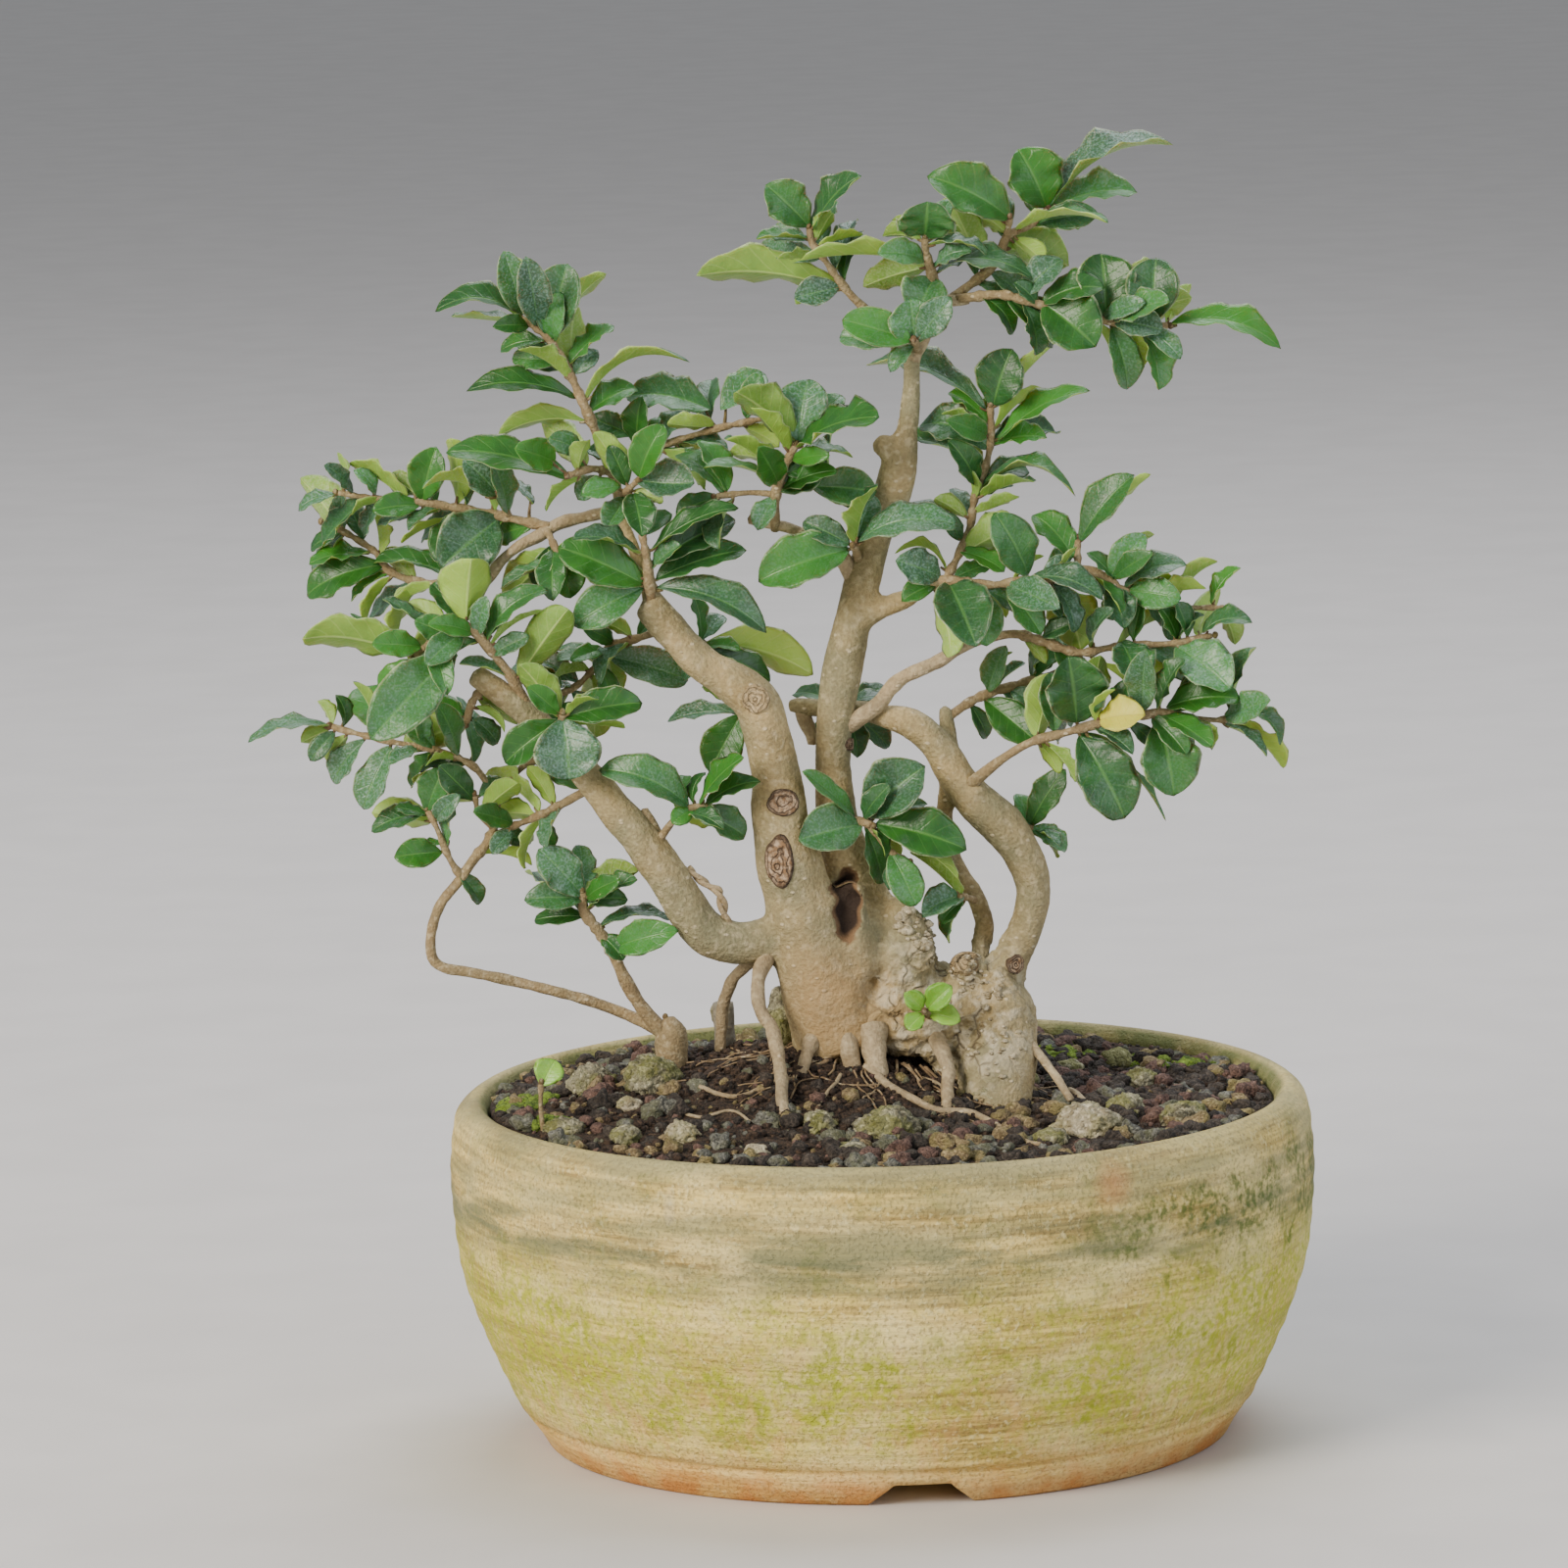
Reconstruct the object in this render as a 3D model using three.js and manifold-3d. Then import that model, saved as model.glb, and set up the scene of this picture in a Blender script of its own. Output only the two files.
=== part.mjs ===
// Wild privet bonsai in a round clay pot. Millimetres, +Z up, the viewer looks along +Y.
// The origin is the middle of the whole outline, on the surface that the pot stands on.
import * as THREE from "three";
import { mergeVertices } from "three/addons/utils/BufferGeometryUtils.js";
import Module from "manifold-3d";

const wasm = await Module();
wasm.setup();

// Driving dimensions

const POT_X = 24;
const POT_RADIUS = 110;
const POT_HEIGHT = 88;
const POT_SIDES = 36;
const FOOT_RADIUS = 86.5;
const DRAIN_HOLE_RADIUS = 9;
const NOTCH_COUNT = 3;
const NOTCH_FROM_FRONT = 4.5;
const NOTCH_BOTTOM = 27;
const NOTCH_TOP = 13;
const NOTCH_HEIGHT = 5.8;
const GAP = 0.3;

const SOIL_EDGE_HEIGHT = 84.3;
const MOUND_HEIGHT = 15;
const MOUND_X = 6;
const MOUND_LEFT = 42;
const MOUND_RIGHT = 30;
const MOUND_DEPTH = 31;
const GRAVEL_RELIEF = 0.9;

const LEAF_THICKNESS = 1.2;
const PETIOLE_RADIUS = 0.62;
const EDGE_WAVE = 0.055;
const KEEL = 0.16;
const TWIG_SIDES = 4;
const SLIVER = 0.06;
const ROOM = 1.55;
const OWN_ROOM = 1.25;
const STALK_ROOM = 4.5;
const SPACING = 2.2;
const LEAN_STEP = 1.5;
const LEAN_STEPS = 9;

// Where the viewer stands. Picks are read on the upright plane through the pot's middle.

const VIEW_DISTANCE = 2193;
const VIEW_SLOPE = 0.1507;
const VIEW_X = 1.2;
const VIEW_Z = 166.75;
const TO_VIEWER = new THREE.Vector3(0, -0.9888, 0.149);

/** The point at depth y that the viewer sees at (x, z) of the plane through the pot's middle. */
function seen(x, z, y) {
  const spread = 1 + y / VIEW_DISTANCE;
  const pointX = VIEW_X + (x - VIEW_X) * spread;
  const pointZ = VIEW_Z + (z - VIEW_Z) * spread - VIEW_SLOPE * y;
  return new THREE.Vector3(pointX, y, pointZ);
}

// Solids

/** A solid from a closed geometry. */
function solidOf(geometry) {
  const bare = new THREE.BufferGeometry();
  bare.setAttribute("position", geometry.getAttribute("position").clone());
  if (geometry.index) bare.setIndex(geometry.index.clone());
  const merged = mergeVertices(bare, 1e-4);
  const corners = merged.index.array;
  const kept = [];
  for (let i = 0; i < corners.length; i += 3) {
    const [a, b, c] = [corners[i], corners[i + 1], corners[i + 2]];
    if (a !== b && b !== c && c !== a) kept.push(a, b, c);
  }
  return new wasm.Manifold(new wasm.Mesh({
    numProp: 3,
    vertProperties: new Float32Array(merged.getAttribute("position").array),
    triVerts: new Uint32Array(kept),
  }));
}

/** A geometry from a solid. */
function geometryOf(solid) {
  const mesh = solid.getMesh();
  const geometry = new THREE.BufferGeometry();
  geometry.setAttribute("position", new THREE.BufferAttribute(new Float32Array(mesh.vertProperties), 3));
  geometry.setIndex(new THREE.BufferAttribute(new Uint32Array(mesh.triVerts), 1));
  geometry.computeVertexNormals();
  return geometry;
}

/** All the solids as one. */
function joined(solids) {
  let whole = solids[0];
  for (const solid of solids.slice(1)) whole = whole.add(solid);
  return whole;
}

/** The largest body of a solid, with loose scraps dropped. */
function largest(solid) {
  const bodies = solid.decompose();
  bodies.sort((a, b) => b.volume() - a.volume());
  return bodies[0];
}

/** A closed skin over rings of equal point counts, each ring turning left about the way ahead. */
function skinOver(rings, endPoint = null) {
  const count = rings[0].length;
  const positions = [];
  for (const ring of rings) {
    for (const point of ring) positions.push(point.x, point.y, point.z);
  }
  const faces = [];
  for (let i = 0; i + 1 < rings.length; i += 1) {
    for (let k = 0; k < count; k += 1) {
      const a = i * count + k;
      const b = i * count + (k + 1) % count;
      const c = b + count;
      const d = a + count;
      if (k < count / 2) faces.push(a, b, c, a, c, d);
      else faces.push(a, b, d, b, c, d);
    }
  }
  for (let k = 1; k + 1 < count; k += 1) faces.push(0, k + 1, k);
  const last = (rings.length - 1) * count;
  if (endPoint) {
    positions.push(endPoint.x, endPoint.y, endPoint.z);
    for (let k = 0; k < count; k += 1) faces.push(last + k, last + (k + 1) % count, rings.length * count);
  } else {
    for (let k = 1; k + 1 < count; k += 1) faces.push(last, last + k, last + k + 1);
  }
  const geometry = new THREE.BufferGeometry();
  geometry.setAttribute("position", new THREE.Float32BufferAttribute(positions, 3));
  geometry.setIndex(faces);
  return geometry;
}

/** A limb's stations, from rows of x, z, depth and diameter. */
function stationsOf(rows) {
  return rows.map(([x, z, depth, diameter]) => ({ point: seen(x, z, depth), radius: diameter / 2 }));
}

/** A round tapered limb through its rows, thicker all round by grow. */
function limb(rows, sides, grow = 0) {
  const stations = stationsOf(rows);
  const rings = [];
  let across = null;
  stations.forEach(({ point, radius }, i) => {
    const before = stations[Math.max(i - 1, 0)].point;
    const after = stations[Math.min(i + 1, stations.length - 1)].point;
    const along = after.clone().sub(before).normalize();
    if (!across) across = new THREE.Vector3(0.31, 0.95, 0.05);
    across = across.clone().addScaledVector(along, -across.dot(along)).normalize();
    const beside = along.clone().cross(across);
    let push = 0;
    if (i === 0) push = -grow;
    if (i === stations.length - 1) push = grow;
    const centre = point.clone().addScaledVector(along, push);
    const ring = [];
    for (let k = 0; k < sides; k += 1) {
      const angle = (2 * Math.PI * k) / sides;
      const reach = radius + grow;
      ring.push(centre.clone()
        .addScaledVector(across, reach * Math.cos(angle))
        .addScaledVector(beside, reach * Math.sin(angle)));
    }
    rings.push(ring);
  });
  return solidOf(skinOver(rings));
}

/** A lump: a ball with three half sizes, placed and tipped about the line of sight. */
function lump(centre, halfSizes, tip, grow = 0) {
  const ball = new THREE.SphereGeometry(1, 12, 8);
  const [a, b, c] = halfSizes;
  ball.scale(a + grow, b + grow, c + grow);
  ball.rotateY(THREE.MathUtils.degToRad(tip));
  ball.translate(centre.x, centre.y, centre.z);
  return solidOf(ball);
}

// Pot

/** The pot's section: foot ring, incised line, full belly, rolled lip, inner wall and drain hole. */
const INNER_WALL = [[99.6, 84.6], [101, 76], [98, 48], [80, 13]];
const POT_SECTION = [
  [DRAIN_HOLE_RADIUS, 3], [72, 3], [75, 0], [FOOT_RADIUS, 0], [92.8, 8.8], [92.1, 9.5], [94.2, 10.6],
  [98.5, 20], [104, 33], [108.2, 47], [POT_RADIUS, 66], [109.2, 78], [107.8, 85.2], [103.6, POT_HEIGHT],
  ...INNER_WALL, [DRAIN_HOLE_RADIUS, 10.5], [DRAIN_HOLE_RADIUS, 3],
];

function turned(section) {
  const lathe = new THREE.LatheGeometry(section.map(([r, z]) => new THREE.Vector2(r, z)), POT_SIDES);
  lathe.rotateX(Math.PI / 2);
  return lathe;
}

/** A wedge that cuts one drain notch through the foot ring, at the front before it is turned. */
function notchCutter(turn) {
  const outline = new THREE.Shape();
  outline.moveTo(-NOTCH_BOTTOM / 2 - 1, -1);
  outline.lineTo(NOTCH_BOTTOM / 2 + 1, -1);
  outline.lineTo(NOTCH_TOP / 2 + 1.6, NOTCH_HEIGHT - 1.2);
  outline.lineTo(NOTCH_TOP / 2, NOTCH_HEIGHT);
  outline.lineTo(-NOTCH_TOP / 2, NOTCH_HEIGHT);
  outline.lineTo(-NOTCH_TOP / 2 - 1.6, NOTCH_HEIGHT - 1.2);
  const wedge = new THREE.ExtrudeGeometry(outline, { depth: 36, bevelEnabled: false });
  wedge.rotateX(Math.PI / 2);
  wedge.translate(0, -64, 0);
  wedge.rotateZ(turn);
  return solidOf(wedge);
}

function potSolid() {
  let pot = solidOf(turned(POT_SECTION));
  for (let i = 0; i < NOTCH_COUNT; i += 1) {
    const turn = THREE.MathUtils.degToRad(NOTCH_FROM_FRONT) + (2 * Math.PI * i) / NOTCH_COUNT;
    pot = pot.subtract(notchCutter(turn));
  }
  return pot.translate([POT_X, 0, 0]);
}

// Soil and stones

/** Height of the soil: a broad mound under the trunk, steeper on its right. */
function soilHeight(x, y) {
  const side = x < MOUND_X ? MOUND_LEFT : MOUND_RIGHT;
  const away = ((x - MOUND_X) / side) ** 2 + (y / MOUND_DEPTH) ** 2;
  return SOIL_EDGE_HEIGHT + MOUND_HEIGHT * Math.exp(-away / 2);
}

/** Lumps of gravel, a few millimetres apart. */
function gravel(x, y) {
  const coarse = Math.sin(0.83 * x + 0.41 * y) * Math.sin(0.36 * x - 0.91 * y);
  const fine = Math.sin(1.9 * x - 0.7 * y + 1) * Math.sin(1.3 * y + 0.8 * x);
  return GRAVEL_RELIEF * (coarse + 0.5 * fine);
}

/** The soil: its mound with gravel on top, and the inner wall's shape below, a small gap inside it. */
function soilSolid() {
  const top = [0.01, 18, 35, 50, 65, 80, 93].map((r) => [r, 1]);
  const wall = INNER_WALL.slice(1).map(([r, z]) => [r - GAP, z + (z < 20 ? GAP : 0)]);
  const section = [[0, 10.5 + GAP], ...wall.reverse(), [99.4, 82.8], ...top.reverse(), [0, 1]];
  const firstTop = wall.length + 2;
  const lathe = turned(section);
  const position = lathe.getAttribute("position");
  for (let i = 0; i < position.count; i += 1) {
    if (i % section.length >= firstTop) {
      const x = position.getX(i) + POT_X;
      const y = position.getY(i);
      const edge = Math.min(1, (101 - Math.hypot(x - POT_X, y)) / 12);
      position.setZ(i, soilHeight(x, y) + edge * gravel(x, y));
    }
  }
  lathe.translate(POT_X, 0, 0);
  return solidOf(lathe);
}

/** Where the line of sight through (x, z) of the middle plane first meets the soil. */
function onSoil(x, z) {
  for (let y = -98; y < 98; y += 0.5) {
    const point = seen(x, z, y);
    if (point.z <= soilHeight(point.x, point.y)) return point;
  }
  return seen(x, z, 90);
}

/** A stone: a ball of flat faces pushed in and out, half sunk where it lies. */
function stone(row, grow = 0) {
  const [x, z, width, height, turn] = row;
  const centre = onSoil(x, z - height * 0.2);
  const rough = width > 10.5 ? new THREE.OctahedronGeometry(1, 1) : new THREE.IcosahedronGeometry(1, 0);
  const position = rough.getAttribute("position");
  for (let i = 0; i < position.count; i += 1) {
    const point = new THREE.Vector3().fromBufferAttribute(position, i);
    const bump = 1 + 0.13 * Math.sin(5 * point.x + turn) * Math.cos(4 * point.y + 2 * point.z + turn);
    position.setXYZ(i, point.x * bump, point.y * bump, point.z * bump);
  }
  rough.scale(width / 2 + grow, width * 0.45 + grow, height / 2 + grow);
  rough.rotateZ(turn);
  rough.translate(centre.x, centre.y + width * 0.2, centre.z + height * 0.12);
  return solidOf(rough);
}

// Stones as seen: x and z of the middle, width, height and turn

const STONES = [
  [-49.1, 91.1, 12, 10, 0.4], [-34.2, 92, 15, 12, 1.3], [-56.9, 79.4, 10, 6, 2.2], [-41, 77, 8, 6, 0.9],
  [-27, 77, 9, 7, 2.9], [8, 79, 9, 7, 1.9], [25.3, 77.6, 15, 11, 0.2], [76.4, 77, 18, 12, 2.5],
  [90.3, 88.4, 8.5, 7, 1.1], [101.3, 78.4, 12, 9, 0.7], [86.6, 81, 10, 8, 3.3],
];

// Wood: rows of x, z, depth and diameter along each limb

const TRUNK_LIMBS = [
  { sides: 9, rows: [
    [14, 100, -4, 24], [11, 112, -5, 22], [8, 124, -6, 20], [5, 136, -7, 17.5], [2, 147, -8, 15],
    [0, 158, -8, 12.5], [-0.5, 168, -8, 11.5], [-3, 180, -8, 11], [-5.5, 188, -8, 10.8],
    [-12, 193.5, -8, 9], [-19, 198, -8, 8], [-26, 206, -8, 7.8], [-32, 213.5, -8, 7.4],
  ] },
  { sides: 8, rows: [
    [22, 100, 4, 26], [22, 118, 4, 24], [20, 132, 3, 18], [17, 145, 3, 12], [14.5, 158, 3, 9.5],
    [13.5, 170, 3, 8.5], [14, 180, 3, 8.2], [15.5, 190, 3, 8.5], [17.5, 200, 3, 8.8], [20, 210, 3, 8.6],
    [23, 220, 3, 8], [26, 230, 3, 7.6], [30, 240, 2, 8.4], [32.5, 250, 2, 8], [34.3, 256, 2, 5.2],
    [35.5, 266, 2, 4.6], [35.6, 277.5, 2, 4.6],
  ] },
  { sides: 8, rows: [
    [38, 99, 2, 24], [46, 104, 0, 22], [51, 110, 0, 15], [54.5, 115, 0, 11.5], [58, 121, 0, 9],
    [62, 130, 0, 7.8], [63.5, 139, 0, 7.8], [61, 148, 0, 8.8], [56, 155, 0, 9.8], [50, 161, 0, 10],
    [45, 167, 0, 8.6], [41, 174, 0, 7.6], [37, 179, 0, 7.2], [32, 182, 1, 6.4], [26, 183.8, 4, 5.4],
    [20, 185.2, 9, 5], [10, 186, 12, 4.6], [3, 187, 13, 4],
  ] },
  { sides: 7, rows: [
    [10, 122, -5, 12], [2, 125.5, -5, 11], [-5, 126.8, -6, 10], [-12, 126.5, -8, 9.4], [-19, 129, -9, 9.6],
    [-24.5, 136, -10, 9.6], [-29, 144.5, -10, 9.6], [-35, 153, -10, 9], [-42, 162, -10, 8.2],
    [-48, 169.5, -10, 7.4], [-56, 179, -10, 6.6], [-63, 186, -10, 6.2], [-70, 192, -10, 6], [-76, 196.5, -10, 5.2],
  ] },
  { sides: 6, rows: [
    [48, 108, 4, 12], [50, 115, 6, 7], [50, 122, 8, 5.2], [51, 130, 9, 5], [49, 137, 9, 5], [45, 143.5, 8, 4.8],
    [42.5, 150, 7, 4.6], [41.5, 158, 5, 4.6], [43, 168, 2, 5],
  ] },
  { sides: 8, rows: [[52, 116, -2, 10], [54, 108, -4, 14], [54, 98, -8, 16], [53, 88, -14, 16], [52, 76, -18, 15]] },
  { sides: 7, rows: [[30, 106, -2, 22], [30, 120, -2, 18], [31, 128, -2, 12], [29, 136, -2, 6]] },
  { sides: 7, rows: [[20, 118, -8, 9], [18.5, 128, -9.5, 7.4], [17, 140, -9, 6.6]] },
  { sides: 6, rows: [[26, 104, 10, 20], [25, 94, 10, 22], [24, 82, 8, 16]] },
  { sides: 5, rows: [[20, 219, 3, 5], [15, 228, -1, 3.2], [8, 230.5, -2, 2.8], [0, 232.6, -2, 2.8], [-6, 234.2, -2, 2.6]] },
  { sides: 5, rows: [[20, 208, 3, 7], [28, 211.5, 0, 5.5], [34, 213.5, -1, 4.4], [39, 217, -3, 3.4]] },
  { sides: 5, rows: [
    [17, 181, 3, 4.6], [24, 185, 0, 4.4], [31, 192.5, -2, 3.8], [41, 197.5, -3, 3.4], [48, 201, -4, 3.2],
    [55, 203.5, -5, 3],
  ] },
  { sides: 5, rows: [[43, 167, 2, 6], [43, 177, 5, 4.6], [42, 185.5, 6, 4.2]] },
  { sides: 5, rows: [[-29, 209, -8, 6], [-34, 224, -2, 3.6], [-38, 236, 0, 3.4], [-39.6, 247, 0, 3]] },
  { sides: 5, rows: [[-38, 237, 0, 3.2], [-46, 236.3, 0, 3], [-54, 234, 0, 3.2], [-60, 231, 0, 3.2],
    [-66, 227.6, -1, 2.8], [-74, 219, -2, 2.6]] },
  { sides: 5, rows: [[34, 274, 2, 4.4], [31, 279, 2, 3.8], [27.5, 285, 2, 3.4]] },
  { sides: 5, rows: [[35.6, 274, 2, 4.6], [39, 280, 2, 4], [43, 287.5, 2, 3.6], [50, 288.6, 2, 3]] },
  { sides: 5, rows: [[42.5, 286, 2, 3], [41.5, 294, 1, 2.4], [39.6, 300, 1, 2.2]] },
  { sides: 5, rows: [[-31, 152, -8, 5], [-34.5, 161, -9, 2.6]] },
  { sides: 5, rows: [[6, 186, 13, 4], [9, 177, 13, 3.2]] },
];

// Cut knobs and scars: x, z, depth, and three half sizes

const KNOBS = [
  [-5.5, 189, -12.6, 4.4, 2, 4.4], [0.5, 161, -13.2, 5, 1.8, 4.2], [-0.5, 147, -14.6, 4, 2, 7.4],
  [28, 252, 0, 3.4, 3, 4], [50, 164, -3, 3.6, 3.6, 3.4], [58, 120, -3, 3.2, 3.4, 3.4], [34, 121, -8.5, 7, 5, 6],
  [46, 118, -6, 6, 6, 5],
];

/** Half sizes of the swollen base where the trunks meet. */
const BURL = [27, 15, 11.5];

// Roots that leave the base and go down into the soil

const ROOTS = [
  [[-4, 123, -9, 4.4], [-7, 115, -14, 3.6], [-6, 108, -18, 3.6], [-3, 104, -20, 3.6], [-2, 97, -26, 3.5],
    [-1, 88, -38, 3.2], [0, 78, -46, 2.6]],
  [[9, 104, -10, 5], [5, 97, -17, 3.6], [3, 88, -22, 2.6]],
  [[15, 104, -12, 6], [17, 93, -17, 4.4]],
  [[22, 104, -12, 7], [23.5, 90, -20, 5]],
  [[38, 102, -10, 5], [41, 92, -22, 3.6], [40, 78, -36, 3]],
  [[56, 104, -6, 4], [64, 96, -14, 2.4], [72, 84, -24, 2]],
  [[-3, 125, -7, 3], [-12, 118, 2, 3], [-16, 106, 6, 3], [-17, 92, 8, 2.6]],
];

// Two thin strands wound together, as one, between the lower left limb and the trunk

const STRAND = [
  [-24, 146, -9, 2.4], [-19, 141.5, -9, 2.4], [-16, 139.5, -10, 2.4], [-14.5, 133, -10, 2.4], [-13, 127.5, -8, 2.4],
];

/** Trunks, limbs, knobs, swollen base and roots as one grown piece. */
function woodSolid(grow = 0) {
  const solids = [lump(seen(32, 108, 1), [BURL[0], BURL[1], BURL[2]], 4, grow)];
  for (const { sides, rows } of TRUNK_LIMBS) solids.push(limb(rows, sides, grow));
  for (const [x, z, y, a, b, c] of KNOBS) {
    const knob = a > 3.5 ? new THREE.SphereGeometry(1, 7, 5) : new THREE.IcosahedronGeometry(1, 0);
    knob.scale(a + grow, b + grow, c + grow);
    const centre = seen(x, z, y);
    knob.translate(centre.x, centre.y, centre.z);
    solids.push(solidOf(knob));
  }
  for (const rows of ROOTS) solids.push(limb(rows, 5, grow));
  solids.push(limb(STRAND, 5, grow));
  return joined(solids);
}

// Leaves
//
// A leaf's row: base x, base z, tip x, tip z, width, roll, lean, arch. Roll turns the leaf about its
// own length: 0 shows its upper face, 90 its edge with the upper face up, 180 its underside. Lean is
// how much deeper the tip lies than the base. Arch bows the midrib towards the upper face.

/** Half width of the blade along its length, 0 at base and tip and 1 where it is widest. */
function bladeHalf(t) {
  return Math.sin(Math.PI * t ** 1.15) ** 0.75;
}

/** The point of the blade at t along its length and s across it, both from -1 or 0 to 1. */
function bladePoint(leaf, t, s, lift = 0) {
  const half = (leaf.width / 2) * bladeHalf(t);
  const wave = EDGE_WAVE * leaf.width * s * s * Math.cos(11 * t + (s > 0 ? 0 : 2.4) + leaf.phase);
  const bow = leaf.arch * 4 * t * (1 - t) + KEEL * half * Math.abs(s) + wave;
  return leaf.base.clone()
    .addScaledVector(leaf.along, leaf.length * t)
    .addScaledVector(leaf.side, half * s)
    .addScaledVector(leaf.face, bow + lift);
}

/** The nearest point of a set of twigs to a pick, as x, z, depth. */
function nearestOnTwigs(twigs, x, z) {
  let best = null;
  for (const rows of twigs) {
    for (let i = 0; i + 1 < rows.length; i += 1) {
      const [ax, az, ay] = rows[i];
      const [bx, bz, by] = rows[i + 1];
      const length = (bx - ax) ** 2 + (bz - az) ** 2;
      const share = Math.min(1, Math.max(0, ((x - ax) * (bx - ax) + (z - az) * (bz - az)) / length));
      const point = [ax + share * (bx - ax), az + share * (bz - az), ay + share * (by - ay)];
      const away = Math.hypot(point[0] - x, point[1] - z);
      if (!best || away < best.away) best = { away, point };
    }
  }
  return best.point;
}

/** A leaf placed from its row, with its tip moved further back by extra. */
function placedLeaf(spray, row, extra) {
  const [baseX, baseZ, tipX, tipZ, width, roll, lean, arch] = row;
  const [rootX, rootZ, depth] = nearestOnTwigs(spray.twigs, baseX, baseZ);
  const base = seen(baseX, baseZ, depth);
  const tip = seen(tipX, tipZ, depth + lean + extra);
  const along = tip.clone().sub(base);
  const length = along.length();
  along.normalize();
  const front = TO_VIEWER.clone().addScaledVector(along, -TO_VIEWER.dot(along)).normalize();
  const up = along.clone().cross(front);
  if (up.z < 0) up.negate();
  const turn = THREE.MathUtils.degToRad(roll);
  const face = front.multiplyScalar(Math.cos(turn)).addScaledVector(up, Math.sin(turn));
  const side = face.clone().cross(along);
  const phase = (baseX * 7 + baseZ * 3) % 6;
  return { root: seen(rootX, rootZ, depth), base, along, length, face, side, width, arch, phase };
}

/** Balls that cover a leaf's blade, for keeping it clear of other sprays. */
function leafBalls(leaf) {
  const balls = [];
  const rows = Math.max(2, Math.ceil(leaf.length / SPACING));
  const columns = Math.max(2, Math.ceil(leaf.width / SPACING));
  for (let i = 1; i <= rows; i += 1) {
    for (let k = 0; k <= columns; k += 1) {
      const t = i / rows;
      if (t * leaf.length > 1.5) balls.push(bladePoint(leaf, Math.min(t, 0.98), (2 * k) / columns - 1));
    }
  }
  return balls;
}

/** Balls along a limb's rows. */
function limbBalls(rows) {
  const stations = stationsOf(rows);
  const balls = [];
  for (let i = 0; i + 1 < stations.length; i += 1) {
    const from = stations[i];
    const to = stations[i + 1];
    const steps = Math.ceil(from.point.distanceTo(to.point) / SPACING);
    for (let k = 0; k <= steps; k += 1) {
      const point = from.point.clone().lerp(to.point, k / steps);
      balls.push({ point, radius: from.radius + (to.radius - from.radius) * (k / steps) });
    }
  }
  return balls;
}

/** How badly a leaf crowds what is already placed; its own stem counts only away from the stalk. */
function crowding(leaf, balls, taken, sprayName) {
  let count = 0;
  for (const { point, radius, owner } of taken) {
    const own = owner === sprayName;
    const room = radius + (own ? OWN_ROOM : ROOM);
    for (const ball of balls) {
      const dy = ball.y - point.y;
      if (dy < room && dy > -room && ball.distanceToSquared(point) < room * room) {
        if (!own) count += 10;
        else if (ball.distanceTo(leaf.base) > STALK_ROOM) count += 1;
      }
    }
  }
  return count;
}

/** The solid of one leaf on its stalk, the root of which lies inside the twig. */
function leafSolid(leaf, grow = 0) {
  let shares = [0.36, 0.74];
  if (leaf.length > 16) shares = [0.2, 0.5, 0.8];
  if (leaf.width < 6.6 && leaf.length < 13) shares = [0.48];
  const half = LEAF_THICKNESS / 2 + grow;
  const stalk = PETIOLE_RADIUS + grow;
  const ringAt = (centre, width, height) => [
    centre.clone().addScaledVector(leaf.side, width),
    centre.clone().addScaledVector(leaf.face, height),
    centre.clone().addScaledVector(leaf.side, -width),
    centre.clone().addScaledVector(leaf.face, -height),
  ];
  const rings = [ringAt(leaf.root, stalk, stalk)];
  if (leaf.root.distanceTo(leaf.base) > 3) rings.push(ringAt(leaf.base, stalk * 1.15, stalk));
  for (const t of shares) {
    rings.push([
      bladePoint(leaf, t, 1).addScaledVector(leaf.side, grow),
      bladePoint(leaf, t, 0, half),
      bladePoint(leaf, t, -1).addScaledVector(leaf.side, -grow),
      bladePoint(leaf, t, 0, -half),
    ]);
  }
  return solidOf(skinOver(rings, bladePoint(leaf, 1, 0).addScaledVector(leaf.along, grow)));
}

// Sprays: twigs and leaves, each spray one leafy stem

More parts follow.
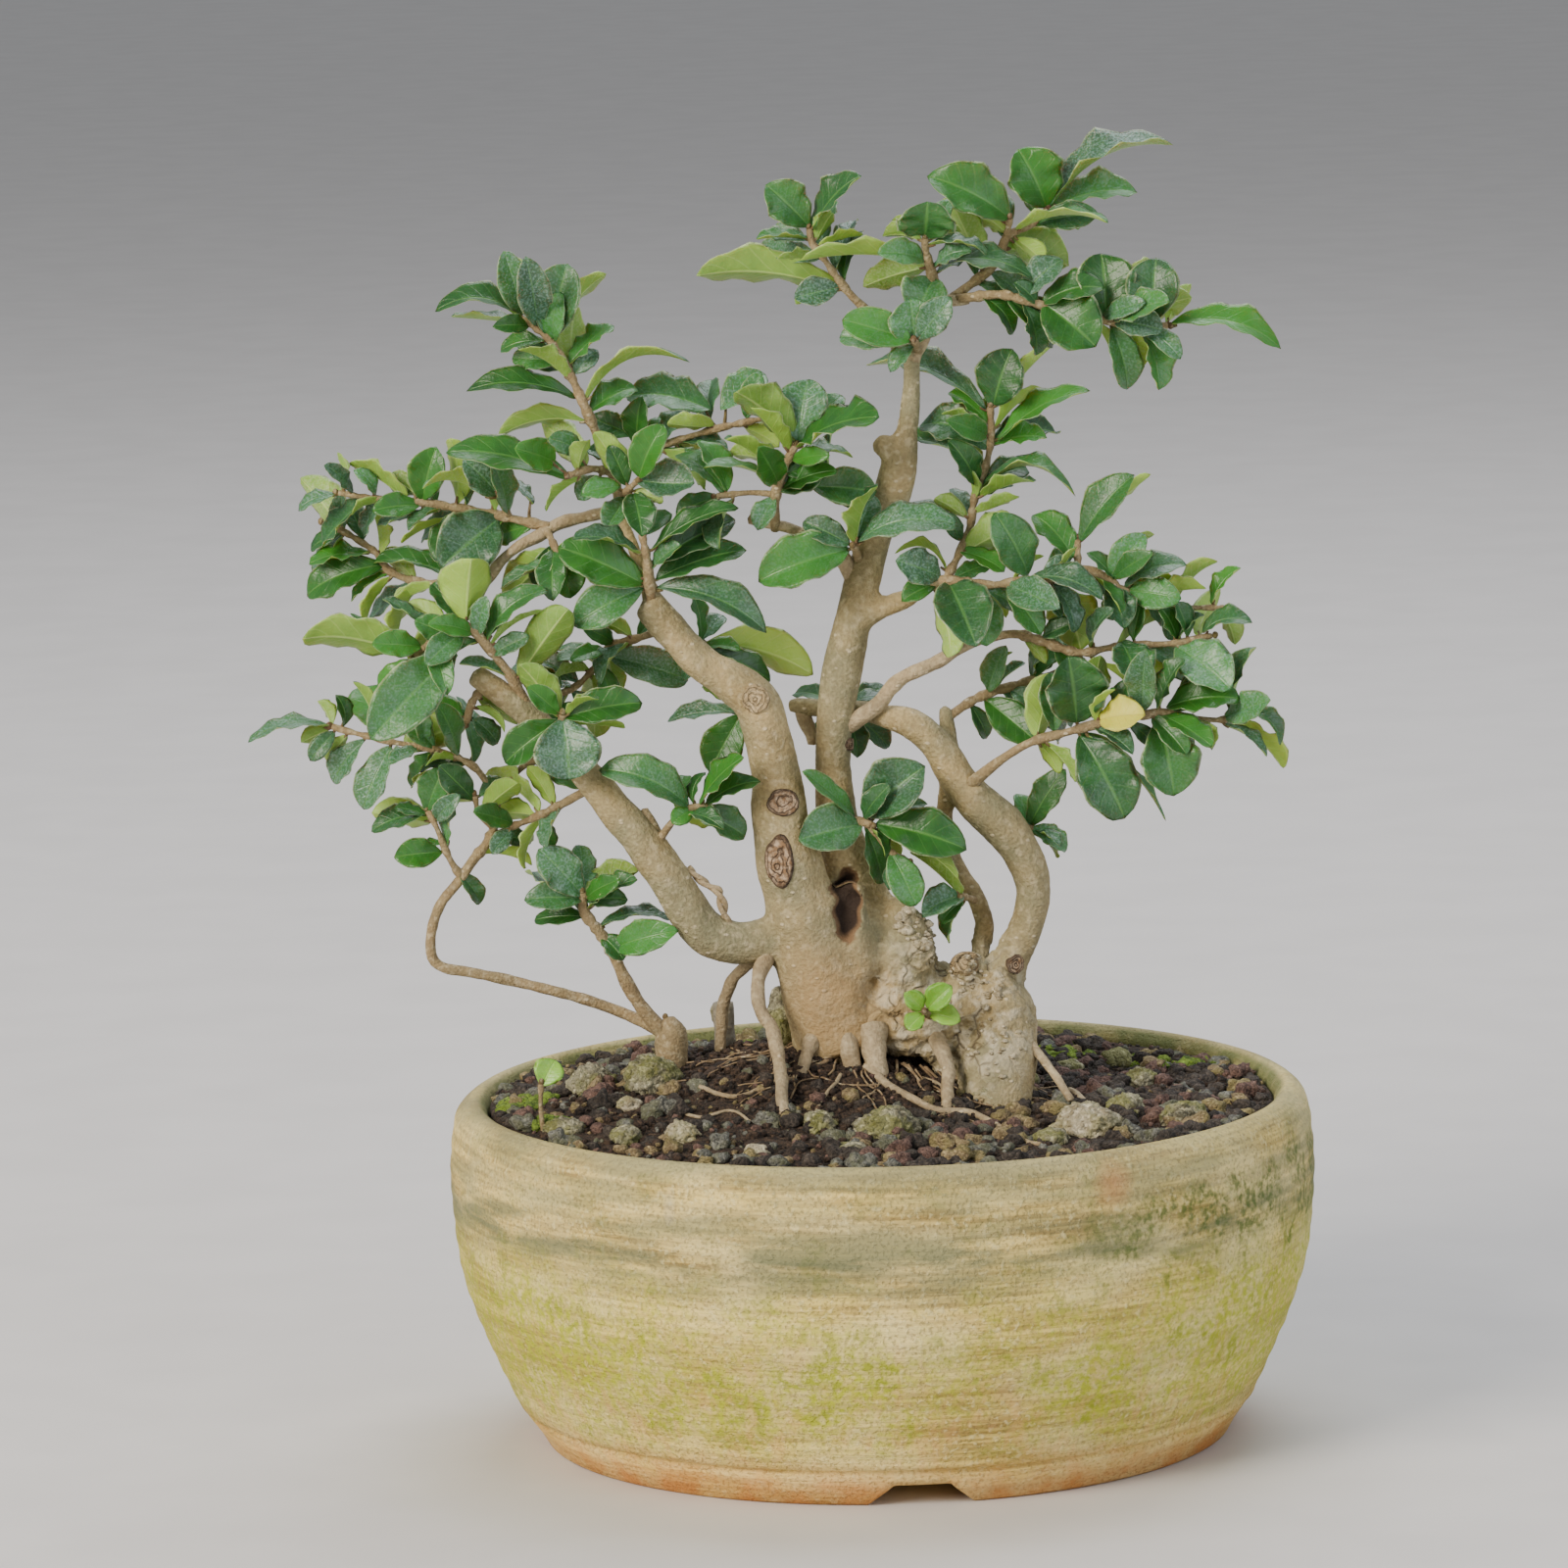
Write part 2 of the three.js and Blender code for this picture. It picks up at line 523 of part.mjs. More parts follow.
const SPRAYS = [
  { name: "tip_left_spray", twigs: [[
    [-39.5, 245, 0, 3], [-43.5, 256, -2, 2.8], [-47.5, 266, -4, 2.4], [-50.5, 273, -5, 2.2],
    [-54.7, 280.5, -6, 1.8], [-58, 283.5, -6, 1.6], [-62, 286.5, -6, 1.4],
  ]], leaves: [
    [-62, 286.5, -83, 290.3, 9, 55, -3, 4], [-60.5, 285, -79.5, 287, 7, 80, 5, 0.5],
    [-54.7, 281, -50, 299.8, 12, 12, -2, 1], [-54.5, 281, -42, 298, 8, 120, 6, 1],
    [-48.5, 266, -75.5, 270.5, 8, 45, -5, 2.5],
    [-46.5, 265.5, -21, 277, 8, 95, -3, 5], [-46, 262, -33.5, 269, 8, 35, 5, 1],
    [-46, 260, -68.5, 257.5, 7, 130, 4, 3],
  ] },
  { name: "upper_left_spray", twigs: [
    [[-39.5, 246.5, 0, 2.4], [-45, 248, -7, 2], [-51, 246.5, -12, 1.6]],
  ], leaves: [
    [-51, 246, -81, 254.7, 10, 40, -4, 2], [-54.5, 250, -63.5, 253.5, 8, 10, -4, 0.5],
    [-47.5, 253, -56, 256, 6, 10, -4, 0.4],
    [-43, 246, -49, 240.5, 6, 15, -3, 0.4],
  ] },
  { name: "upper_centre_left_spray", twigs: [
    [[-39, 246, 1, 2.2], [-34, 251, 5, 2], [-25, 254.2, 6, 1.8], [-13.5, 257.4, 5, 1.7], [-1, 259.8, 4, 1.6]],
    [[-34, 251, 5, 1.8], [-34.3, 256, 4, 1.4]],
  ], leaves: [
    [-34.5, 256, -45.5, 261, 6.5, 15, 2, 0.5],
    [-33.5, 254, -32.5, 265.8, 7, 25, -4, 1], [-14.5, 262, -36, 267, 12, 40, 3, 2],
    [-12.5, 262, -1, 270.8, 9.5, 25, 6, 1.2],
    [-14.2, 258.5, -26, 259.5, 6, 130, -6, -0.8],
  ] },
  { name: "inner_left_spray", twigs: [
    [[-38.5, 241, 0, 2.2], [-37, 241.8, -7, 1.8], [-34, 244.5, -12, 1.6]],
  ], leaves: [
    [-33.5, 245.5, -27.5, 258.5, 8.5, 20, -4, 1], [-36.6, 240.6, -42, 232.5, 6.6, 15, -8, 0.5],
    [-35, 241.5, -33, 231, 8, 15, -4, 0.6], [-34.5, 245, -19.5, 243.8, 10, 25, -5, -1.2],
    [-38, 243.5, -48, 242, 6, 25, -4, 0.4],
  ] },
  { name: "left_crown_spray", twigs: [
    [[-56, 233.5, 0, 3], [-66, 236, 3, 2.6], [-72, 237.5, 4, 2.4], [-80, 239, 5, 2.2], [-88, 240.5, 5, 1.8],
      [-101, 242, 6, 1.5], [-109, 243.5, 7, 1.2]],
    [[-66.5, 236.5, 3, 1.8], [-69, 242, 1, 1.5]],
  ], leaves: [
    [-88, 241, -84.5, 254.3, 9.5, 10, -3, 1],
    [-89, 242.5, -96.5, 247.5, 6, 150, 4, 0.5], [-70.5, 241, -88, 246, 6, 120, -4, 3],
    [-69, 242, -77, 251, 9, 20, 0, 0.5],
    [-88.5, 240, -100.5, 239, 6.5, 20, -5, 0.6],
    [-69, 236, -83.5, 224.5, 15, 5, -9, 1],
    [-60.5, 234, -70, 231.5, 7, 20, -6, 0.5],
    [-80, 237, -94, 231, 6, 100, 4, 0.6],
  ] },
  { name: "far_left_back_spray", twigs: [[
    [-71, 222.5, -1, 2.6], [-79, 219.5, 6, 2.4], [-90, 220.5, 12, 2.2], [-97, 223.5, 14, 2],
    [-100, 228, 15, 1.8], [-107, 233, 16, 1.5], [-113, 236, 17, 1.2],
  ]], leaves: [
    [-103, 231.5, -107, 241.5, 6, 20, 3, 0.5],
    [-98, 225, -118.5, 218.4, 10, 28, 2, 2.5], [-80, 220.8, -100.8, 226.5, 8, 55, 6, 2],
  ] },
  { name: "left_hanging_spray", twigs: [
    [[-57, 233, 0, 2.6], [-55.5, 229.5, -5, 1.9], [-54, 226, -8, 1.5]],
  ], leaves: [
    [-55.8, 229, -57.5, 217.2, 8, 12, -3, 1], [-54, 226.5, -51.3, 215.5, 9, 10, -3, 1],
  ] },
  { name: "left_mid_spray", twigs: [[
    [-61.5, 184.5, -10, 3.6], [-66.5, 195, -12, 2.8], [-71.5, 202, -14, 2.4], [-76, 207.5, -15, 2.2],
    [-80, 209.5, -16, 1.9], [-86, 206, -17, 1.6], [-91, 201.5, -18, 1.4],
  ]], leaves: [
    [-78, 209.5, -76, 226, 13, 160, -6, 1],
    [-73, 205, -58, 218.5, 8, 45, -3, 3],
    [-65.5, 195, -52, 213, 10, 165, -9, 1],
    [-80.5, 203.5, -103, 180.5, 14, 5, -8, 1.5],
    [-91, 201.3, -119, 208.5, 13, 130, -3, 2],
    [-81, 206, -91, 210.5, 6.5, 15, 2, 0.5],
  ] },
  { name: "limb_tip_spray", twigs: [
    [[-73, 194.3, -10, 3], [-77, 189.5, -7, 1.9], [-78.5, 184.5, -5, 1.5]],
  ], leaves: [
    [-78.5, 184, -94.5, 178.8, 10, 155, 3, 1],
    [-75.5, 191, -66, 184.5, 6, 150, 5, 0.5], [-78.8, 186, -88, 190.5, 6, 40, 4, 0.5],
  ] },
  { name: "fork_spray", twigs: [
    [[-31, 212.5, -8, 3.4], [-31.5, 219, -12, 2.6], [-32, 225, -14, 2.2], [-33, 231, -15, 1.8]],
  ], leaves: [
    [-33, 218.5, -54, 228.5, 12, 20, -4, 1.5], [-33.5, 226, -50, 231.6, 7, 60, 2, 1.5],
    [-33, 217.5, -51, 209, 10.5, 15, -4, 1.5], [-31, 227, -9.5, 238.5, 7.5, 55, -5, 1.5],
    [-30, 224, -9.5, 235, 9, 20, 6, 1], [-30, 219.5, -7, 227, 9, 40, -3, 1.2],
    [-30, 217.5, -2, 206.5, 10, 40, -5, 4],
  ] },
  { name: "behind_branch_spray", twigs: [
    [[-27, 207.5, -6, 3], [-34, 205, 5, 2.2], [-41.5, 203, 9, 2.1], [-46, 197.5, 11, 1.9], [-51, 192.8, 12, 1.7],
      [-57, 190.4, 12, 1.4]],
  ], leaves: [
    [-42.5, 200.5, -22, 194, 9.5, 15, 3, 1], [-45, 198.5, -56, 203, 6, 60, 4, 1],
    [-50, 194, -61, 200.5, 7, 20, 4, 1],
    [-35, 205, -26, 213, 6, 40, 6, 0.6], [-52, 192, -47, 184, 6, 30, 4, 0.6],
  ] },
  { name: "limb_underside_spray", twigs: [
    [[-21, 199.5, -7, 3], [-19.5, 202, 1, 2], [-18.3, 203, 7, 1.6]],
  ], leaves: [
    [-18.5, 203.2, 9.3, 195.3, 12, 145, 4, 3.5], [-18, 201.5, -1, 193.5, 7, 30, 5, 1],
    [-19, 203.5, -13, 210.5, 6, 30, 6, 0.4],
  ] },
  { name: "trunk_left_spray", twigs: [[[-4, 187, -5, 3], [-8, 186, 2, 1.8], [-10, 185.5, 6, 1.5]]], leaves: [
    [-9.5, 185.3, -28, 183.7, 6, 50, 4, 1.2],
  ] },
  { name: "limb_upper_spray", twigs: [[[-55.5, 178.5, -10, 3], [-54.5, 184, -15, 1.9], [-54.3, 186, -17, 1.5]]], leaves: [
    [-54.3, 185, -53, 169, 16, 5, -4, 1.5], [-55, 184.5, -69.5, 174, 9, 15, -3, 1],
    [-54, 185, -34.5, 189, 9, 20, -2, 1],
  ] },
  { name: "limb_side_spray", twigs: [
    [[-46.5, 167.5, -9, 3.2], [-55, 163, -5, 2.4], [-61, 160, -3, 2.2], [-68, 157.5, -1, 1.8]],
  ], leaves: [
    [-57, 162.5, -63, 173, 5.5, 150, 3, 0.5],
  ] },
  { name: "limb_mid_spray", twigs: [
    [[-32, 151.5, -10, 3], [-27, 158, -14, 2], [-23, 161, -16, 1.8], [-19, 161.5, -17, 1.4]],
  ], leaves: [
    [-22.8, 161.3, -44.5, 172.5, 10, 30, -3, 4],
    [-18.8, 161.5, -5.3, 168.3, 6.5, 45, -3, 1.5],
  ] },
  { name: "centre_spray", twigs: [
    [[0.5, 231.5, -2, 3], [0.8, 240, -7, 2.6], [3, 247, -10, 2.2], [6, 252.5, -12, 1.8]],
    [[0.7, 240.5, -7, 1.9], [-6, 241, -8, 1.6], [-14, 240.3, -9, 1.4]],
    [[2, 243.5, -8, 1.7], [8, 242, -5, 1.5], [15, 245, -3, 1.2]],
  ], leaves: [
    [6.3, 253, -8.5, 266.5, 11, 145, -6, 2.5], [7, 253.5, 9.5, 269.5, 13, 15, 5, 1],
    [7.5, 253, 18, 266, 8, 25, 9, 0.8], [6.5, 252, 27.5, 259, 13, 60, -5, 2.5],
    [5.5, 249.5, 20.5, 250.5, 8, 70, 3, 1.5], [1.5, 248, -10.5, 251, 8, 120, 8, 1],
    [1.5, 243, -3.5, 252.7, 8, 15, -6, 0.8], [1, 241.5, 12.5, 247, 10, 15, -9, 1],
    [0, 244.5, -17, 248.5, 6, 70, -3, 1.5], [0.7, 240, -4, 231.5, 6, 20, -4, 0.5],
    [-13.5, 240.3, -24.5, 236, 6, 25, 3, 0.5], [-13, 240, -26, 231.5, 7, 20, 5, 0.5],
    [11, 243, 24, 236, 6.5, 30, 8, 0.8],
  ] },
  { name: "leader_left_spray", twigs: [[[21.5, 223, 2, 3], [20.5, 226, -5, 2.2], [20, 227, -9, 1.7]]], leaves: [
    [19, 226, -4, 219.3, 13, 18, -4, 1.5], [21, 227.8, 46.5, 231.6, 10, 40, -5, 5],
  ] },
  { name: "front_spray", twigs: [
    [[15, 155.5, 2, 3], [19, 157, -6, 2.2], [23, 155.8, -10, 1.8]],
    [[22.5, 156, -9.5, 1.7], [27, 149.5, -8, 1.5], [32, 146.5, -7, 1.3]],
  ], leaves: [
    [21.3, 158, 36.5, 170.5, 14, 15, -5, 1.2], [24, 156, 46.8, 149.8, 12, 20, -6, 1.5],
    [20.5, 156, 4.5, 152.3, 12, 15, -6, 1], [23.5, 154.5, 46, 143.4, 7, 120, -2, 1.2],
    [21.5, 155, 25.5, 140.5, 7, 30, 3, 1],
    [19, 158, 5.5, 169.8, 5.5, 40, -1, 0.8],
  ] },
  { name: "leader_back_spray", twigs: [[[15.5, 188, 4, 3], [16.5, 187, 12, 2], [18, 185.5, 17, 1.5]]], leaves: [
    [18, 185, 28, 175.5, 7, 30, 4, 0.6], [17, 186.5, 3.5, 191.5, 6, 40, 5, 0.5],
    [18, 186, 27.5, 191, 6, 40, 6, 0.5], [17.5, 185, 9, 177, 6, 20, 5, 0.6],
  ] },
  { name: "right_limb_spray", twigs: [[[58.5, 151.5, 0, 3], [62, 153.7, 4, 1.9], [63.5, 154, 7, 1.5]]], leaves: [
    [63, 154, 73, 148.5, 6, 30, 3, 1.2], [63, 154.2, 60, 163, 5.5, 30, 4, 0.6],
  ] },
  { name: "inner_limb_spray", twigs: [[[49.5, 135.5, 9, 3], [47, 136.5, 3, 1.8], [45.5, 136.8, 0, 1.5]]], leaves: [
    [46, 136.8, 35.5, 132.6, 8, 35, -2, 1.5],
  ] },
  { name: "spur_spray", twigs: [
    [[42.5, 182.5, 5.5, 3], [50, 187.3, 9, 2.4], [58, 190, 10, 2.2], [65, 192, 11, 2], [73, 194, 12, 1.5]],
  ], leaves: [
    [57, 189, 66.5, 181, 6, 35, 4, 0.6], [66, 191.5, 75.5, 180, 6, 40, 4, 0.6],
    [72, 194, 81, 188.5, 6, 35, 4, 0.6],
  ] },
  { name: "right_low_spray", twigs: [
    [[47, 164.5, -2, 4.4], [56, 171.5, -9, 2.8], [64, 176, -13, 2.5], [72, 178, -16, 2.4], [80, 180, -18, 2.2],
      [92, 182, -18, 2], [97, 182.8, -17, 1.9], [104, 181.3, -16, 1.8], [112, 180.5, -15, 1.7],
      [117.5, 182.5, -14, 1.4]],
  ], leaves: [
    [75.5, 180.5, 73.5, 197.7, 15, 12, -5, 1], [81, 181, 92.5, 182.4, 9, 25, -7, 1.2],
    [76, 177.5, 87.5, 156.3, 14.5, 12, -6, 1.5],
    [95.8, 180.8, 100, 161.5, 14.5, 12, -5, 1.2], [98, 184, 116.5, 186.5, 10, 40, -5, 1.2],
    [117.5, 182.8, 127.5, 174.5, 6, 50, -2, 2.5],
  ] },
  { name: "right_mid_spray", twigs: [
    [[52, 202.5, -5, 3.2], [60, 203.6, -7, 2.6], [66, 202, -9, 2.4], [76, 198.5, -10, 2.2], [84, 199.5, -10, 2.1],
      [92, 200, -10, 1.9], [101, 200.3, -10, 1.8], [110, 202, -10, 1.5]],
  ], leaves: [
    [67, 202.5, 75.5, 206, 5.5, 30, -3, 0.4], [87, 201, 91.5, 189.8, 10.5, 20, -6, 0.8],
    [86, 198, 98.5, 190.5, 7, 130, 4, 0.6],
    [100.8, 199.5, 114.5, 188.3, 12.5, 18, -7, 1],
    [101, 201.5, 97, 210, 6.5, 45, -3, 0.5], [104, 201.8, 100.8, 210.8, 6, 40, 4, 0.5],
    [107.5, 202.8, 119.8, 206, 7.5, 55, -3, 2],
    [74, 199, 77, 189, 6, 30, 5, 0.5],
  ] },
  { name: "right_upper_spray", twigs: [
    [[36, 215, -1.5, 4], [43, 217.6, -7, 2.6], [54, 216.2, -10, 2.2], [62, 217, -11, 2.2], [70, 217.5, -11, 2.2],
      [78, 219.7, -9, 2.4], [84, 216.8, -8, 2.4], [88, 214, -8, 2], [98, 209.8, -6, 1.6], [113, 209, -4, 1.3]],
    [[43, 217.6, -7, 2.2], [46.5, 224, -4, 2.1], [49.5, 231, 0, 2], [51, 239, 2, 2], [54, 247, 3, 1.9],
      [55.3, 254, 3, 1.8], [55.3, 261, 3, 1.6]],
    [[76.5, 219.5, -9, 1.8], [76.5, 227, -7, 1.5]],
  ], leaves: [
    [43.8, 217, 50.5, 200.5, 14, 12, -6, 1.2], [40, 216.5, 45, 198, 10, 140, 4, 1],
    [42, 218.5, 31, 223, 9, 15, -6, 0.6], [41, 217, 32, 213, 6, 25, -4, 0.5],
    [46.5, 225, 58, 219.5, 6.5, 45, -5, 1],
    [45, 218, 55, 221.5, 5.5, 40, 3, 0.6], [64, 218.5, 56.5, 234, 11, 18, -7, 1],
    [53, 215, 63, 209.3, 6.5, 30, -6, 0.6], [58.5, 215.5, 67, 203.3, 8, 25, -3, 0.6],
    [70, 216.3, 77.5, 199.8, 13.5, 150, 4, 1.2], [64.5, 217.6, 82.5, 213, 8, 45, -6, 2.5],
    [84.3, 215.5, 88, 204.5, 8, 18, -3, 0.6], [50.5, 235, 62, 239.3, 6, 115, -4, -0.8],
    [51, 238.5, 60.5, 242.5, 6.5, 40, 4, 0.6],
    [56, 261.5, 60.5, 275.5, 12, 15, -3, 1], [56.3, 261, 71.3, 277, 5.5, 115, 2, 0.6],
    [54.3, 260.5, 24.3, 272.3, 10, 50, 8, 5.5], [54.8, 251, 37.5, 258, 11.5, 30, 4, 3.5],
    [53.5, 246.5, 29, 253, 7, 55, 7, 3], [52, 240.5, 76.3, 239.3, 8, 70, -3, 7],
    [56.5, 252.5, 79, 266.6, 9.5, 60, -4, 1.5], [77, 226.5, 91, 243.3, 10, 35, -3, 2],
    [77, 226.5, 95.3, 243.3, 6, 115, 3, 1], [75.5, 222.5, 65.5, 234, 9, 30, 5, 1.5],
    [88, 214.8, 103.8, 220.3, 9, 50, -3, 2.5],
  ] },
  { name: "apex_left_spray", twigs: [
    [[28.5, 283, 2, 3.2], [22, 289, 0, 2.4], [18, 294, -1, 2], [14, 300, -2, 1.7], [11.5, 303.5, -2, 1.5],
      [10.8, 307, -2, 1.4]],
  ], leaves: [
    [10.8, 307.5, 0.3, 318.4, 11, 15, -3, 1],
    [19, 291.5, -17.8, 296.2, 11, 135, -4, 4],
  ] },
  { name: "apex_mid_spray", twigs: [
    [[41.8, 291, 1.5, 2.8], [41, 296, -2, 2.2], [39.8, 301.5, -5, 1.7], [39.7, 304, -6, 1.5]],
  ], leaves: [
    [39.7, 304.5, 40.5, 313.3, 14, 0, -7, 1.2], [39, 303.5, 29.5, 305.5, 6.5, 125, 5, 1],
    [40.5, 302.5, 55.5, 301, 6.5, 70, -3, 1.5],
    [41.5, 297.5, 66.7, 295, 9, 50, -3, 3], [41.8, 294, 37, 284.8, 11.5, 10, -6, 0.8],
    [39.5, 298.5, 8.5, 299, 9, 100, -5, 2], [40, 297, 24, 292.5, 8.5, 145, -5, 0.8],
    [42.5, 295.5, 52.5, 299.5, 6, 60, 4, 0.6],
  ] },
  { name: "apex_leader_leaf", twigs: [[[37.5, 276, 1, 3], [37, 277.3, -5, 1.9], [36.5, 278.5, -8, 1.5]]], leaves: [
    [36.5, 277.5, 35.5, 289, 12, 8, -3, 0.8],
  ] },
  { name: "apex_right_spray", twigs: [
    [[45, 288, 2, 3.2], [52, 293, 5, 2.4], [57.5, 297.5, 6, 2.2], [60.3, 304, 6, 2], [66, 306.5, 7, 1.8],
      [70.3, 310.5, 8, 1.6]],
    [[60.3, 304, 6, 1.8], [61, 308.5, 3, 1.5]],
  ], leaves: [
    [61, 308.5, 40.8, 319.7, 13, 20, -5, 3], [60.3, 305, 53.8, 310, 8, 140, -4, 0.6],
    [62, 305.5, 85.5, 308.5, 8, 90, -6, 2.5],
    [70.2, 311, 63.5, 325.8, 14.5, 18, -2, 1.5], [70.8, 311, 101.3, 328, 12, 65, 3, 5],
    [70.8, 310.5, 93, 315.8, 10, 42, -6, 1.8], [59.5, 301.5, 75.5, 296.5, 13, 155, 3, 1],
  ] },
  { name: "apex_far_right_spray", twigs: [
    [[47.5, 288.6, 2, 3.2], [58, 289.5, -3, 2.4], [64, 288, -4, 2.2], [75, 284.6, -4, 2], [86, 282, -4, 1.9],
      [93, 280.6, -4, 1.9], [100, 280.6, -4, 1.7]],
  ], leaves: [
    [53, 289.5, 61.7, 279.7, 6.5, 40, -5, 2],
    [69, 287, 82, 276, 14.5, 12, -5, 1.2], [84.8, 283, 83.7, 299.3, 14, 8, 4, 1],
    [96.5, 281.8, 97.3, 297.7, 13, 10, 3, 1], [86.8, 282, 99, 279.3, 8, 20, -5, 1],
    [100.5, 281, 128.7, 276, 10, 48, -4, 4],
  ] },
  { name: "trunk_sprout", twigs: [[[37, 106, -11, 2.2], [36, 107, -17, 1.7], [35.6, 107.5, -19, 1.5]]], leaves: [
    [35.2, 108, 30.5, 112.5, 5, 15, -2, 0.3], [35.2, 107, 31, 102.8, 5, 20, -2, 0.3],
    [36.2, 108, 42.5, 114, 6.5, 15, -2, 0.5], [36.3, 107, 44.5, 105, 5.5, 25, -3, 0.4],
  ] },
];

// The suckering stem at the left: a knob on the soil, an upright shoot and a long thin branch

const SIDE_STEM = { name: "side_stem", twigs: [
  [[-29, 92, -2, 8], [-29, 99, -2, 9], [-29, 104, -2, 8], [-30, 107, -2, 4.5]],
  [[-29.5, 102, -2, 5], [-36, 110, -3, 4.2], [-40, 117, -4, 4], [-43, 124, -5, 3.4], [-46.5, 130, -6, 3.2],
    [-50, 135, -7, 2.6], [-50.5, 140, -8, 1.8]],
  [[-30, 103.5, -2, 4.4], [-40, 108.5, 2, 3.4], [-50, 112.5, 2, 3.2], [-60, 115.5, 1, 3.2], [-70, 118.2, 0, 3.2],
    [-80, 120.5, 0, 3.2], [-86, 121.7, 0, 3.2], [-89, 124.5, 0, 3.1], [-89, 131, 0, 3.1], [-86.5, 138, 0, 3.1],
    [-82, 143.5, 0, 3.1], [-78, 149, 0, 3], [-74, 154, 0, 2.9], [-72, 159, 0, 2.8], [-71.5, 166, 0, 2.5]],
  [[-71.5, 164.5, 0, 2.2], [-76, 172, -2, 1.9], [-81, 175.5, -3, 1.8], [-88, 178, -4, 1.7], [-98, 180, -5, 1.6],
    [-109, 183, -5, 1.5], [-112.5, 184.2, -5, 1.4]],
  [[-71.5, 164.5, 0, 2.2], [-65, 172.5, 3, 1.8], [-58.5, 175, 5, 1.5]],
  [[-81, 144.8, 0, 2], [-84, 150, -2, 1.7], [-87, 158, -3, 1.6], [-89, 162, -3, 1.4]],
  [[-72.5, 157, 0, 2], [-76, 161, -2, 1.6], [-77, 165.5, -3, 1.3]],
], leaves: [
  [-50.5, 139.5, -61, 151.5, 10, 15, -4, 1], [-50.2, 138.5, -65, 139, 7.5, 20, -4, 1],
  [-49, 134, -63, 133.5, 6, 40, 4, 0.6], [-50.3, 140, -36, 145.5, 8, 145, 4, 1],
  [-50, 138, -39, 138.5, 6, 30, 3, 0.5], [-50.5, 140, -51, 152.5, 7, 30, 3, 0.5],
  [-47, 131, -28, 133.5, 6, 60, 3, 2.5], [-46, 129, -40.5, 122.5, 7, 30, 3, 0.5],
  [-43.5, 125.5, -27.5, 130, 8.5, 15, -4, 1.5],
  [-89.2, 162, -84.5, 173, 8, 15, -2, 1],
  [-89.2, 161.5, -103.5, 158, 7, 40, -3, 1],
  [-76.5, 151, -63, 147.5, 6, 110, 4, 1.5],
  [-112.5, 184.2, -134, 181.6, 6.5, 60, -3, 2.5],



] };

// A seedling weed that stands by itself in the soil

const SEEDLING = { name: "weed_seedling", twigs: [
  [[-61.5, 74, -38, 1.6], [-62.5, 84, -38, 1.4], [-62.3, 91, -38, 1.3]],
], leaves: [
  [-62.2, 90.5, -58.5, 97.5, 7.5, 5, 2, 0.3],

] };

const CUT_STUB = [[-15, 94, 12, 6], [-15.4, 104, 12, 5.4], [-15.6, 111, 12, 5.2]];

// Placing the leaves clear of wood and of other sprays

const LEAFY = [SIDE_STEM, ...SPRAYS, SEEDLING];

function takenPlaces() {
  const taken = [];
  const woody = [...TRUNK_LIMBS.map(({ rows }) => rows), ...ROOTS, CUT_STUB];
  for (const rows of woody) {
    for (const ball of limbBalls(rows)) taken.push({ ...ball, owner: "wood" });
  }
  for (const spray of LEAFY) {
    for (const rows of spray.twigs) {
      for (const ball of limbBalls(rows.slice(1))) taken.push({ ...ball, owner: spray.name });
    }
  }
  return taken;
}

/** Leans each leaf forward or back, by as little as clears what is already placed. */
function placeLeaves() {
  const taken = takenPlaces();
  for (const spray of LEAFY) {
    spray.placed = spray.leaves.map((row) => {
      let best = null;
      for (let step = 0; step <= 2 * LEAN_STEPS; step += 1) {
        const extra = (step % 2 ? -1 : 1) * Math.ceil(step / 2) * LEAN_STEP;
        const leaf = placedLeaf(spray, row, extra);
        const balls = leafBalls(leaf);
        const crowd = crowding(leaf, balls, taken, spray.name);
        if (!best || crowd < best.crowd) best = { crowd, leaf, balls };
        if (crowd === 0) break;
      }
      for (const point of best.balls) taken.push({ point, radius: 0, owner: spray.name });
      return best.leaf;
    });
  }
}

/** A spray's twigs and leaves in one solid. */
function spraySolid(spray, grow = 0) {
  const solids = spray.twigs.map((rows) => limb(rows, rows[0][3] > 4 ? 7 : TWIG_SIDES, grow));
  for (const leaf of spray.placed) solids.push(leafSolid(leaf, grow));
  return joined(solids).simplify(SLIVER);
}

function boxesMeet(a, b) {
  return [0, 1, 2].every((i) => a.min[i] < b.max[i] + GAP && b.min[i] < a.max[i] + GAP);
}

// The assembly

const COLOURS = {
  pot: [0xb3a377, 0.92], soil: [0x3b2f25, 1], wood: [0x9c8563, 0.85], leaf: [0x3f6b2c, 0.5],
  paleLeaf: [0x86a83e, 0.5], stone: [0x8d8a6c, 0.95],
};

const bonsai = new THREE.Group();

function addPiece(name, solid, [colour, roughness]) {
  const material = new THREE.MeshStandardMaterial({ color: colour, roughness, metalness: 0 });
  const mesh = new THREE.Mesh(geometryOf(solid), material);
  mesh.name = name;
  bonsai.add(mesh);
}

placeLeaves();

const wood = largest(woodSolid()).simplify(0.12);
const grownWood = woodSolid(GAP);
const stub = limb(CUT_STUB, 7);
const grownStones = STONES.map((row) => stone(row, GAP));

const sprays = [];
for (const spray of LEAFY) {
  const whole = spraySolid(spray);
  const box = whole.boundingBox();
  let solid = whole.subtract(grownWood);
  for (const earlier of sprays) {
    if (boxesMeet(box, earlier.box) && solid.intersect(earlier.solid).volume() > 0) {
      solid = solid.subtract(spraySolid(earlier.spray, GAP));
    }
  }
  sprays.push({ spray, solid: largest(solid.simplify(SLIVER)), box });
}

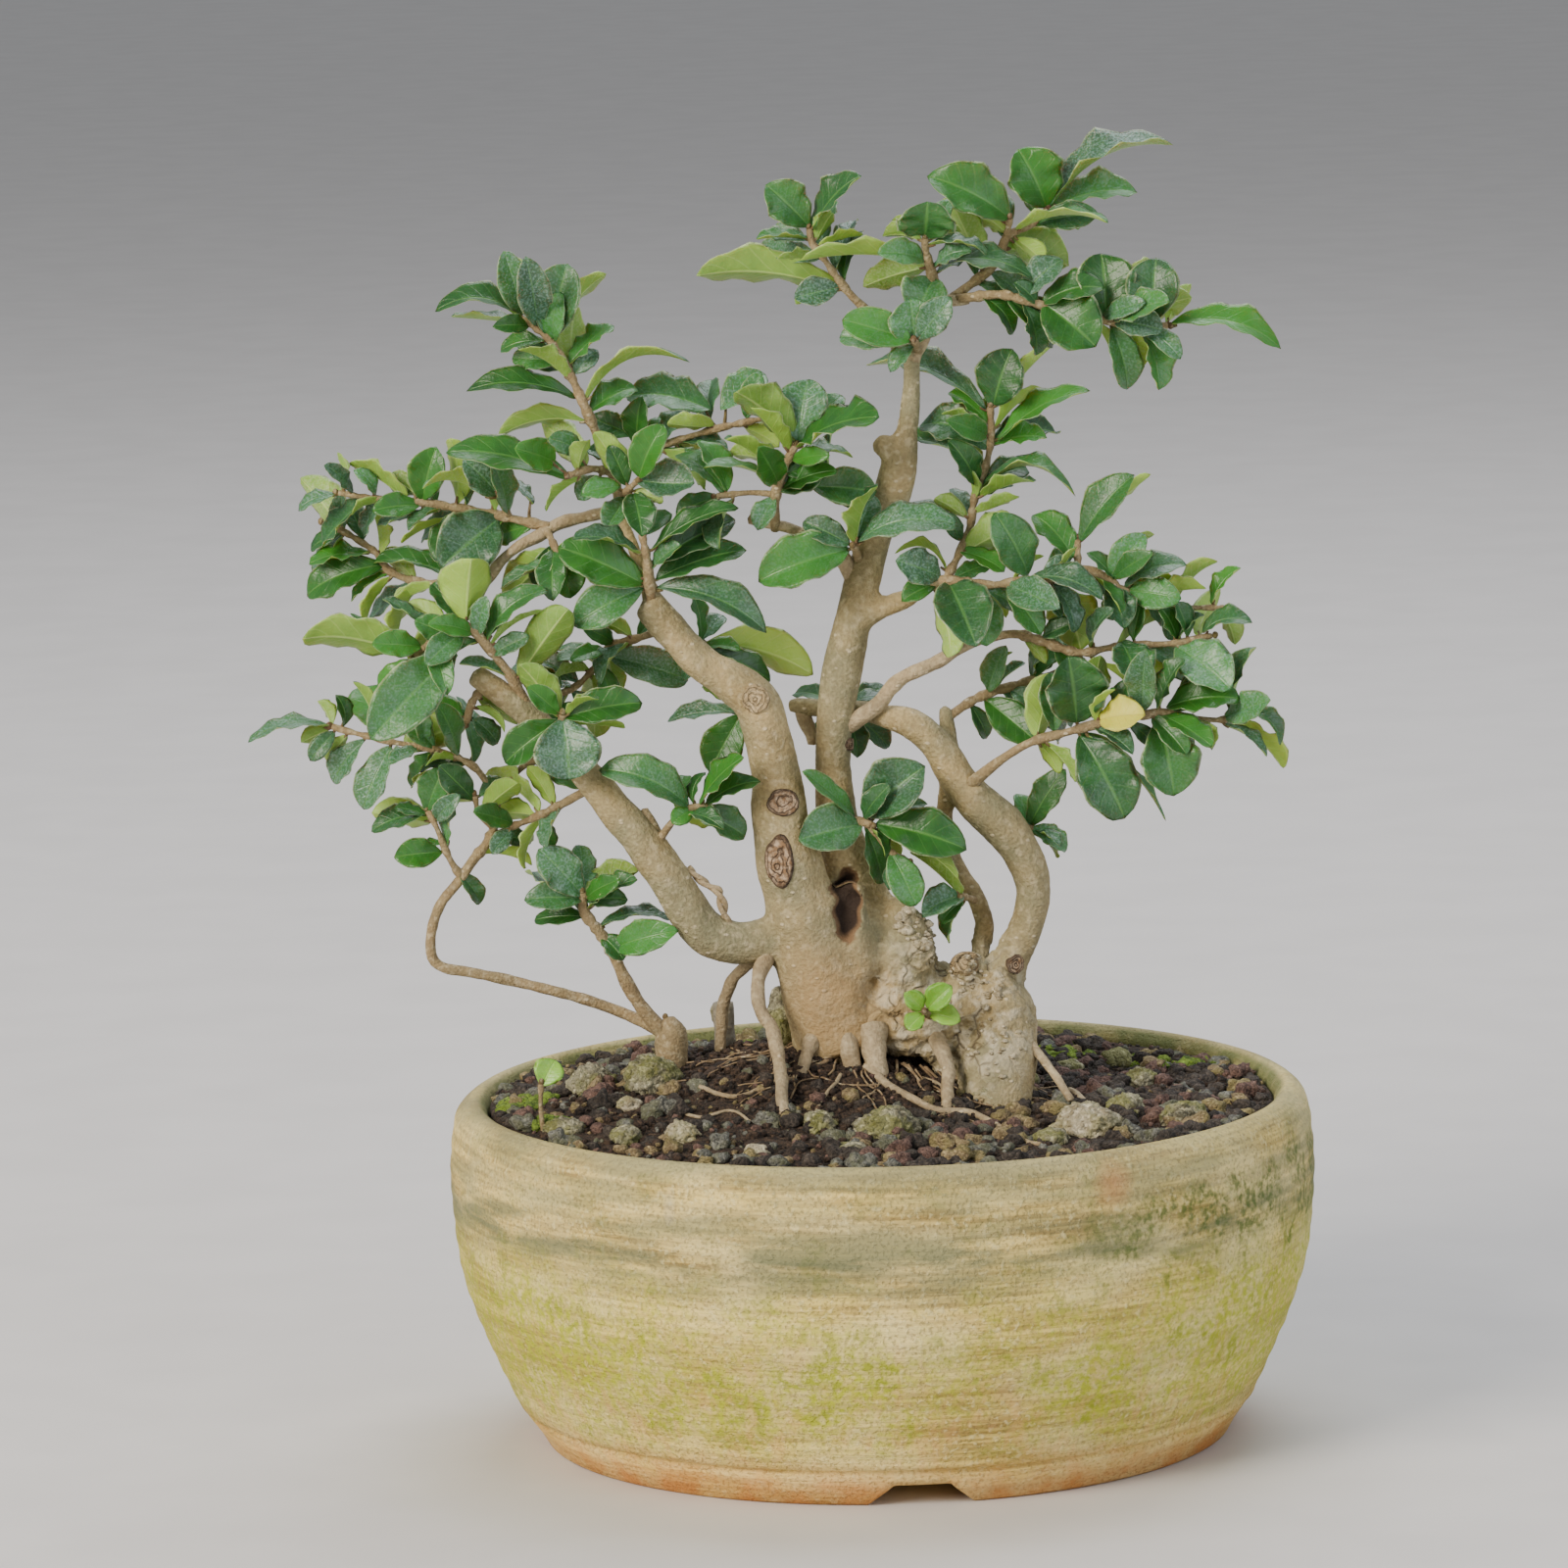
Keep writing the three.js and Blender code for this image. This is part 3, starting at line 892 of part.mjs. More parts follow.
let soil = soilSolid();
for (const cutter of [grownWood, limb(CUT_STUB, 7, GAP), ...grownStones]) soil = soil.subtract(cutter);
for (const spray of [SIDE_STEM, SEEDLING]) {
  for (const rows of spray.twigs) soil = soil.subtract(limb(rows, rows[0][3] > 4 ? 7 : TWIG_SIDES, GAP));
}

addPiece("pot", potSolid(), COLOURS.pot);
addPiece("soil", largest(soil).simplify(SLIVER), COLOURS.soil);
addPiece("trunk_and_branches", wood, COLOURS.wood);
addPiece("cut_stub", stub.subtract(grownWood), COLOURS.wood);
STONES.forEach((row, i) => addPiece(`stone_${i + 1}`, largest(stone(row).subtract(grownWood)), COLOURS.stone));
for (const { spray, solid } of sprays) {
  const pale = spray.name === "trunk_sprout" || spray.name === "weed_seedling";
  addPiece(spray.name, solid, pale ? COLOURS.paleLeaf : COLOURS.leaf);
}

export default bonsai;
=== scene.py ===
"""Wild privet bonsai in a round clay pot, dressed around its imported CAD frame.

Lengths in the tables are millimetres, read as the viewer sees them on the upright plane through
the pot's middle. Meshes are made in metres, in the frame's own axes.
"""

import logging
import math
import random
from dataclasses import dataclass, field
from enum import Enum

import bmesh
import bpy
import numpy as np
from mathutils import Matrix, Vector, noise
from mathutils.bvhtree import BVHTree

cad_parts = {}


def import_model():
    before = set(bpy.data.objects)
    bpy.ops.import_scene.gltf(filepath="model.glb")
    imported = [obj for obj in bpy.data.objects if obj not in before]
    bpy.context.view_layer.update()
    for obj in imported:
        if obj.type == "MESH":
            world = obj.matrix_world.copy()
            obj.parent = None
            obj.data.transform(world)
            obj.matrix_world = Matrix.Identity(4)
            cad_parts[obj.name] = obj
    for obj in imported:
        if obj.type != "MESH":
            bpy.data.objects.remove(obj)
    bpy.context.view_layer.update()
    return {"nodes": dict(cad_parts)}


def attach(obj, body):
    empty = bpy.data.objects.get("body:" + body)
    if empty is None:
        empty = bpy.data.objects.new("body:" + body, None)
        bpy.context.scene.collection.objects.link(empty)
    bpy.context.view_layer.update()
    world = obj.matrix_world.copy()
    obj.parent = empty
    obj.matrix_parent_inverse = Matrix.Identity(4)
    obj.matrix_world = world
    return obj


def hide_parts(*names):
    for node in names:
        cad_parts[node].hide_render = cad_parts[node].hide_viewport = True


log = logging.getLogger("bonsai")

Rows = list[list[float]]
Colour = tuple[float, float, float, float]
Tree = bpy.types.NodeTree
Socket = bpy.types.NodeSocket
Piece = bpy.types.Object
Faces = list[tuple[int, ...]]
Form = tuple[np.ndarray, Faces]
Place = tuple[float, float, float]

MM = 0.001
EVEN = (1.0, 1.0, 1.0)
NOISE_SEED = 7

POT_X = 24.0
POT_HEIGHT = 88.0
INSIDE_WALL = 99.0
NOTCH_FROM_FRONT = 4.5
NOTCH_COUNT = 3
NOTCH_BOTTOM = 27.0
NOTCH_TOP = 13.0
NOTCH_HEIGHT = 5.8
DRAIN_HOLE_RADIUS = 9.0
SOIL_EDGE_HEIGHT = 84.3
MOUND_HEIGHT = 15.0
MOUND_X = 6.0
MOUND_LEFT = 42.0
MOUND_RIGHT = 30.0
MOUND_DEPTH = 31.0

# Room round each leaf, and how it leans to find it
EDGE_WAVE = 0.055
KEEL = 0.16
ROOM = 1.55
OWN_ROOM = 1.25
STALK_ROOM = 4.5
STALK_RADII = (0.55, 0.45, 0.3)
SPACING = 2.2
LEAN_STEP = 1.5
LEAN_STEPS = 9

# The photograph's view
VIEW_DISTANCE = 2193.0
VIEW_SLOPE = 0.1507
VIEW_X = 1.2
VIEW_Z = 166.75
TO_VIEWER = np.array([0.0, -0.9888, 0.149])
CAMERA_DISTANCE = 2168.9
CAMERA_ELEVATION = 8.57
CAMERA_ROLL = -1.36
CAMERA_LENS = 197.0
CAMERA_SENSOR = 36.0


# Tables, the same as the CAD source's



TRUNK_LIMBS = [
  [
    [14, 100, -4, 24], [11, 112, -5, 22], [8, 124, -6, 20], [5, 136, -7, 17.5], [2, 147, -8, 15],
    [0, 158, -8, 12.5], [-0.5, 168, -8, 11.5], [-3, 180, -8, 11], [-5.5, 188, -8, 10.8],
    [-12, 193.5, -8, 9], [-19, 198, -8, 8], [-26, 206, -8, 7.8], [-32, 213.5, -8, 7.4],
  ],
  [
    [22, 100, 4, 26], [22, 118, 4, 24], [20, 132, 3, 18], [17, 145, 3, 12], [14.5, 158, 3, 9.5],
    [13.5, 170, 3, 8.5], [14, 180, 3, 8.2], [15.5, 190, 3, 8.5], [17.5, 200, 3, 8.8], [20, 210, 3, 8.6],
    [23, 220, 3, 8], [26, 230, 3, 7.6], [30, 240, 2, 8.4], [32.5, 250, 2, 8], [34.3, 256, 2, 5.2],
    [35.5, 266, 2, 4.6], [35.6, 277.5, 2, 4.6],
  ],
  [
    [38, 99, 2, 24], [46, 104, 0, 22], [51, 110, 0, 15], [54.5, 115, 0, 11.5], [58, 121, 0, 9],
    [62, 130, 0, 7.8], [63.5, 139, 0, 7.8], [61, 148, 0, 8.8], [56, 155, 0, 9.8], [50, 161, 0, 10],
    [45, 167, 0, 8.6], [41, 174, 0, 7.6], [37, 179, 0, 7.2], [32, 182, 1, 6.4], [26, 183.8, 4, 5.4],
    [20, 185.2, 9, 5], [10, 186, 12, 4.6], [3, 187, 13, 4],
  ],
  [
    [10, 122, -5, 12], [2, 125.5, -5, 11], [-5, 126.8, -6, 10], [-12, 126.5, -8, 9.4], [-19, 129, -9, 9.6],
    [-24.5, 136, -10, 9.6], [-29, 144.5, -10, 9.6], [-35, 153, -10, 9], [-42, 162, -10, 8.2],
    [-48, 169.5, -10, 7.4], [-56, 179, -10, 6.6], [-63, 186, -10, 6.2], [-70, 192, -10, 6], [-76, 196.5, -10, 5.2],
  ],
  [
    [48, 108, 4, 12], [50, 115, 6, 7], [50, 122, 8, 5.2], [51, 130, 9, 5], [49, 137, 9, 5], [45, 143.5, 8, 4.8],
    [42.5, 150, 7, 4.6], [41.5, 158, 5, 4.6], [43, 168, 2, 5],
  ],
  [[52, 116, -2, 10], [54, 108, -4, 14], [54, 98, -8, 16], [53, 88, -14, 16], [52, 76, -18, 15]],
  [[30, 106, -2, 22], [30, 120, -2, 18], [31, 128, -2, 12], [29, 136, -2, 6]],
  [[20, 118, -8, 9], [18.5, 128, -9.5, 7.4], [17, 140, -9, 6.6]],
  [[26, 104, 10, 20], [25, 94, 10, 22], [24, 82, 8, 16]],
  [[20, 219, 3, 5], [15, 228, -1, 3.2], [8, 230.5, -2, 2.8], [0, 232.6, -2, 2.8], [-6, 234.2, -2, 2.6]],
  [[20, 208, 3, 7], [28, 211.5, 0, 5.5], [34, 213.5, -1, 4.4], [39, 217, -3, 3.4]],
  [
    [17, 181, 3, 4.6], [24, 185, 0, 4.4], [31, 192.5, -2, 3.8], [41, 197.5, -3, 3.4], [48, 201, -4, 3.2],
    [55, 203.5, -5, 3],
  ],
  [[43, 167, 2, 6], [43, 177, 5, 4.6], [42, 185.5, 6, 4.2]],
  [[-29, 209, -8, 6], [-34, 224, -2, 3.6], [-38, 236, 0, 3.4], [-39.6, 247, 0, 3]],
  [[-38, 237, 0, 3.2], [-46, 236.3, 0, 3], [-54, 234, 0, 3.2], [-60, 231, 0, 3.2],
    [-66, 227.6, -1, 2.8], [-74, 219, -2, 2.6]],
  [[34, 274, 2, 4.4], [31, 279, 2, 3.8], [27.5, 285, 2, 3.4]],
  [[35.6, 274, 2, 4.6], [39, 280, 2, 4], [43, 287.5, 2, 3.6], [50, 288.6, 2, 3]],
  [[42.5, 286, 2, 3], [41.5, 294, 1, 2.4], [39.6, 300, 1, 2.2]],
  [[-31, 152, -8, 5], [-34.5, 161, -9, 2.6]],
  [[6, 186, 13, 4], [9, 177, 13, 3.2]],
]

KNOBS = [
  [-5.5, 189, -12.6, 4.4, 2, 4.4], [0.5, 161, -13.2, 5, 1.8, 4.2], [-0.5, 147, -14.6, 4, 2, 7.4],
  [28, 252, 0, 3.4, 3, 4], [50, 164, -3, 3.6, 3.6, 3.4], [58, 120, -3, 3.2, 3.4, 3.4], [34, 121, -8.5, 7, 5, 6],
  [46, 118, -6, 6, 6, 5],
]

ROOTS = [
  [[-4, 123, -9, 4.4], [-7, 115, -14, 3.6], [-6, 108, -18, 3.6], [-3, 104, -20, 3.6], [-2, 97, -26, 3.5],
    [-1, 88, -38, 3.2], [0, 78, -46, 2.6]],
  [[9, 104, -10, 5], [5, 97, -17, 3.6], [3, 88, -22, 2.6]],
  [[15, 104, -12, 6], [17, 93, -17, 4.4]],
  [[22, 104, -12, 7], [23.5, 90, -20, 5]],
  [[38, 102, -10, 5], [41, 92, -22, 3.6], [40, 78, -36, 3]],
  [[56, 104, -6, 4], [64, 96, -14, 2.4], [72, 84, -24, 2]],
  [[-3, 125, -7, 3], [-12, 118, 2, 3], [-16, 106, 6, 3], [-17, 92, 8, 2.6]],
]

STRAND = [
  [-24, 146, -9, 2.4], [-19, 141.5, -9, 2.4], [-16, 139.5, -10, 2.4], [-14.5, 133, -10, 2.4], [-13, 127.5, -8, 2.4],
]

STONES = [
  [-49.1, 91.1, 12, 10, 0.4], [-34.2, 92, 15, 12, 1.3], [-56.9, 79.4, 10, 6, 2.2], [-41, 77, 8, 6, 0.9],
  [-27, 77, 9, 7, 2.9], [8, 79, 9, 7, 1.9], [25.3, 77.6, 15, 11, 0.2], [76.4, 77, 18, 12, 2.5],
  [90.3, 88.4, 8.5, 7, 1.1], [101.3, 78.4, 12, 9, 0.7], [86.6, 81, 10, 8, 3.3],
]

BURL = [27, 15, 11.5]

CUT_STUB = [[-15, 94, 12, 6], [-15.4, 104, 12, 5.4], [-15.6, 111, 12, 5.2]]


# Details, read from the picture as the tables above are

# Healed cuts: x, z, half width, half height and 0 for dark or 1 for pale
CUT_FACES = [
    [-5.4, 188.6, 4.2, 4.3, 1], [1.0, 162.0, 4.7, 4.0, 0], [-0.6, 146.8, 4.3, 7.6, 0],
    [46.5, 119.8, 4.0, 3.3, 1], [58.8, 119.0, 2.8, 2.8, 0], [19.0, 176.5, 2.0, 1.8, 0],
]

# The hollow between the trunks, painted dark inside as its shade: x, z, half width, half height and depth
HOLLOW = [16.4, 135.2, 3.6, 10.0, 5.0]

# Lime crumbs: x, z, spread, number and largest half size
LIME_PATCHES = [
    [33, 130, 4.5, 26, 1.9], [38, 125.5, 4.5, 34, 2.1], [44.5, 121, 4, 26, 2.0], [50, 113, 6, 22, 1.3],
    [53, 98, 8, 26, 1.0],
]

# Roots that lie on the soil: x, z and thickness of each point
LYING_ROOTS = [
    [[20.3, 92.5, 2.2], [29, 85.6, 2.0], [36.4, 81.7, 1.8], [46.8, 80, 1.8], [55.6, 75.6, 1.6], [64, 71.5, 1.2]],
    [[57, 103, 2.4], [63, 96, 2.0], [69, 89, 1.8], [76.5, 81.5, 1.5]],
    [[-22, 88.5, 1.2], [-14, 86, 1.2], [-6, 89, 1.0], [1, 90.5, 1.0]],
    [[-30, 84, 0.9], [-22, 81, 0.9], [-15, 82.5, 0.8], [-9, 80, 0.7]],
    [[14, 91, 1.0], [10, 86, 0.9], [7, 81, 0.8], [5, 77, 0.7]],
    [[30, 93, 1.4], [35, 90, 1.2], [41, 86, 1.0], [44, 82, 0.8]],
]

# Stones wedged in the mound: x, z, depth (or -999 for on the soil), width, height and finish
WEDGED_STONES = [
    [-0.8, 106.0, -1.0, 8.5, 15, 4], [52, 84.5, -999, 12, 7, 5], [-16.3, 108.2, 14.0, 5, 6, 5],
    [60, 88, -999, 9, 6, 4], [84, 92, -999, 9, 7, 4], [72, 91, -999, 7, 5, 4], [-40, 84.5, -999, 6, 4, 5],
    [16, 71.5, -999, 8, 4, 4], [-8, 71.5, -999, 7, 4, 5], [67, 73, -999, 9, 5, 4],
]

# Moss: x, y, spread and number of cushions
MOSS_PATCHES = [[-66, -10, 7, 60], [-60, -34, 4, 20], [100, 40, 12, 34], [70, 66, 14, 30], [-20, 60, 18, 30],
                [98, -30, 5, 14]]

# Forms of gravel, fine to coarse: half sizes, how finely divided, roughness and shift between forms
FORM_COUNT = 8
GRAVEL_FORMS = [((1, 0.9, 0.8), 1, 0.5, 1.3), ((1, 0.85, 0.75), 2, 0.55, 1.9), ((1, 0.8, 0.72), 3, 0.6, 2.3)]

# Lights: name, place in metres, watts, size in metres and tint
LIGHTS = [
    ("soft_key", (-1.6, -1.65, 1.3), 90.0, 1.2, "fff3e4"),
    ("soft_fill", (1.7, -1.5, 0.9), 21.0, 1.8, "eef3ff"),
    ("top_back", (0.3, 1.0, 2.1), 42.0, 1.6, "f6f8ff"),
]


def srgb(code: str) -> Colour:
    """Turns an sRGB hex colour into the linear colour that shaders use.

    Args:
        code: six hex digits.

    Returns:
        Linear red, green and blue, with alpha 1.
    """
    parts = [int(code[i:i + 2], 16) / 255 for i in (0, 2, 4)]
    linear = [p / 12.92 if p <= 0.04045 else ((p + 0.055) / 1.055) ** 2.4 for p in parts]
    return linear[0], linear[1], linear[2], 1.0


def seen(x: float, z: float, y: float) -> np.ndarray:
    """Places a pick at a depth.

    Args:
        x: where the viewer sees it across the plane through the pot's middle.
        z: its height on that plane.
        y: its real depth, positive away from the viewer.

    Returns:
        The real point, in millimetres.
    """
    spread = 1 + y / VIEW_DISTANCE
    return np.array([VIEW_X + (x - VIEW_X) * spread, y, VIEW_Z + (z - VIEW_Z) * spread - VIEW_SLOPE * y])


def unit(vector: np.ndarray) -> np.ndarray:
    """Scales a vector to length 1."""
    return vector / np.linalg.norm(vector)


def soil_height(x: float, y: float) -> float:
    """Gives the height of the soil mound.

    Args:
        x: the place across, in millimetres.
        y: the place in depth.

    Returns:
        The height in millimetres.
    """
    side = MOUND_LEFT if x < MOUND_X else MOUND_RIGHT
    away = ((x - MOUND_X) / side) ** 2 + (y / MOUND_DEPTH) ** 2
    return SOIL_EDGE_HEIGHT + MOUND_HEIGHT * math.exp(-away / 2)


def on_soil(x: float, z: float) -> np.ndarray:
    """Finds where the line of sight through a pick first meets the soil.

    Args:
        x: the pick's place across.
        z: its height.

    Returns:
        The point in millimetres.
    """
    y = 1.0 - INSIDE_WALL
    while y < INSIDE_WALL - 1.0:
        point = seen(x, z, y)
        if point[2] <= soil_height(point[0], point[1]):
            return point
        y += 0.5
    return seen(x, z, 90.0)


# Meshes


def show(name: str, data: bpy.types.ID) -> Piece:
    """Makes an object and links it to the scene.

    Args:
        name: its name.
        data: its mesh, lamp or camera.

    Returns:
        The object.
    """
    made = bpy.data.objects.new(name, data)
    bpy.context.scene.collection.objects.link(made)
    return made


def worked(piece: Piece) -> bpy.types.Mesh:
    """Gives a piece's mesh as its modifiers leave it."""
    return bpy.data.meshes.new_from_object(piece.evaluated_get(bpy.context.evaluated_depsgraph_get()))


def tie(piece: Piece, node: str) -> Piece:
    """Ties a piece to the frame, on its one body.

    Args:
        piece: the piece.
        node: the solid that it replaces.

    Returns:
        The piece.
    """
    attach(piece, "root")
    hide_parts(node)
    return piece


def spot_round(chance: random.Random, x: float, y: float, reach: float) -> tuple[float, float]:
    """Draws a spot within reach of a point, evenly spread."""
    away, angle = reach * math.sqrt(chance.random()), chance.uniform(0, 2 * math.pi)
    return x + away * math.cos(angle), y + away * math.sin(angle)


def disc_faces(rings: int, spokes: int) -> Faces:
    """Joins the points of a closed disc.

    Args:
        rings: how many rings of points run round its middle point, from the inside out.
        spokes: points in each ring. One more point closes the disc behind the last ring.

    Returns:
        Its faces.
    """
    faces: Faces = [(0, 1 + k, 1 + (k + 1) % spokes) for k in range(spokes)]
    for i in range(rings - 1):
        for k in range(spokes):
            a, b = 1 + i * spokes + k, 1 + i * spokes + (k + 1) % spokes
            faces.append((a, a + spokes, b + spokes, b))
    outer = 1 + (rings - 1) * spokes
    return faces + [(outer + k, outer + spokes, outer + (k + 1) % spokes) for k in range(spokes)]


class Draft:
    """Gathers points, faces, materials and named values, and makes them one object."""

    def __init__(self) -> None:
        """Starts with nothing."""
        self.points: list[np.ndarray] = []
        self.faces: Faces = []
        self.slots: list[int] = []
        self.values: dict[str, list[np.ndarray]] = {}
        self.count = 0

    def add(self, points: np.ndarray, faces: Faces, slot: int | list[int] = 0,
            **values: np.ndarray | float) -> None:
        """Adds one closed shape.

        Args:
            points: its points in millimetres, one a row.
            faces: its faces, each a tuple of point numbers.
            slot: the material's place, one for all faces or one for each.
            values: named values, one for all points or one for each.
        """
        base = self.count
        self.points.append(np.asarray(points, dtype=float))
        self.faces.extend(tuple(base + i for i in face) for face in faces)
        self.slots.extend(slot if isinstance(slot, list) else [slot] * len(faces))
        number = len(points)
        for name in sorted(set(self.values) | set(values)):
            kept = self.values.setdefault(name, [np.zeros(base)] if base else [])
            kept.append(np.broadcast_to(np.asarray(values.get(name, 0.0), dtype=float), (number,)))
        self.count += number

    def limb(self, points: np.ndarray, radii: np.ndarray, step: float, sides: int, slot: int = 0,
             uneven: tuple[float, float] = (0.0, 0.0), wander: tuple[float, float] = (0.0, 0.0)) -> None:
        """Adds a limb: a tube through stations, a little uneven in its thickness and its line.

        Args:
            points: the stations in millimetres, one a row.
            radii: the radius at each.
            step: the distance between its rings.
            sides: points round it.
            slot: the material's place.
            uneven: the share by which its thickness changes, and how fast along it.
            wander: how far its line strays, and how fast along it.
        """
        line, sizes = curve_through(points, radii, step)
        for i, point in enumerate(line):
            sizes[i] *= 1 + uneven[0] * noise.noise(Vector(point) * uneven[1])
            line[i] += np.array(noise.noise_vector(Vector(point) * wander[1])) * wander[0]
        self.add(*tube(line, sizes, sides), slot)

    def make(self, name: str, finishes: list["Finish"], smooth: bool = True) -> Piece:
        """Makes the object.

        Args:
            name: the piece's name.
            finishes: its finishes, in slot order.
            smooth: whether its faces are shaded smooth.

        Returns:
            The object, in metres, linked to the scene.
        """
        mesh = bpy.data.meshes.new(name)
        mesh.from_pydata(np.vstack(self.points) * MM, [], self.faces)
        for finish in finishes:
            mesh.materials.append(Wardrobe.of(finish))
        mesh.polygons.foreach_set("material_index", self.slots)
        for label, parts in self.values.items():
            layer = mesh.attributes.new(label, "FLOAT", "POINT")
            layer.data.foreach_set("value", np.concatenate(parts))
        if smooth:
            mesh.shade_smooth()
        mesh.validate()
        mesh.update()
        return show(name, mesh)


def curve_through(points: np.ndarray, radii: np.ndarray, step: float) -> tuple[np.ndarray, np.ndarray]:
    """Runs a smooth line through stations.

    Args:
        points: the stations, one a row.
        radii: the radius at each.
        step: the wanted distance between the line's points.

    Returns:
        The line's points and their radii.
    """
    padded = np.vstack([2 * points[0] - points[1], points, 2 * points[-1] - points[-2]])
    line, sizes = [points[0]], [radii[0]]
    for i in range(len(points) - 1):
        a, b, c, d = padded[i:i + 4]
        count = max(1, math.ceil(float(np.linalg.norm(c - b)) / step))
        for k in range(1, count + 1):
            t = k / count
            bend = 2 * b + (c - a) * t + (2 * a - 5 * b + 4 * c - d) * t * t + (3 * b - a - 3 * c + d) * t ** 3
            line.append(bend / 2)
            sizes.append(radii[i] + (radii[i + 1] - radii[i]) * t)
    return np.array(line), np.array(sizes)


def tube(points: np.ndarray, radii: np.ndarray, sides: int, dome: float = 0.4) -> Form:
    """Makes a round closed tube with domed ends.

    Args:
        points: the points of its middle line.
        radii: its radius at each.
        sides: points round it.
        dome: how far its ends bulge, as a share of the radius.

    Returns:
        Its points and faces.
    """
    across = np.array([0.31, 0.95, 0.05])
    angles = np.arange(sides) * 2 * math.pi / sides
    rings = []
    last = len(points) - 1
    for i, point in enumerate(points):
        along = unit(points[min(i + 1, last)] - points[max(i - 1, 0)])
        across = unit(across - along * float(across @ along))
        beside = np.cross(along, across)
        rings.append(point + radii[i] * (np.outer(np.cos(angles), across) + np.outer(np.sin(angles), beside)))
    start = points[0] - unit(points[1] - points[0]) * radii[0] * dome
    end = points[-1] + unit(points[-1] - points[-2]) * radii[-1] * dome
    every = np.vstack([*rings, start, end])
    faces: Faces = []
    for i in range(last):
        for k in range(sides):
            a, b = i * sides + k, i * sides + (k + 1) % sides
            faces.append((a, b, b + sides, a + sides))
    first, final = (last + 1) * sides, (last + 1) * sides + 1
    for k in range(sides):
        faces.append((first, (k + 1) % sides, k))
        faces.append((final, last * sides + k, last * sides + (k + 1) % sides))
    return every, faces


def stations(rows: Rows) -> tuple[np.ndarray, np.ndarray]:
    """Gives the points and radii of a limb's rows."""
    points = np.array([seen(x, z, depth) for x, z, depth, _ in rows])
    return points, np.array([row[3] / 2 for row in rows])


def ball(centre: np.ndarray, sizes: Place | np.ndarray, cuts: int, rough: float, seed: float) -> Form:
    """Makes a lumpy ball.

    Args:
        centre: its middle.
        sizes: its three half sizes.
        cuts: how finely it is divided.
        rough: how far its surface goes in and out, as a share of its size.
        seed: shifts the lumps.

    Returns:
        Its points and faces.
    """
    form = bmesh.new()
    bmesh.ops.create_icosphere(form, subdivisions=cuts, radius=1.0)
    points = np.array([vertex.co[:] for vertex in form.verts])
    faces = [tuple(vertex.index for vertex in face.verts) for face in form.faces]
    form.free()
    if rough:
        shift = Vector((seed, seed * 1.7, seed * 0.6))
        for i, point in enumerate(points):
            place = Vector(point)
            coarse = noise.noise(place * 1.3 + shift)
            fine = noise.noise(place * 3.1 + shift)
            points[i] *= 1 + rough * (coarse + 0.5 * fine)
    return points * np.array(sizes) + centre, faces


# Materials


def add(tree: Tree, kind: str, inputs: dict[str | int, object] | None = None, out: int | str = 0,
        stops: tuple[tuple[float, str], ...] = (), **settings: object) -> Socket:
    """Adds one node with its settings and links.

    Args:
        tree: the material's node tree.
        kind: the node's type, without the words that all types share.
        inputs: values, hex colours or other nodes' sockets, by input name or number.
        out: the wanted output's name or number.
        stops: places and hex colours of a colour ramp.
        settings: the node's own properties.

    Returns:
        The wanted output's socket.
    """
    made = tree.nodes.new(f"ShaderNode{kind}")
    for name, value in settings.items():
        setattr(made, name, value)
    while stops and len(made.color_ramp.elements) < len(stops):
        made.color_ramp.elements.new(1.0)
    for i, (place, code) in enumerate(stops):
        made.color_ramp.elements[i].position, made.color_ramp.elements[i].color = place, srgb(code)
    for key, value in (inputs or {}).items():
        if isinstance(value, bpy.types.NodeSocket):
            tree.links.new(value, made.inputs[key])
        else:
            made.inputs[key].default_value = srgb(value) if isinstance(value, str) else value
    return made.outputs[out]


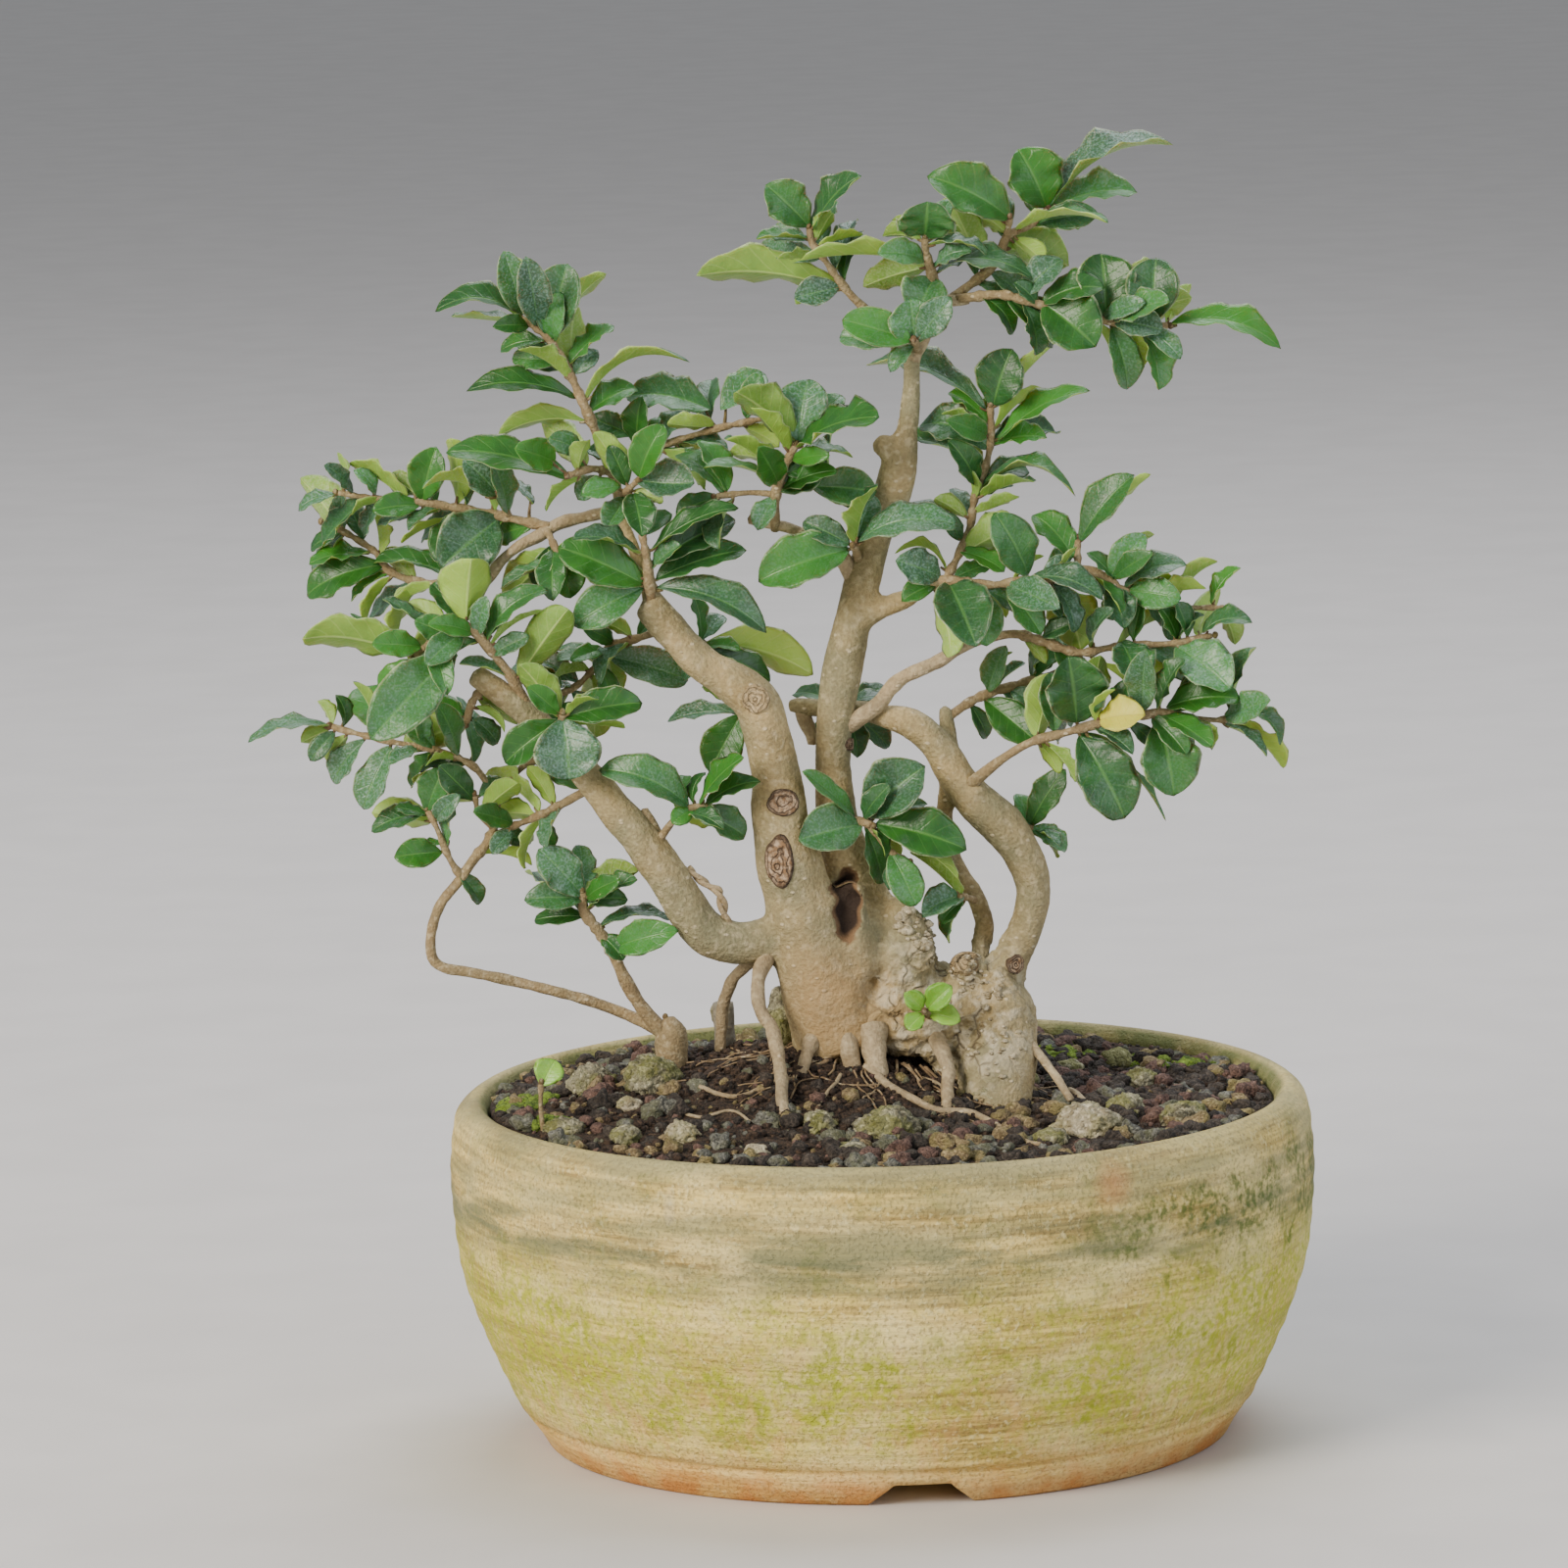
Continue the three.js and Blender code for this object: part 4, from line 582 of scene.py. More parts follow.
@dataclass(frozen=True)
class Paint:
    """A material while it is painted: its node tree, its shader and each point's place in metres."""

    tree: Tree
    shader: bpy.types.Node
    place: Socket

    def speckle(self, size_mm: float, detail: float = 3.0, low: float = 0.35, high: float = 0.65,
                drawn: Place = EVEN) -> Socket:
        """Scatters soft spots of a real size.

        Args:
            size_mm: the width of a spot.
            detail: how many finer layers it has.
            low: the noise that becomes 0.
            high: the noise that becomes 1.
            drawn: what the place is scaled by along each axis; under 1 it draws the spots out.

        Returns:
            A value from 0 to 1.
        """
        place = self.place if drawn == EVEN else add(self.tree, "Mapping", {"Vector": self.place, "Scale": drawn})
        raw = add(self.tree, "TexNoise", {"Vector": place, "Scale": 1 / (size_mm * MM), "Detail": detail})
        return add(self.tree, "MapRange", {"Value": raw, "From Min": low, "From Max": high})

    def near(self, middle_mm: Place, edge_mm: float, core_mm: float,
             drawn: Place = EVEN) -> Socket:
        """Marks the space round a point.

        Args:
            middle_mm: the point, after the place is scaled.
            edge_mm: the distance at which the mark ends.
            core_mm: the distance within which it is full.
            drawn: what the place is scaled by along each axis.

        Returns:
            A value from 0 to 1.
        """
        place = self.place if drawn == EVEN else add(self.tree, "Mapping", {"Vector": self.place, "Scale": drawn})
        middle = tuple(value * MM for value in middle_mm)
        away = add(self.tree, "VectorMath", {0: place, 1: middle}, out="Value", operation="DISTANCE")
        return add(self.tree, "MapRange", {"Value": away, "From Min": edge_mm * MM, "From Max": core_mm * MM})

    def weigh(self, *parts: tuple[Socket, Socket | float], base: float = 0.0) -> Socket:
        """Adds up values by weight.

        Args:
            parts: each value with its weight.
            base: a number added to them.

        Returns:
            The sum.
        """
        total: Socket | float = base
        for value, weight in parts:
            total = add(self.tree, "Math", {0: value, 1: weight, 2: total}, operation="MULTIPLY_ADD")
        return total

    def coats(self, colour: Socket | str, *layers: tuple[object, ...]) -> Socket:
        """Lays thin coats of colour over one another.

        Args:
            colour: the colour underneath.
            layers: each coat's hex colour, then the values whose product says how much of it shows.

        Returns:
            The colour on top.
        """
        for code, amount, *shares in layers:
            for share in shares:
                amount = add(self.tree, "Math", {0: amount, 1: share}, operation="MULTIPLY")
            colour = add(self.tree, "Mix", {0: amount, 6: colour, 7: code}, out=2, data_type="RGBA")
        return colour

    def finish(self, colour: Socket, roughness: float, relief: Socket, depth_mm: float,
               strength: float = 1.0) -> None:
        """Gives the shader its colour, its roughness and fine relief.

        Args:
            colour: the surface's colour.
            roughness: how matt it is, the same all over.
            relief: the height of its grain, about 0 to 1.
            depth_mm: the height of 1.
            strength: how strongly the relief shows.
        """
        inputs = self.shader.inputs
        inputs["Roughness"].default_value = roughness
        self.tree.links.new(colour, inputs["Base Color"])
        bump = add(self.tree, "Bump", {"Height": relief, "Distance": depth_mm * MM, "Strength": strength})
        self.tree.links.new(bump, inputs["Normal"])


@dataclass(frozen=True)
class Finish:
    """A finish starts from a plain shader, which each kind of finish dresses."""

    name: str

    def material(self) -> bpy.types.Material:
        """Makes the material.

        Returns:
            The material.
        """
        made = bpy.data.materials.new(self.name)
        made.use_nodes = True
        tree = made.node_tree
        self.dress(Paint(tree, tree.nodes["Principled BSDF"], add(tree, "TexCoord", out="Object")))
        return made

    def dress(self, on: Paint) -> None:
        """Paints the material, which a plain finish leaves as it is."""


class Wardrobe:
    """Keeps each finish's material, so that it is made once."""

    made: dict[str, bpy.types.Material] = {}

    @classmethod
    def of(cls, finish: Finish) -> bpy.types.Material:
        """Gives a finish's material.

        Args:
            finish: the finish.

        Returns:
            The material.
        """
        if finish.name not in cls.made:
            cls.made[finish.name] = finish.material()
        return cls.made[finish.name]


class Face(Enum):
    """The two faces of a leaf."""

    UPPER = "upper"
    UNDER = "under"


@dataclass(frozen=True)
class LeafFinish(Finish):
    """Leathery privet leaf: waxy above, matt and paler below, with a thin pale edge."""

    deep: str = "15421a"
    fresh: str = "397e24"
    vein: str = "5f9440"
    edge: str = "bccb97"
    bloom: str = "7a9d90"
    face: Face = Face.UPPER
    roughness: float = 0.36

    def dress(self, on: Paint) -> None:
        """Paints tone, veins, dusty bloom and edge, and presses the veins in.

        Args:
            on: the material.
        """
        upper = self.face is Face.UPPER
        across, along, tone, dust = (add(on.tree, "Attribute", out="Fac", attribute_name=name)
                                     for name in ("across", "along", "tone", "dust"))
        out = add(on.tree, "Math", {0: across}, operation="ABSOLUTE")
        # Lumps of about 5 mm change the green a little within a leaf.
        shade = add(on.tree, "Math", {0: on.speckle(5.0, 2.0), 1: 0.25, 2: tone}, operation="MULTIPLY_ADD")
        # Six pairs of side veins leave the midrib forwards, about 2 to 3 mm apart.
        run = on.weigh((along, 6.5), (out, -1.5))
        wave = add(on.tree, "Math", {0: run, 1: 0.5}, operation="PINGPONG")
        side = add(on.tree, "MapRange", {"Value": wave, "From Min": 0.09, "From Max": 0.0})
        rib = add(on.tree, "MapRange", {"Value": out, "From Min": 0.09, "From Max": 0.02})
        veins = add(on.tree, "Math", {0: on.weigh((side, 0.35)), 1: rib}, operation="MAXIMUM")
        # Whitish wax and dust lie in grains under a millimetre, thicker on some leaves.
        film = on.weigh((on.speckle(0.6, 3.0, 0.44, 0.68), 0.6), base=0.14 if upper else 0.0)
        rim = add(on.tree, "MapRange", {"Value": out, "From Min": 0.92, "From Max": 0.98})
        colour = on.coats(self.deep, (self.fresh, shade), (self.vein, veins, 0.5 if upper else 0.7),
                          (self.bloom, dust, film), (self.edge, rim, 0.6))
        relief = on.weigh((on.speckle(1.1, 2.0, 0.3, 0.7), 0.25), (veins, -0.5 if upper else 0.6))
        on.finish(colour, self.roughness, relief, 0.3, 0.8)
        # Light passes a little way into the blade.
        on.shader.inputs["Subsurface Weight"].default_value = 0.1
        on.shader.inputs["Subsurface Scale"].default_value = 2 * MM


@dataclass(frozen=True)
class BarkFinish(Finish):
    """Smooth privet bark: thin, matt, tan to grey-green, with small raised pores."""

    light: str = "b8a27a"
    dark: str = "7f6f50"
    grey: str = "8b8a72"
    grey_share: float = 0.55
    patch_mm: float = 14.0
    grain_mm: float = 0.9

    def dress(self, on: Paint) -> None:
        """Paints the bark and raises its grain, under half a millimetre high."""
        colour, relief = self.skin(on)
        on.finish(colour, 0.85, relief, 0.45, 0.9)

    def skin(self, on: Paint) -> tuple[Socket, Socket]:
        """Mixes patches, a thin film of algae, grain, wrinkles and pores.

        Args:
            on: the material.

        Returns:
            The colour and the relief.
        """
        patches = on.speckle(self.patch_mm, 5.0, 0.3, 0.7)
        # A thin grey-green film of algae lies over the tan in soft patches.
        film = on.speckle(self.patch_mm * 1.6, 6.0, 0.38, 0.62)
        # The skin is grainy and pale on its grains, and its pits are painted dark as painted shade in them.
        grain = on.speckle(self.grain_mm, 4.0, 0.34, 0.66)
        flecks = on.speckle(self.grain_mm * 2.2, 4.0, 0.52, 0.66)
        # Fine wrinkles run across the wood, about 1 mm tall and 3 mm wide.
        wrinkle = on.speckle(1.1, 3.0, 0.3, 0.7, (0.4, 0.4, 1.0))
        # Pores are pale dots under a millimetre wide, 3 to 4 mm apart.
        squeezed = add(on.tree, "Mapping", {"Vector": on.place, "Scale": (0.7, 0.7, 1.0)})
        cells = add(on.tree, "TexVoronoi", {"Vector": squeezed, "Scale": 1 / (3.4 * MM)})
        pores = add(on.tree, "MapRange", {"Value": cells, "From Min": 0.16, "From Max": 0.09})
        colour = on.coats(self.light, (self.dark, patches), (self.grey, film, self.grey_share),
                          ("57462f", grain, 0.34), ("d9caa4", flecks, 0.32), ("5d4c33", wrinkle, 0.1),
                          ("dccdaa", pores, 0.6))
        return colour, on.weigh((wrinkle, 0.18), (pores, 0.5), (grain, -0.5))


@dataclass(frozen=True)
class OldBarkFinish(BarkFinish):
    """Old trunk bark: as the smooth bark, with crusted lime and cracks on the swollen base, the cracks painted dark
    as their shade.
    """

    lime: str = "d8cdae"
    crack_shade: str = "43331f"
    blush: str = "c2935a"
    callus: str = "6e472c"
    crust_middle: Place = (42.0, -10.0, 108.0)
    blush_middle: Place = (12.0, -16.0, 112.0)

    def skin(self, on: Paint) -> tuple[Socket, Socket]:
        """Adds the lime crust, the cracks painted dark with their shade, the reddish foot, and the hollow painted
        nearly black with its shade.

        Args:
            on: the material.

        Returns:
            The colour and the relief.
        """
        colour, relief = super().skin(on)
        blush = on.near(self.blush_middle, 22.0, 6.0)
        # Crust comes in crumbs of 2 to 3 mm, where the trunk was cut down and swelled.
        zone = on.near(self.crust_middle, 27.0, 12.0)
        crust = add(on.tree, "Math", {0: on.speckle(4.5, 5.0, 0.46, 0.60), 1: zone}, operation="MULTIPLY")
        # Cracks part the crust into fields of about 5 mm; they sink in the relief and are painted dark, as painted
        # shade in them.
        shake = add(on.tree, "TexNoise", {"Vector": on.place, "Scale": 180.0}, out="Color")
        bent = add(on.tree, "VectorMath", {0: shake, 1: (4 * MM,) * 3, 2: on.place}, operation="MULTIPLY_ADD")
        edges = add(on.tree, "TexVoronoi", {"Vector": bent, "Scale": 1 / (5.5 * MM)}, out="Distance",
                    feature="DISTANCE_TO_EDGE")
        lines = add(on.tree, "MapRange", {"Value": edges, "From Min": 0.09, "From Max": 0.0})
        holes = add(on.tree, "Math", {0: lines, 1: on.speckle(9.0, 3.0, 0.46, 0.56)}, operation="MULTIPLY")
        cracks = add(on.tree, "Math", {0: holes, 1: zone}, operation="MULTIPLY")
        # A brown callus runs round the hollow; inside, painted shade makes the hollow nearly black.
        hollow = add(on.tree, "Attribute", out="Fac", attribute_name="hollow")
        callus = add(on.tree, "MapRange", {"Value": hollow, "From Min": 0.0, "From Max": 0.12})
        inside = add(on.tree, "MapRange", {"Value": hollow, "From Min": 0.3, "From Max": 0.75})
        colour = on.coats(colour, (self.blush, blush, 0.4), (self.lime, crust, 0.85), (self.crack_shade, cracks, 0.8),
                          (self.callus, callus, 0.7), ("24170e", inside, 0.95))
        return colour, on.weigh((relief, 1.0), (crust, 1.0), (cracks, -1.4))


@dataclass(frozen=True)
class CutWoodFinish(Finish):
    """Healed cut: weathered end grain with rings and dark cracks, matt."""

    light: str = "b8a084"
    dark: str = "33241a"
    mid: str = "86694a"
    line_share: float = 0.85

    def dress(self, on: Paint) -> None:
        """Paints rings by their distance from the middle, broken by dark cracks.

        Args:
            on: the material.
        """
        ring = add(on.tree, "Attribute", out="Fac", attribute_name="ring")
        spots = on.speckle(1.4, 4.0, 0.38, 0.62)
        bent = add(on.tree, "Math", {0: on.speckle(4.0, 3.0, 0.3, 0.7), 1: 0.45, 2: ring}, operation="MULTIPLY_ADD")
        wave = add(on.tree, "Math", {0: bent, 1: 0.15}, operation="PINGPONG")
        lines, rim, back = (
            add(on.tree, "MapRange", {"Value": value, "From Min": start, "From Max": end})
            for value, start, end in ((wave, 0.06, 0.0), (ring, 0.62, 0.86), (ring, 1.0, 0.9)))
        edge = add(on.tree, "Math", {0: rim, 1: back}, operation="MULTIPLY")
        dark = add(on.tree, "Math", {0: lines, 1: edge}, operation="MAXIMUM")
        colour = on.coats(self.light, (self.mid, spots), (self.dark, dark, self.line_share))
        on.finish(colour, 0.9, add(on.tree, "Math", {0: spots, 1: lines}, operation="SUBTRACT"), 0.5)


@dataclass(frozen=True)
class ClayFinish(Finish):
    """Thrown, unglazed buff clay: matt, with throwing lines, weathered grey and green with algae."""

    body: str = "efd47c"
    line: str = "9f8446"
    pale: str = "f6e6a6"
    weathered: str = "6f7352"
    algae: str = "aab01f"
    moss: str = "425a16"
    foot: str = "c07f3a"
    drip: str = "e3a870"
    stain: str = "c08450"

    def dress(self, on: Paint) -> None:
        """Paints the sandy clay, then what weather has laid over it, from grey band to foot.

        Args:
            on: the material.
        """
        parts = add(on.tree, "SeparateXYZ", {"Vector": on.place}).node.outputs
        height = add(on.tree, "Math", {0: parts["Z"], 1: POT_HEIGHT * MM}, operation="DIVIDE")
        colour, relief = self.sandy_clay(on)
        colour = self.grey_band(on, height, colour)
        colour = self.green(on, parts, height, colour)
        colour = self.foot_and_rim(on, parts, height, colour)
        on.finish(colour, 0.92, relief, 0.35, 0.8)

    def sandy_clay(self, on: Paint) -> tuple[Socket, Socket]:
        """Mixes throwing lines, grit and pale lime clouds, and gives colour and relief.

        Args:
            on: the material.

        Returns:
            The colour and the relief.
        """
        # Throwing lines are about 1 mm and 6 mm tall and run most of the way round.
        lines = on.speckle(1.1, 4.0, 0.40, 0.60, (0.05, 0.05, 1.0))
        broad = on.speckle(6.0, 4.0, 0.42, 0.58, (0.05, 0.05, 1.0))
        cloud = on.speckle(14.0, 6.0, 0.42, 0.60, (0.45, 0.45, 1.0))
        # Sand grains show as dark and pale dots about 1 mm wide.
        dark_grit = on.speckle(0.9, 4.0, 0.5, 0.68)
        pale_grit = on.speckle(1.5, 4.0, 0.54, 0.66)
        colour = on.coats(self.body, (self.line, on.weigh((broad, 0.5), (lines, 0.6))), (self.pale, cloud, 0.5),
                          ("75653f", dark_grit, 0.55), (self.pale, pale_grit, 0.5))
        return colour, on.weigh((pale_grit, 0.5), (dark_grit, -0.7), (lines, 0.35))

    def grey_band(self, on: Paint, height: Socket, colour: Socket) -> Socket:
        """Lays the grey-green weathered band over the upper third.

        Args:
            on: the material.
            height: the height, 0 under the foot and 1 on the rim.
            colour: the colour underneath.

        Returns:
            The colour on top.
        """
        band = add(on.tree, "ValToRGB", {"Fac": height}, stops=(
            (0.0, "000000"), (0.58, "181818"), (0.67, "e0e0e0"), (0.74, "ffffff"), (0.86, "c8c8c8"), (1.0, "d0d0d0")))
        stain = on.speckle(5.0, 6.0, 0.40, 0.60, (0.16, 0.16, 1.0))
        return on.coats(colour, (self.weathered, band, on.weigh((stain, 0.72), base=0.2)))

    def green(self, on: Paint, parts: bpy.types.NodeOutputs, height: Socket, colour: Socket) -> Socket:
        """Grows algae in clouds of 15 to 30 mm made of dots under 2 mm, thickest at the sides.

        Args:
            on: the material.
            parts: the place's three parts.
            height: the height, 0 under the foot and 1 on the rim.
            colour: the colour underneath.

        Returns:
            The colour on top.
        """
        shift = add(on.tree, "Math", {0: parts["X"], 1: POT_X * MM}, operation="SUBTRACT")
        reach = add(on.tree, "Math", {0: shift}, operation="ABSOLUTE")
        sides = add(on.tree, "MapRange", {"Value": reach, "From Min": 22 * MM, "From Max": 96 * MM})
        zone = add(on.tree, "ValToRGB", {"Fac": height}, stops=(
            (0.0, "202020"), (0.10, "808080"), (0.34, "ffffff"), (0.60, "b0b0b0"), (0.74, "484848"), (1.0, "505050")))
        tuft = on.speckle(11.0, 5.0, 0.40, 0.62)
        dots = on.speckle(1.9, 5.0, 0.42, 0.60)
        spread = on.weigh((tuft, 0.45), (on.speckle(30.0, 3.0, 0.38, 0.62), 0.5), (sides, 0.55))
        grown = add(on.tree, "Math", {0: spread, 1: zone}, operation="MULTIPLY")
        amount = add(on.tree, "MapRange", {"Value": grown, "From Min": 0.06, "From Max": 0.62})
        # Darker moss grows in a patch at the right, under the rim, and in a few spots elsewhere.
        right = add(on.tree, "MapRange", {"Value": shift, "From Min": 40 * MM, "From Max": 80 * MM})
        high = add(on.tree, "ValToRGB", {"Fac": height}, stops=(
            (0.0, "181818"), (0.55, "303030"), (0.70, "ffffff"), (0.86, "f0f0f0"), (0.95, "303030")))
        patch = add(on.tree, "Math", {0: right, 1: high}, operation="MULTIPLY")
        dark = add(on.tree, "MapRange",
                   {"Value": on.weigh((tuft, 0.6), (patch, 0.55)), "From Min": 0.46, "From Max": 0.92})
        return on.coats(colour, (self.algae, amount, on.weigh((dots, 0.62), base=0.36), 0.95),
                        (self.moss, dark, on.weigh((dots, 0.8), base=0.2), 0.8))

    def foot_and_rim(self, on: Paint, parts: bpy.types.NodeOutputs, height: Socket, colour: Socket) -> Socket:
        """Lays the bare orange foot, the drips, the rubbed rim, two stains and the green inner wall.

        Args:
            on: the material.
            parts: the place's three parts.
            height: the height, 0 under the foot and 1 on the rim.
            colour: the colour underneath.

        Returns:
            The colour on top.
        """
        run = on.speckle(4.0, 4.0, 0.52, 0.66, (1.0, 1.0, 0.14))
        below = add(on.tree, "ValToRGB", {"Fac": height}, stops=(
            (0.0, "505050"), (0.2, "d0d0d0"), (0.5, "909090"), (0.62, "000000")))
        worn = on.speckle(9.0, 5.0, 0.36, 0.6)
        # Inside the rim the wall is damp, so it is green and darker.
        level = add(on.tree, "CombineXYZ", {"X": parts["X"], "Y": parts["Y"]})
        away = add(on.tree, "VectorMath", {0: level, 1: (POT_X * MM, 0.0, 0.0)}, out="Value", operation="DISTANCE")
        low, high, upper, inner = (
            add(on.tree, "MapRange", {"Value": value, "From Min": start, "From Max": end})
            for value, start, end in ((height, 0.16, 0.03), (height, 0.95, 0.99), (height, 0.7, 0.8),
                                      (away, 102.6 * MM, 101.2 * MM)))
        return on.coats(colour, (self.drip, run, below, 0.42), (self.foot, low, on.weigh((worn, 0.5), base=0.4)),
                        ("a39d74", high, 0.45), (self.stain, on.near((78.0, -92.0, 80.0), 7.0, 2.0), 0.6),
                        ("ccc8bc", on.near((-28.0, -93.5, 30.5), 3.2, 1.2, (1.0, 1.0, 0.4)), 0.5),
                        ("626b3a", inner, on.weigh((worn, 0.5), base=0.4), upper))


@dataclass(frozen=True)
class GritFinish(Finish):
    """Broken mineral or soil: matt and rough, its colour changing from grain to grain."""

    light: str = "6d5a46"
    dark: str = "2b211a"
    green: str = "6c7036"
    green_share: float = 0.0
    grain_mm: float = 1.2
    relief_mm: float = 0.5

    def dress(self, on: Paint) -> None:
        """Paints coarse and fine grains and any green film, and roughens the surface.

        Args:
            on: the material.
        """
        coarse = on.speckle(self.grain_mm * 4, 5.0, 0.38, 0.62)
        fine = on.speckle(self.grain_mm, 5.0, 0.38, 0.62)
        film = on.speckle(self.grain_mm * 6, 5.0, 0.44, 0.56)
        colour = on.coats(self.light, (self.dark, on.weigh((coarse, 0.5), (fine, 0.5))),
                          (self.green, film, self.green_share))
        on.finish(colour, 0.95, fine, self.relief_mm)


@dataclass(frozen=True)
class FloorFinish(Finish):
    """Painted plaster board: pale, matt and faintly mottled."""

    pale: str = "d2cfcb"
    mottle: str = "cecbc7"

    def dress(self, on: Paint) -> None:
        """Paints a faint mottle, about 40 mm wide."""
        on.tree.links.new(on.coats(self.pale, (self.mottle, on.speckle(40.0, 2.0))), on.shader.inputs["Base Color"])
        on.shader.inputs["Roughness"].default_value = 0.85


LEAF_UPPER = LeafFinish("privet_leaf_waxy_upper_face")
LEAF_UNDER = LeafFinish("privet_leaf_matt_underside", "668f35", "95ba49", "b2cb74", "c9d79a", "a4b884", Face.UNDER,
                        0.5)
YOUNG_UPPER = LeafFinish("young_leaf_upper_face", "5f9a2a", "8fc046", "a6cc66", "a9cf6a", "8fb070")
YOUNG_UNDER = LeafFinish("young_leaf_underside", "7fa84a", "9fc264", "b4d07c", "b7cf84", "a9c48a", Face.UNDER, 0.6)
YELLOW_LEAF = LeafFinish("privet_leaf_turned_yellow", "a8a42c", "d0c94a", "c5bd55", "cfc98a", "b5b36a",
                         roughness=0.5)
PETIOLE = BarkFinish("leaf_stalk_purple_brown", "7a5a3c", "55342a", "7c8442", 0.4, 3.0, 0.6)
TWIG_BARK = BarkFinish("young_twig_bark", "ae966c", "84704e", "8f8662", 0.4, 6.0, 0.7)
TRUNK_BARK = OldBarkFinish("old_privet_bark", "cfb682", "85744a", "85886a", 0.7)
ROOT_BARK = BarkFinish("bare_root_bark", "c8b38c", "94805e", "9a9076", 0.4, 7.0)
PALE_STUB = BarkFinish("weathered_stub_bark", "c9c3b2", "9d9580", "8c8b78", 0.35, 5.0)
CUT_WOOD = CutWoodFinish("healed_cut_end_grain")
PALE_CUT = CutWoodFinish("healed_cut_pale_callus", "c3ae86", "8b7653", "a48e68", 0.5)
CLAY = ClayFinish("thrown_buff_clay_weathered")
SOIL = GritFinish("dark_potting_soil", "5a4737", "17110d", grain_mm=0.9, relief_mm=0.8)
HAIR_ROOT = BarkFinish("hair_root_skin", "a8906c", "6f583c", "84745a", 0.2, 4.0)
LIME = GritFinish("lime_crust_crumbs", "dbd0b2", "8f7f5e", "a09a6c", 0.2, 1.0, 0.5)
MOSSY_STONE = GritFinish("porous_mossy_stone", "bdb898", "4f4b38", "7f8238", 0.6, 1.1, 0.8)
PALE_STONE = GritFinish("pale_porous_stone", "d3c9ab", "85795a", "9a9a5c", 0.35, 1.3, 0.7)
MOSS = GritFinish("cushion_moss", "7f9a30", "3d5219", "93ad3e", 0.5, 0.8, 0.6)
GRAVEL = [
    GritFinish("black_lava_gravel", "564d44", "1f1b18", grain_mm=0.7),
    GritFinish("red_lava_gravel", "86695c", "46332c", grain_mm=0.7),
    GritFinish("ochre_pumice_gravel", "ab9870", "655539", "85843f", 0.3, 0.7),
    GritFinish("grey_stone_gravel", "8b8b80", "474842", "6d7040", 0.4, 0.7),
    MOSSY_STONE,
    PALE_STONE,
]


# Leaves


@dataclass(frozen=True)
class Blade:
    """How a blade is formed: where it is widest, how blunt, how folded, waved and curled."""

    peak: float = 1.15
    blunt: float = 0.75
    wide: float = 1.0
    keel: float = KEEL
    fold: float = 1.0
    ripple: float = 0.0
    curl: float = 0.0


CAD_BLADE = Blade()


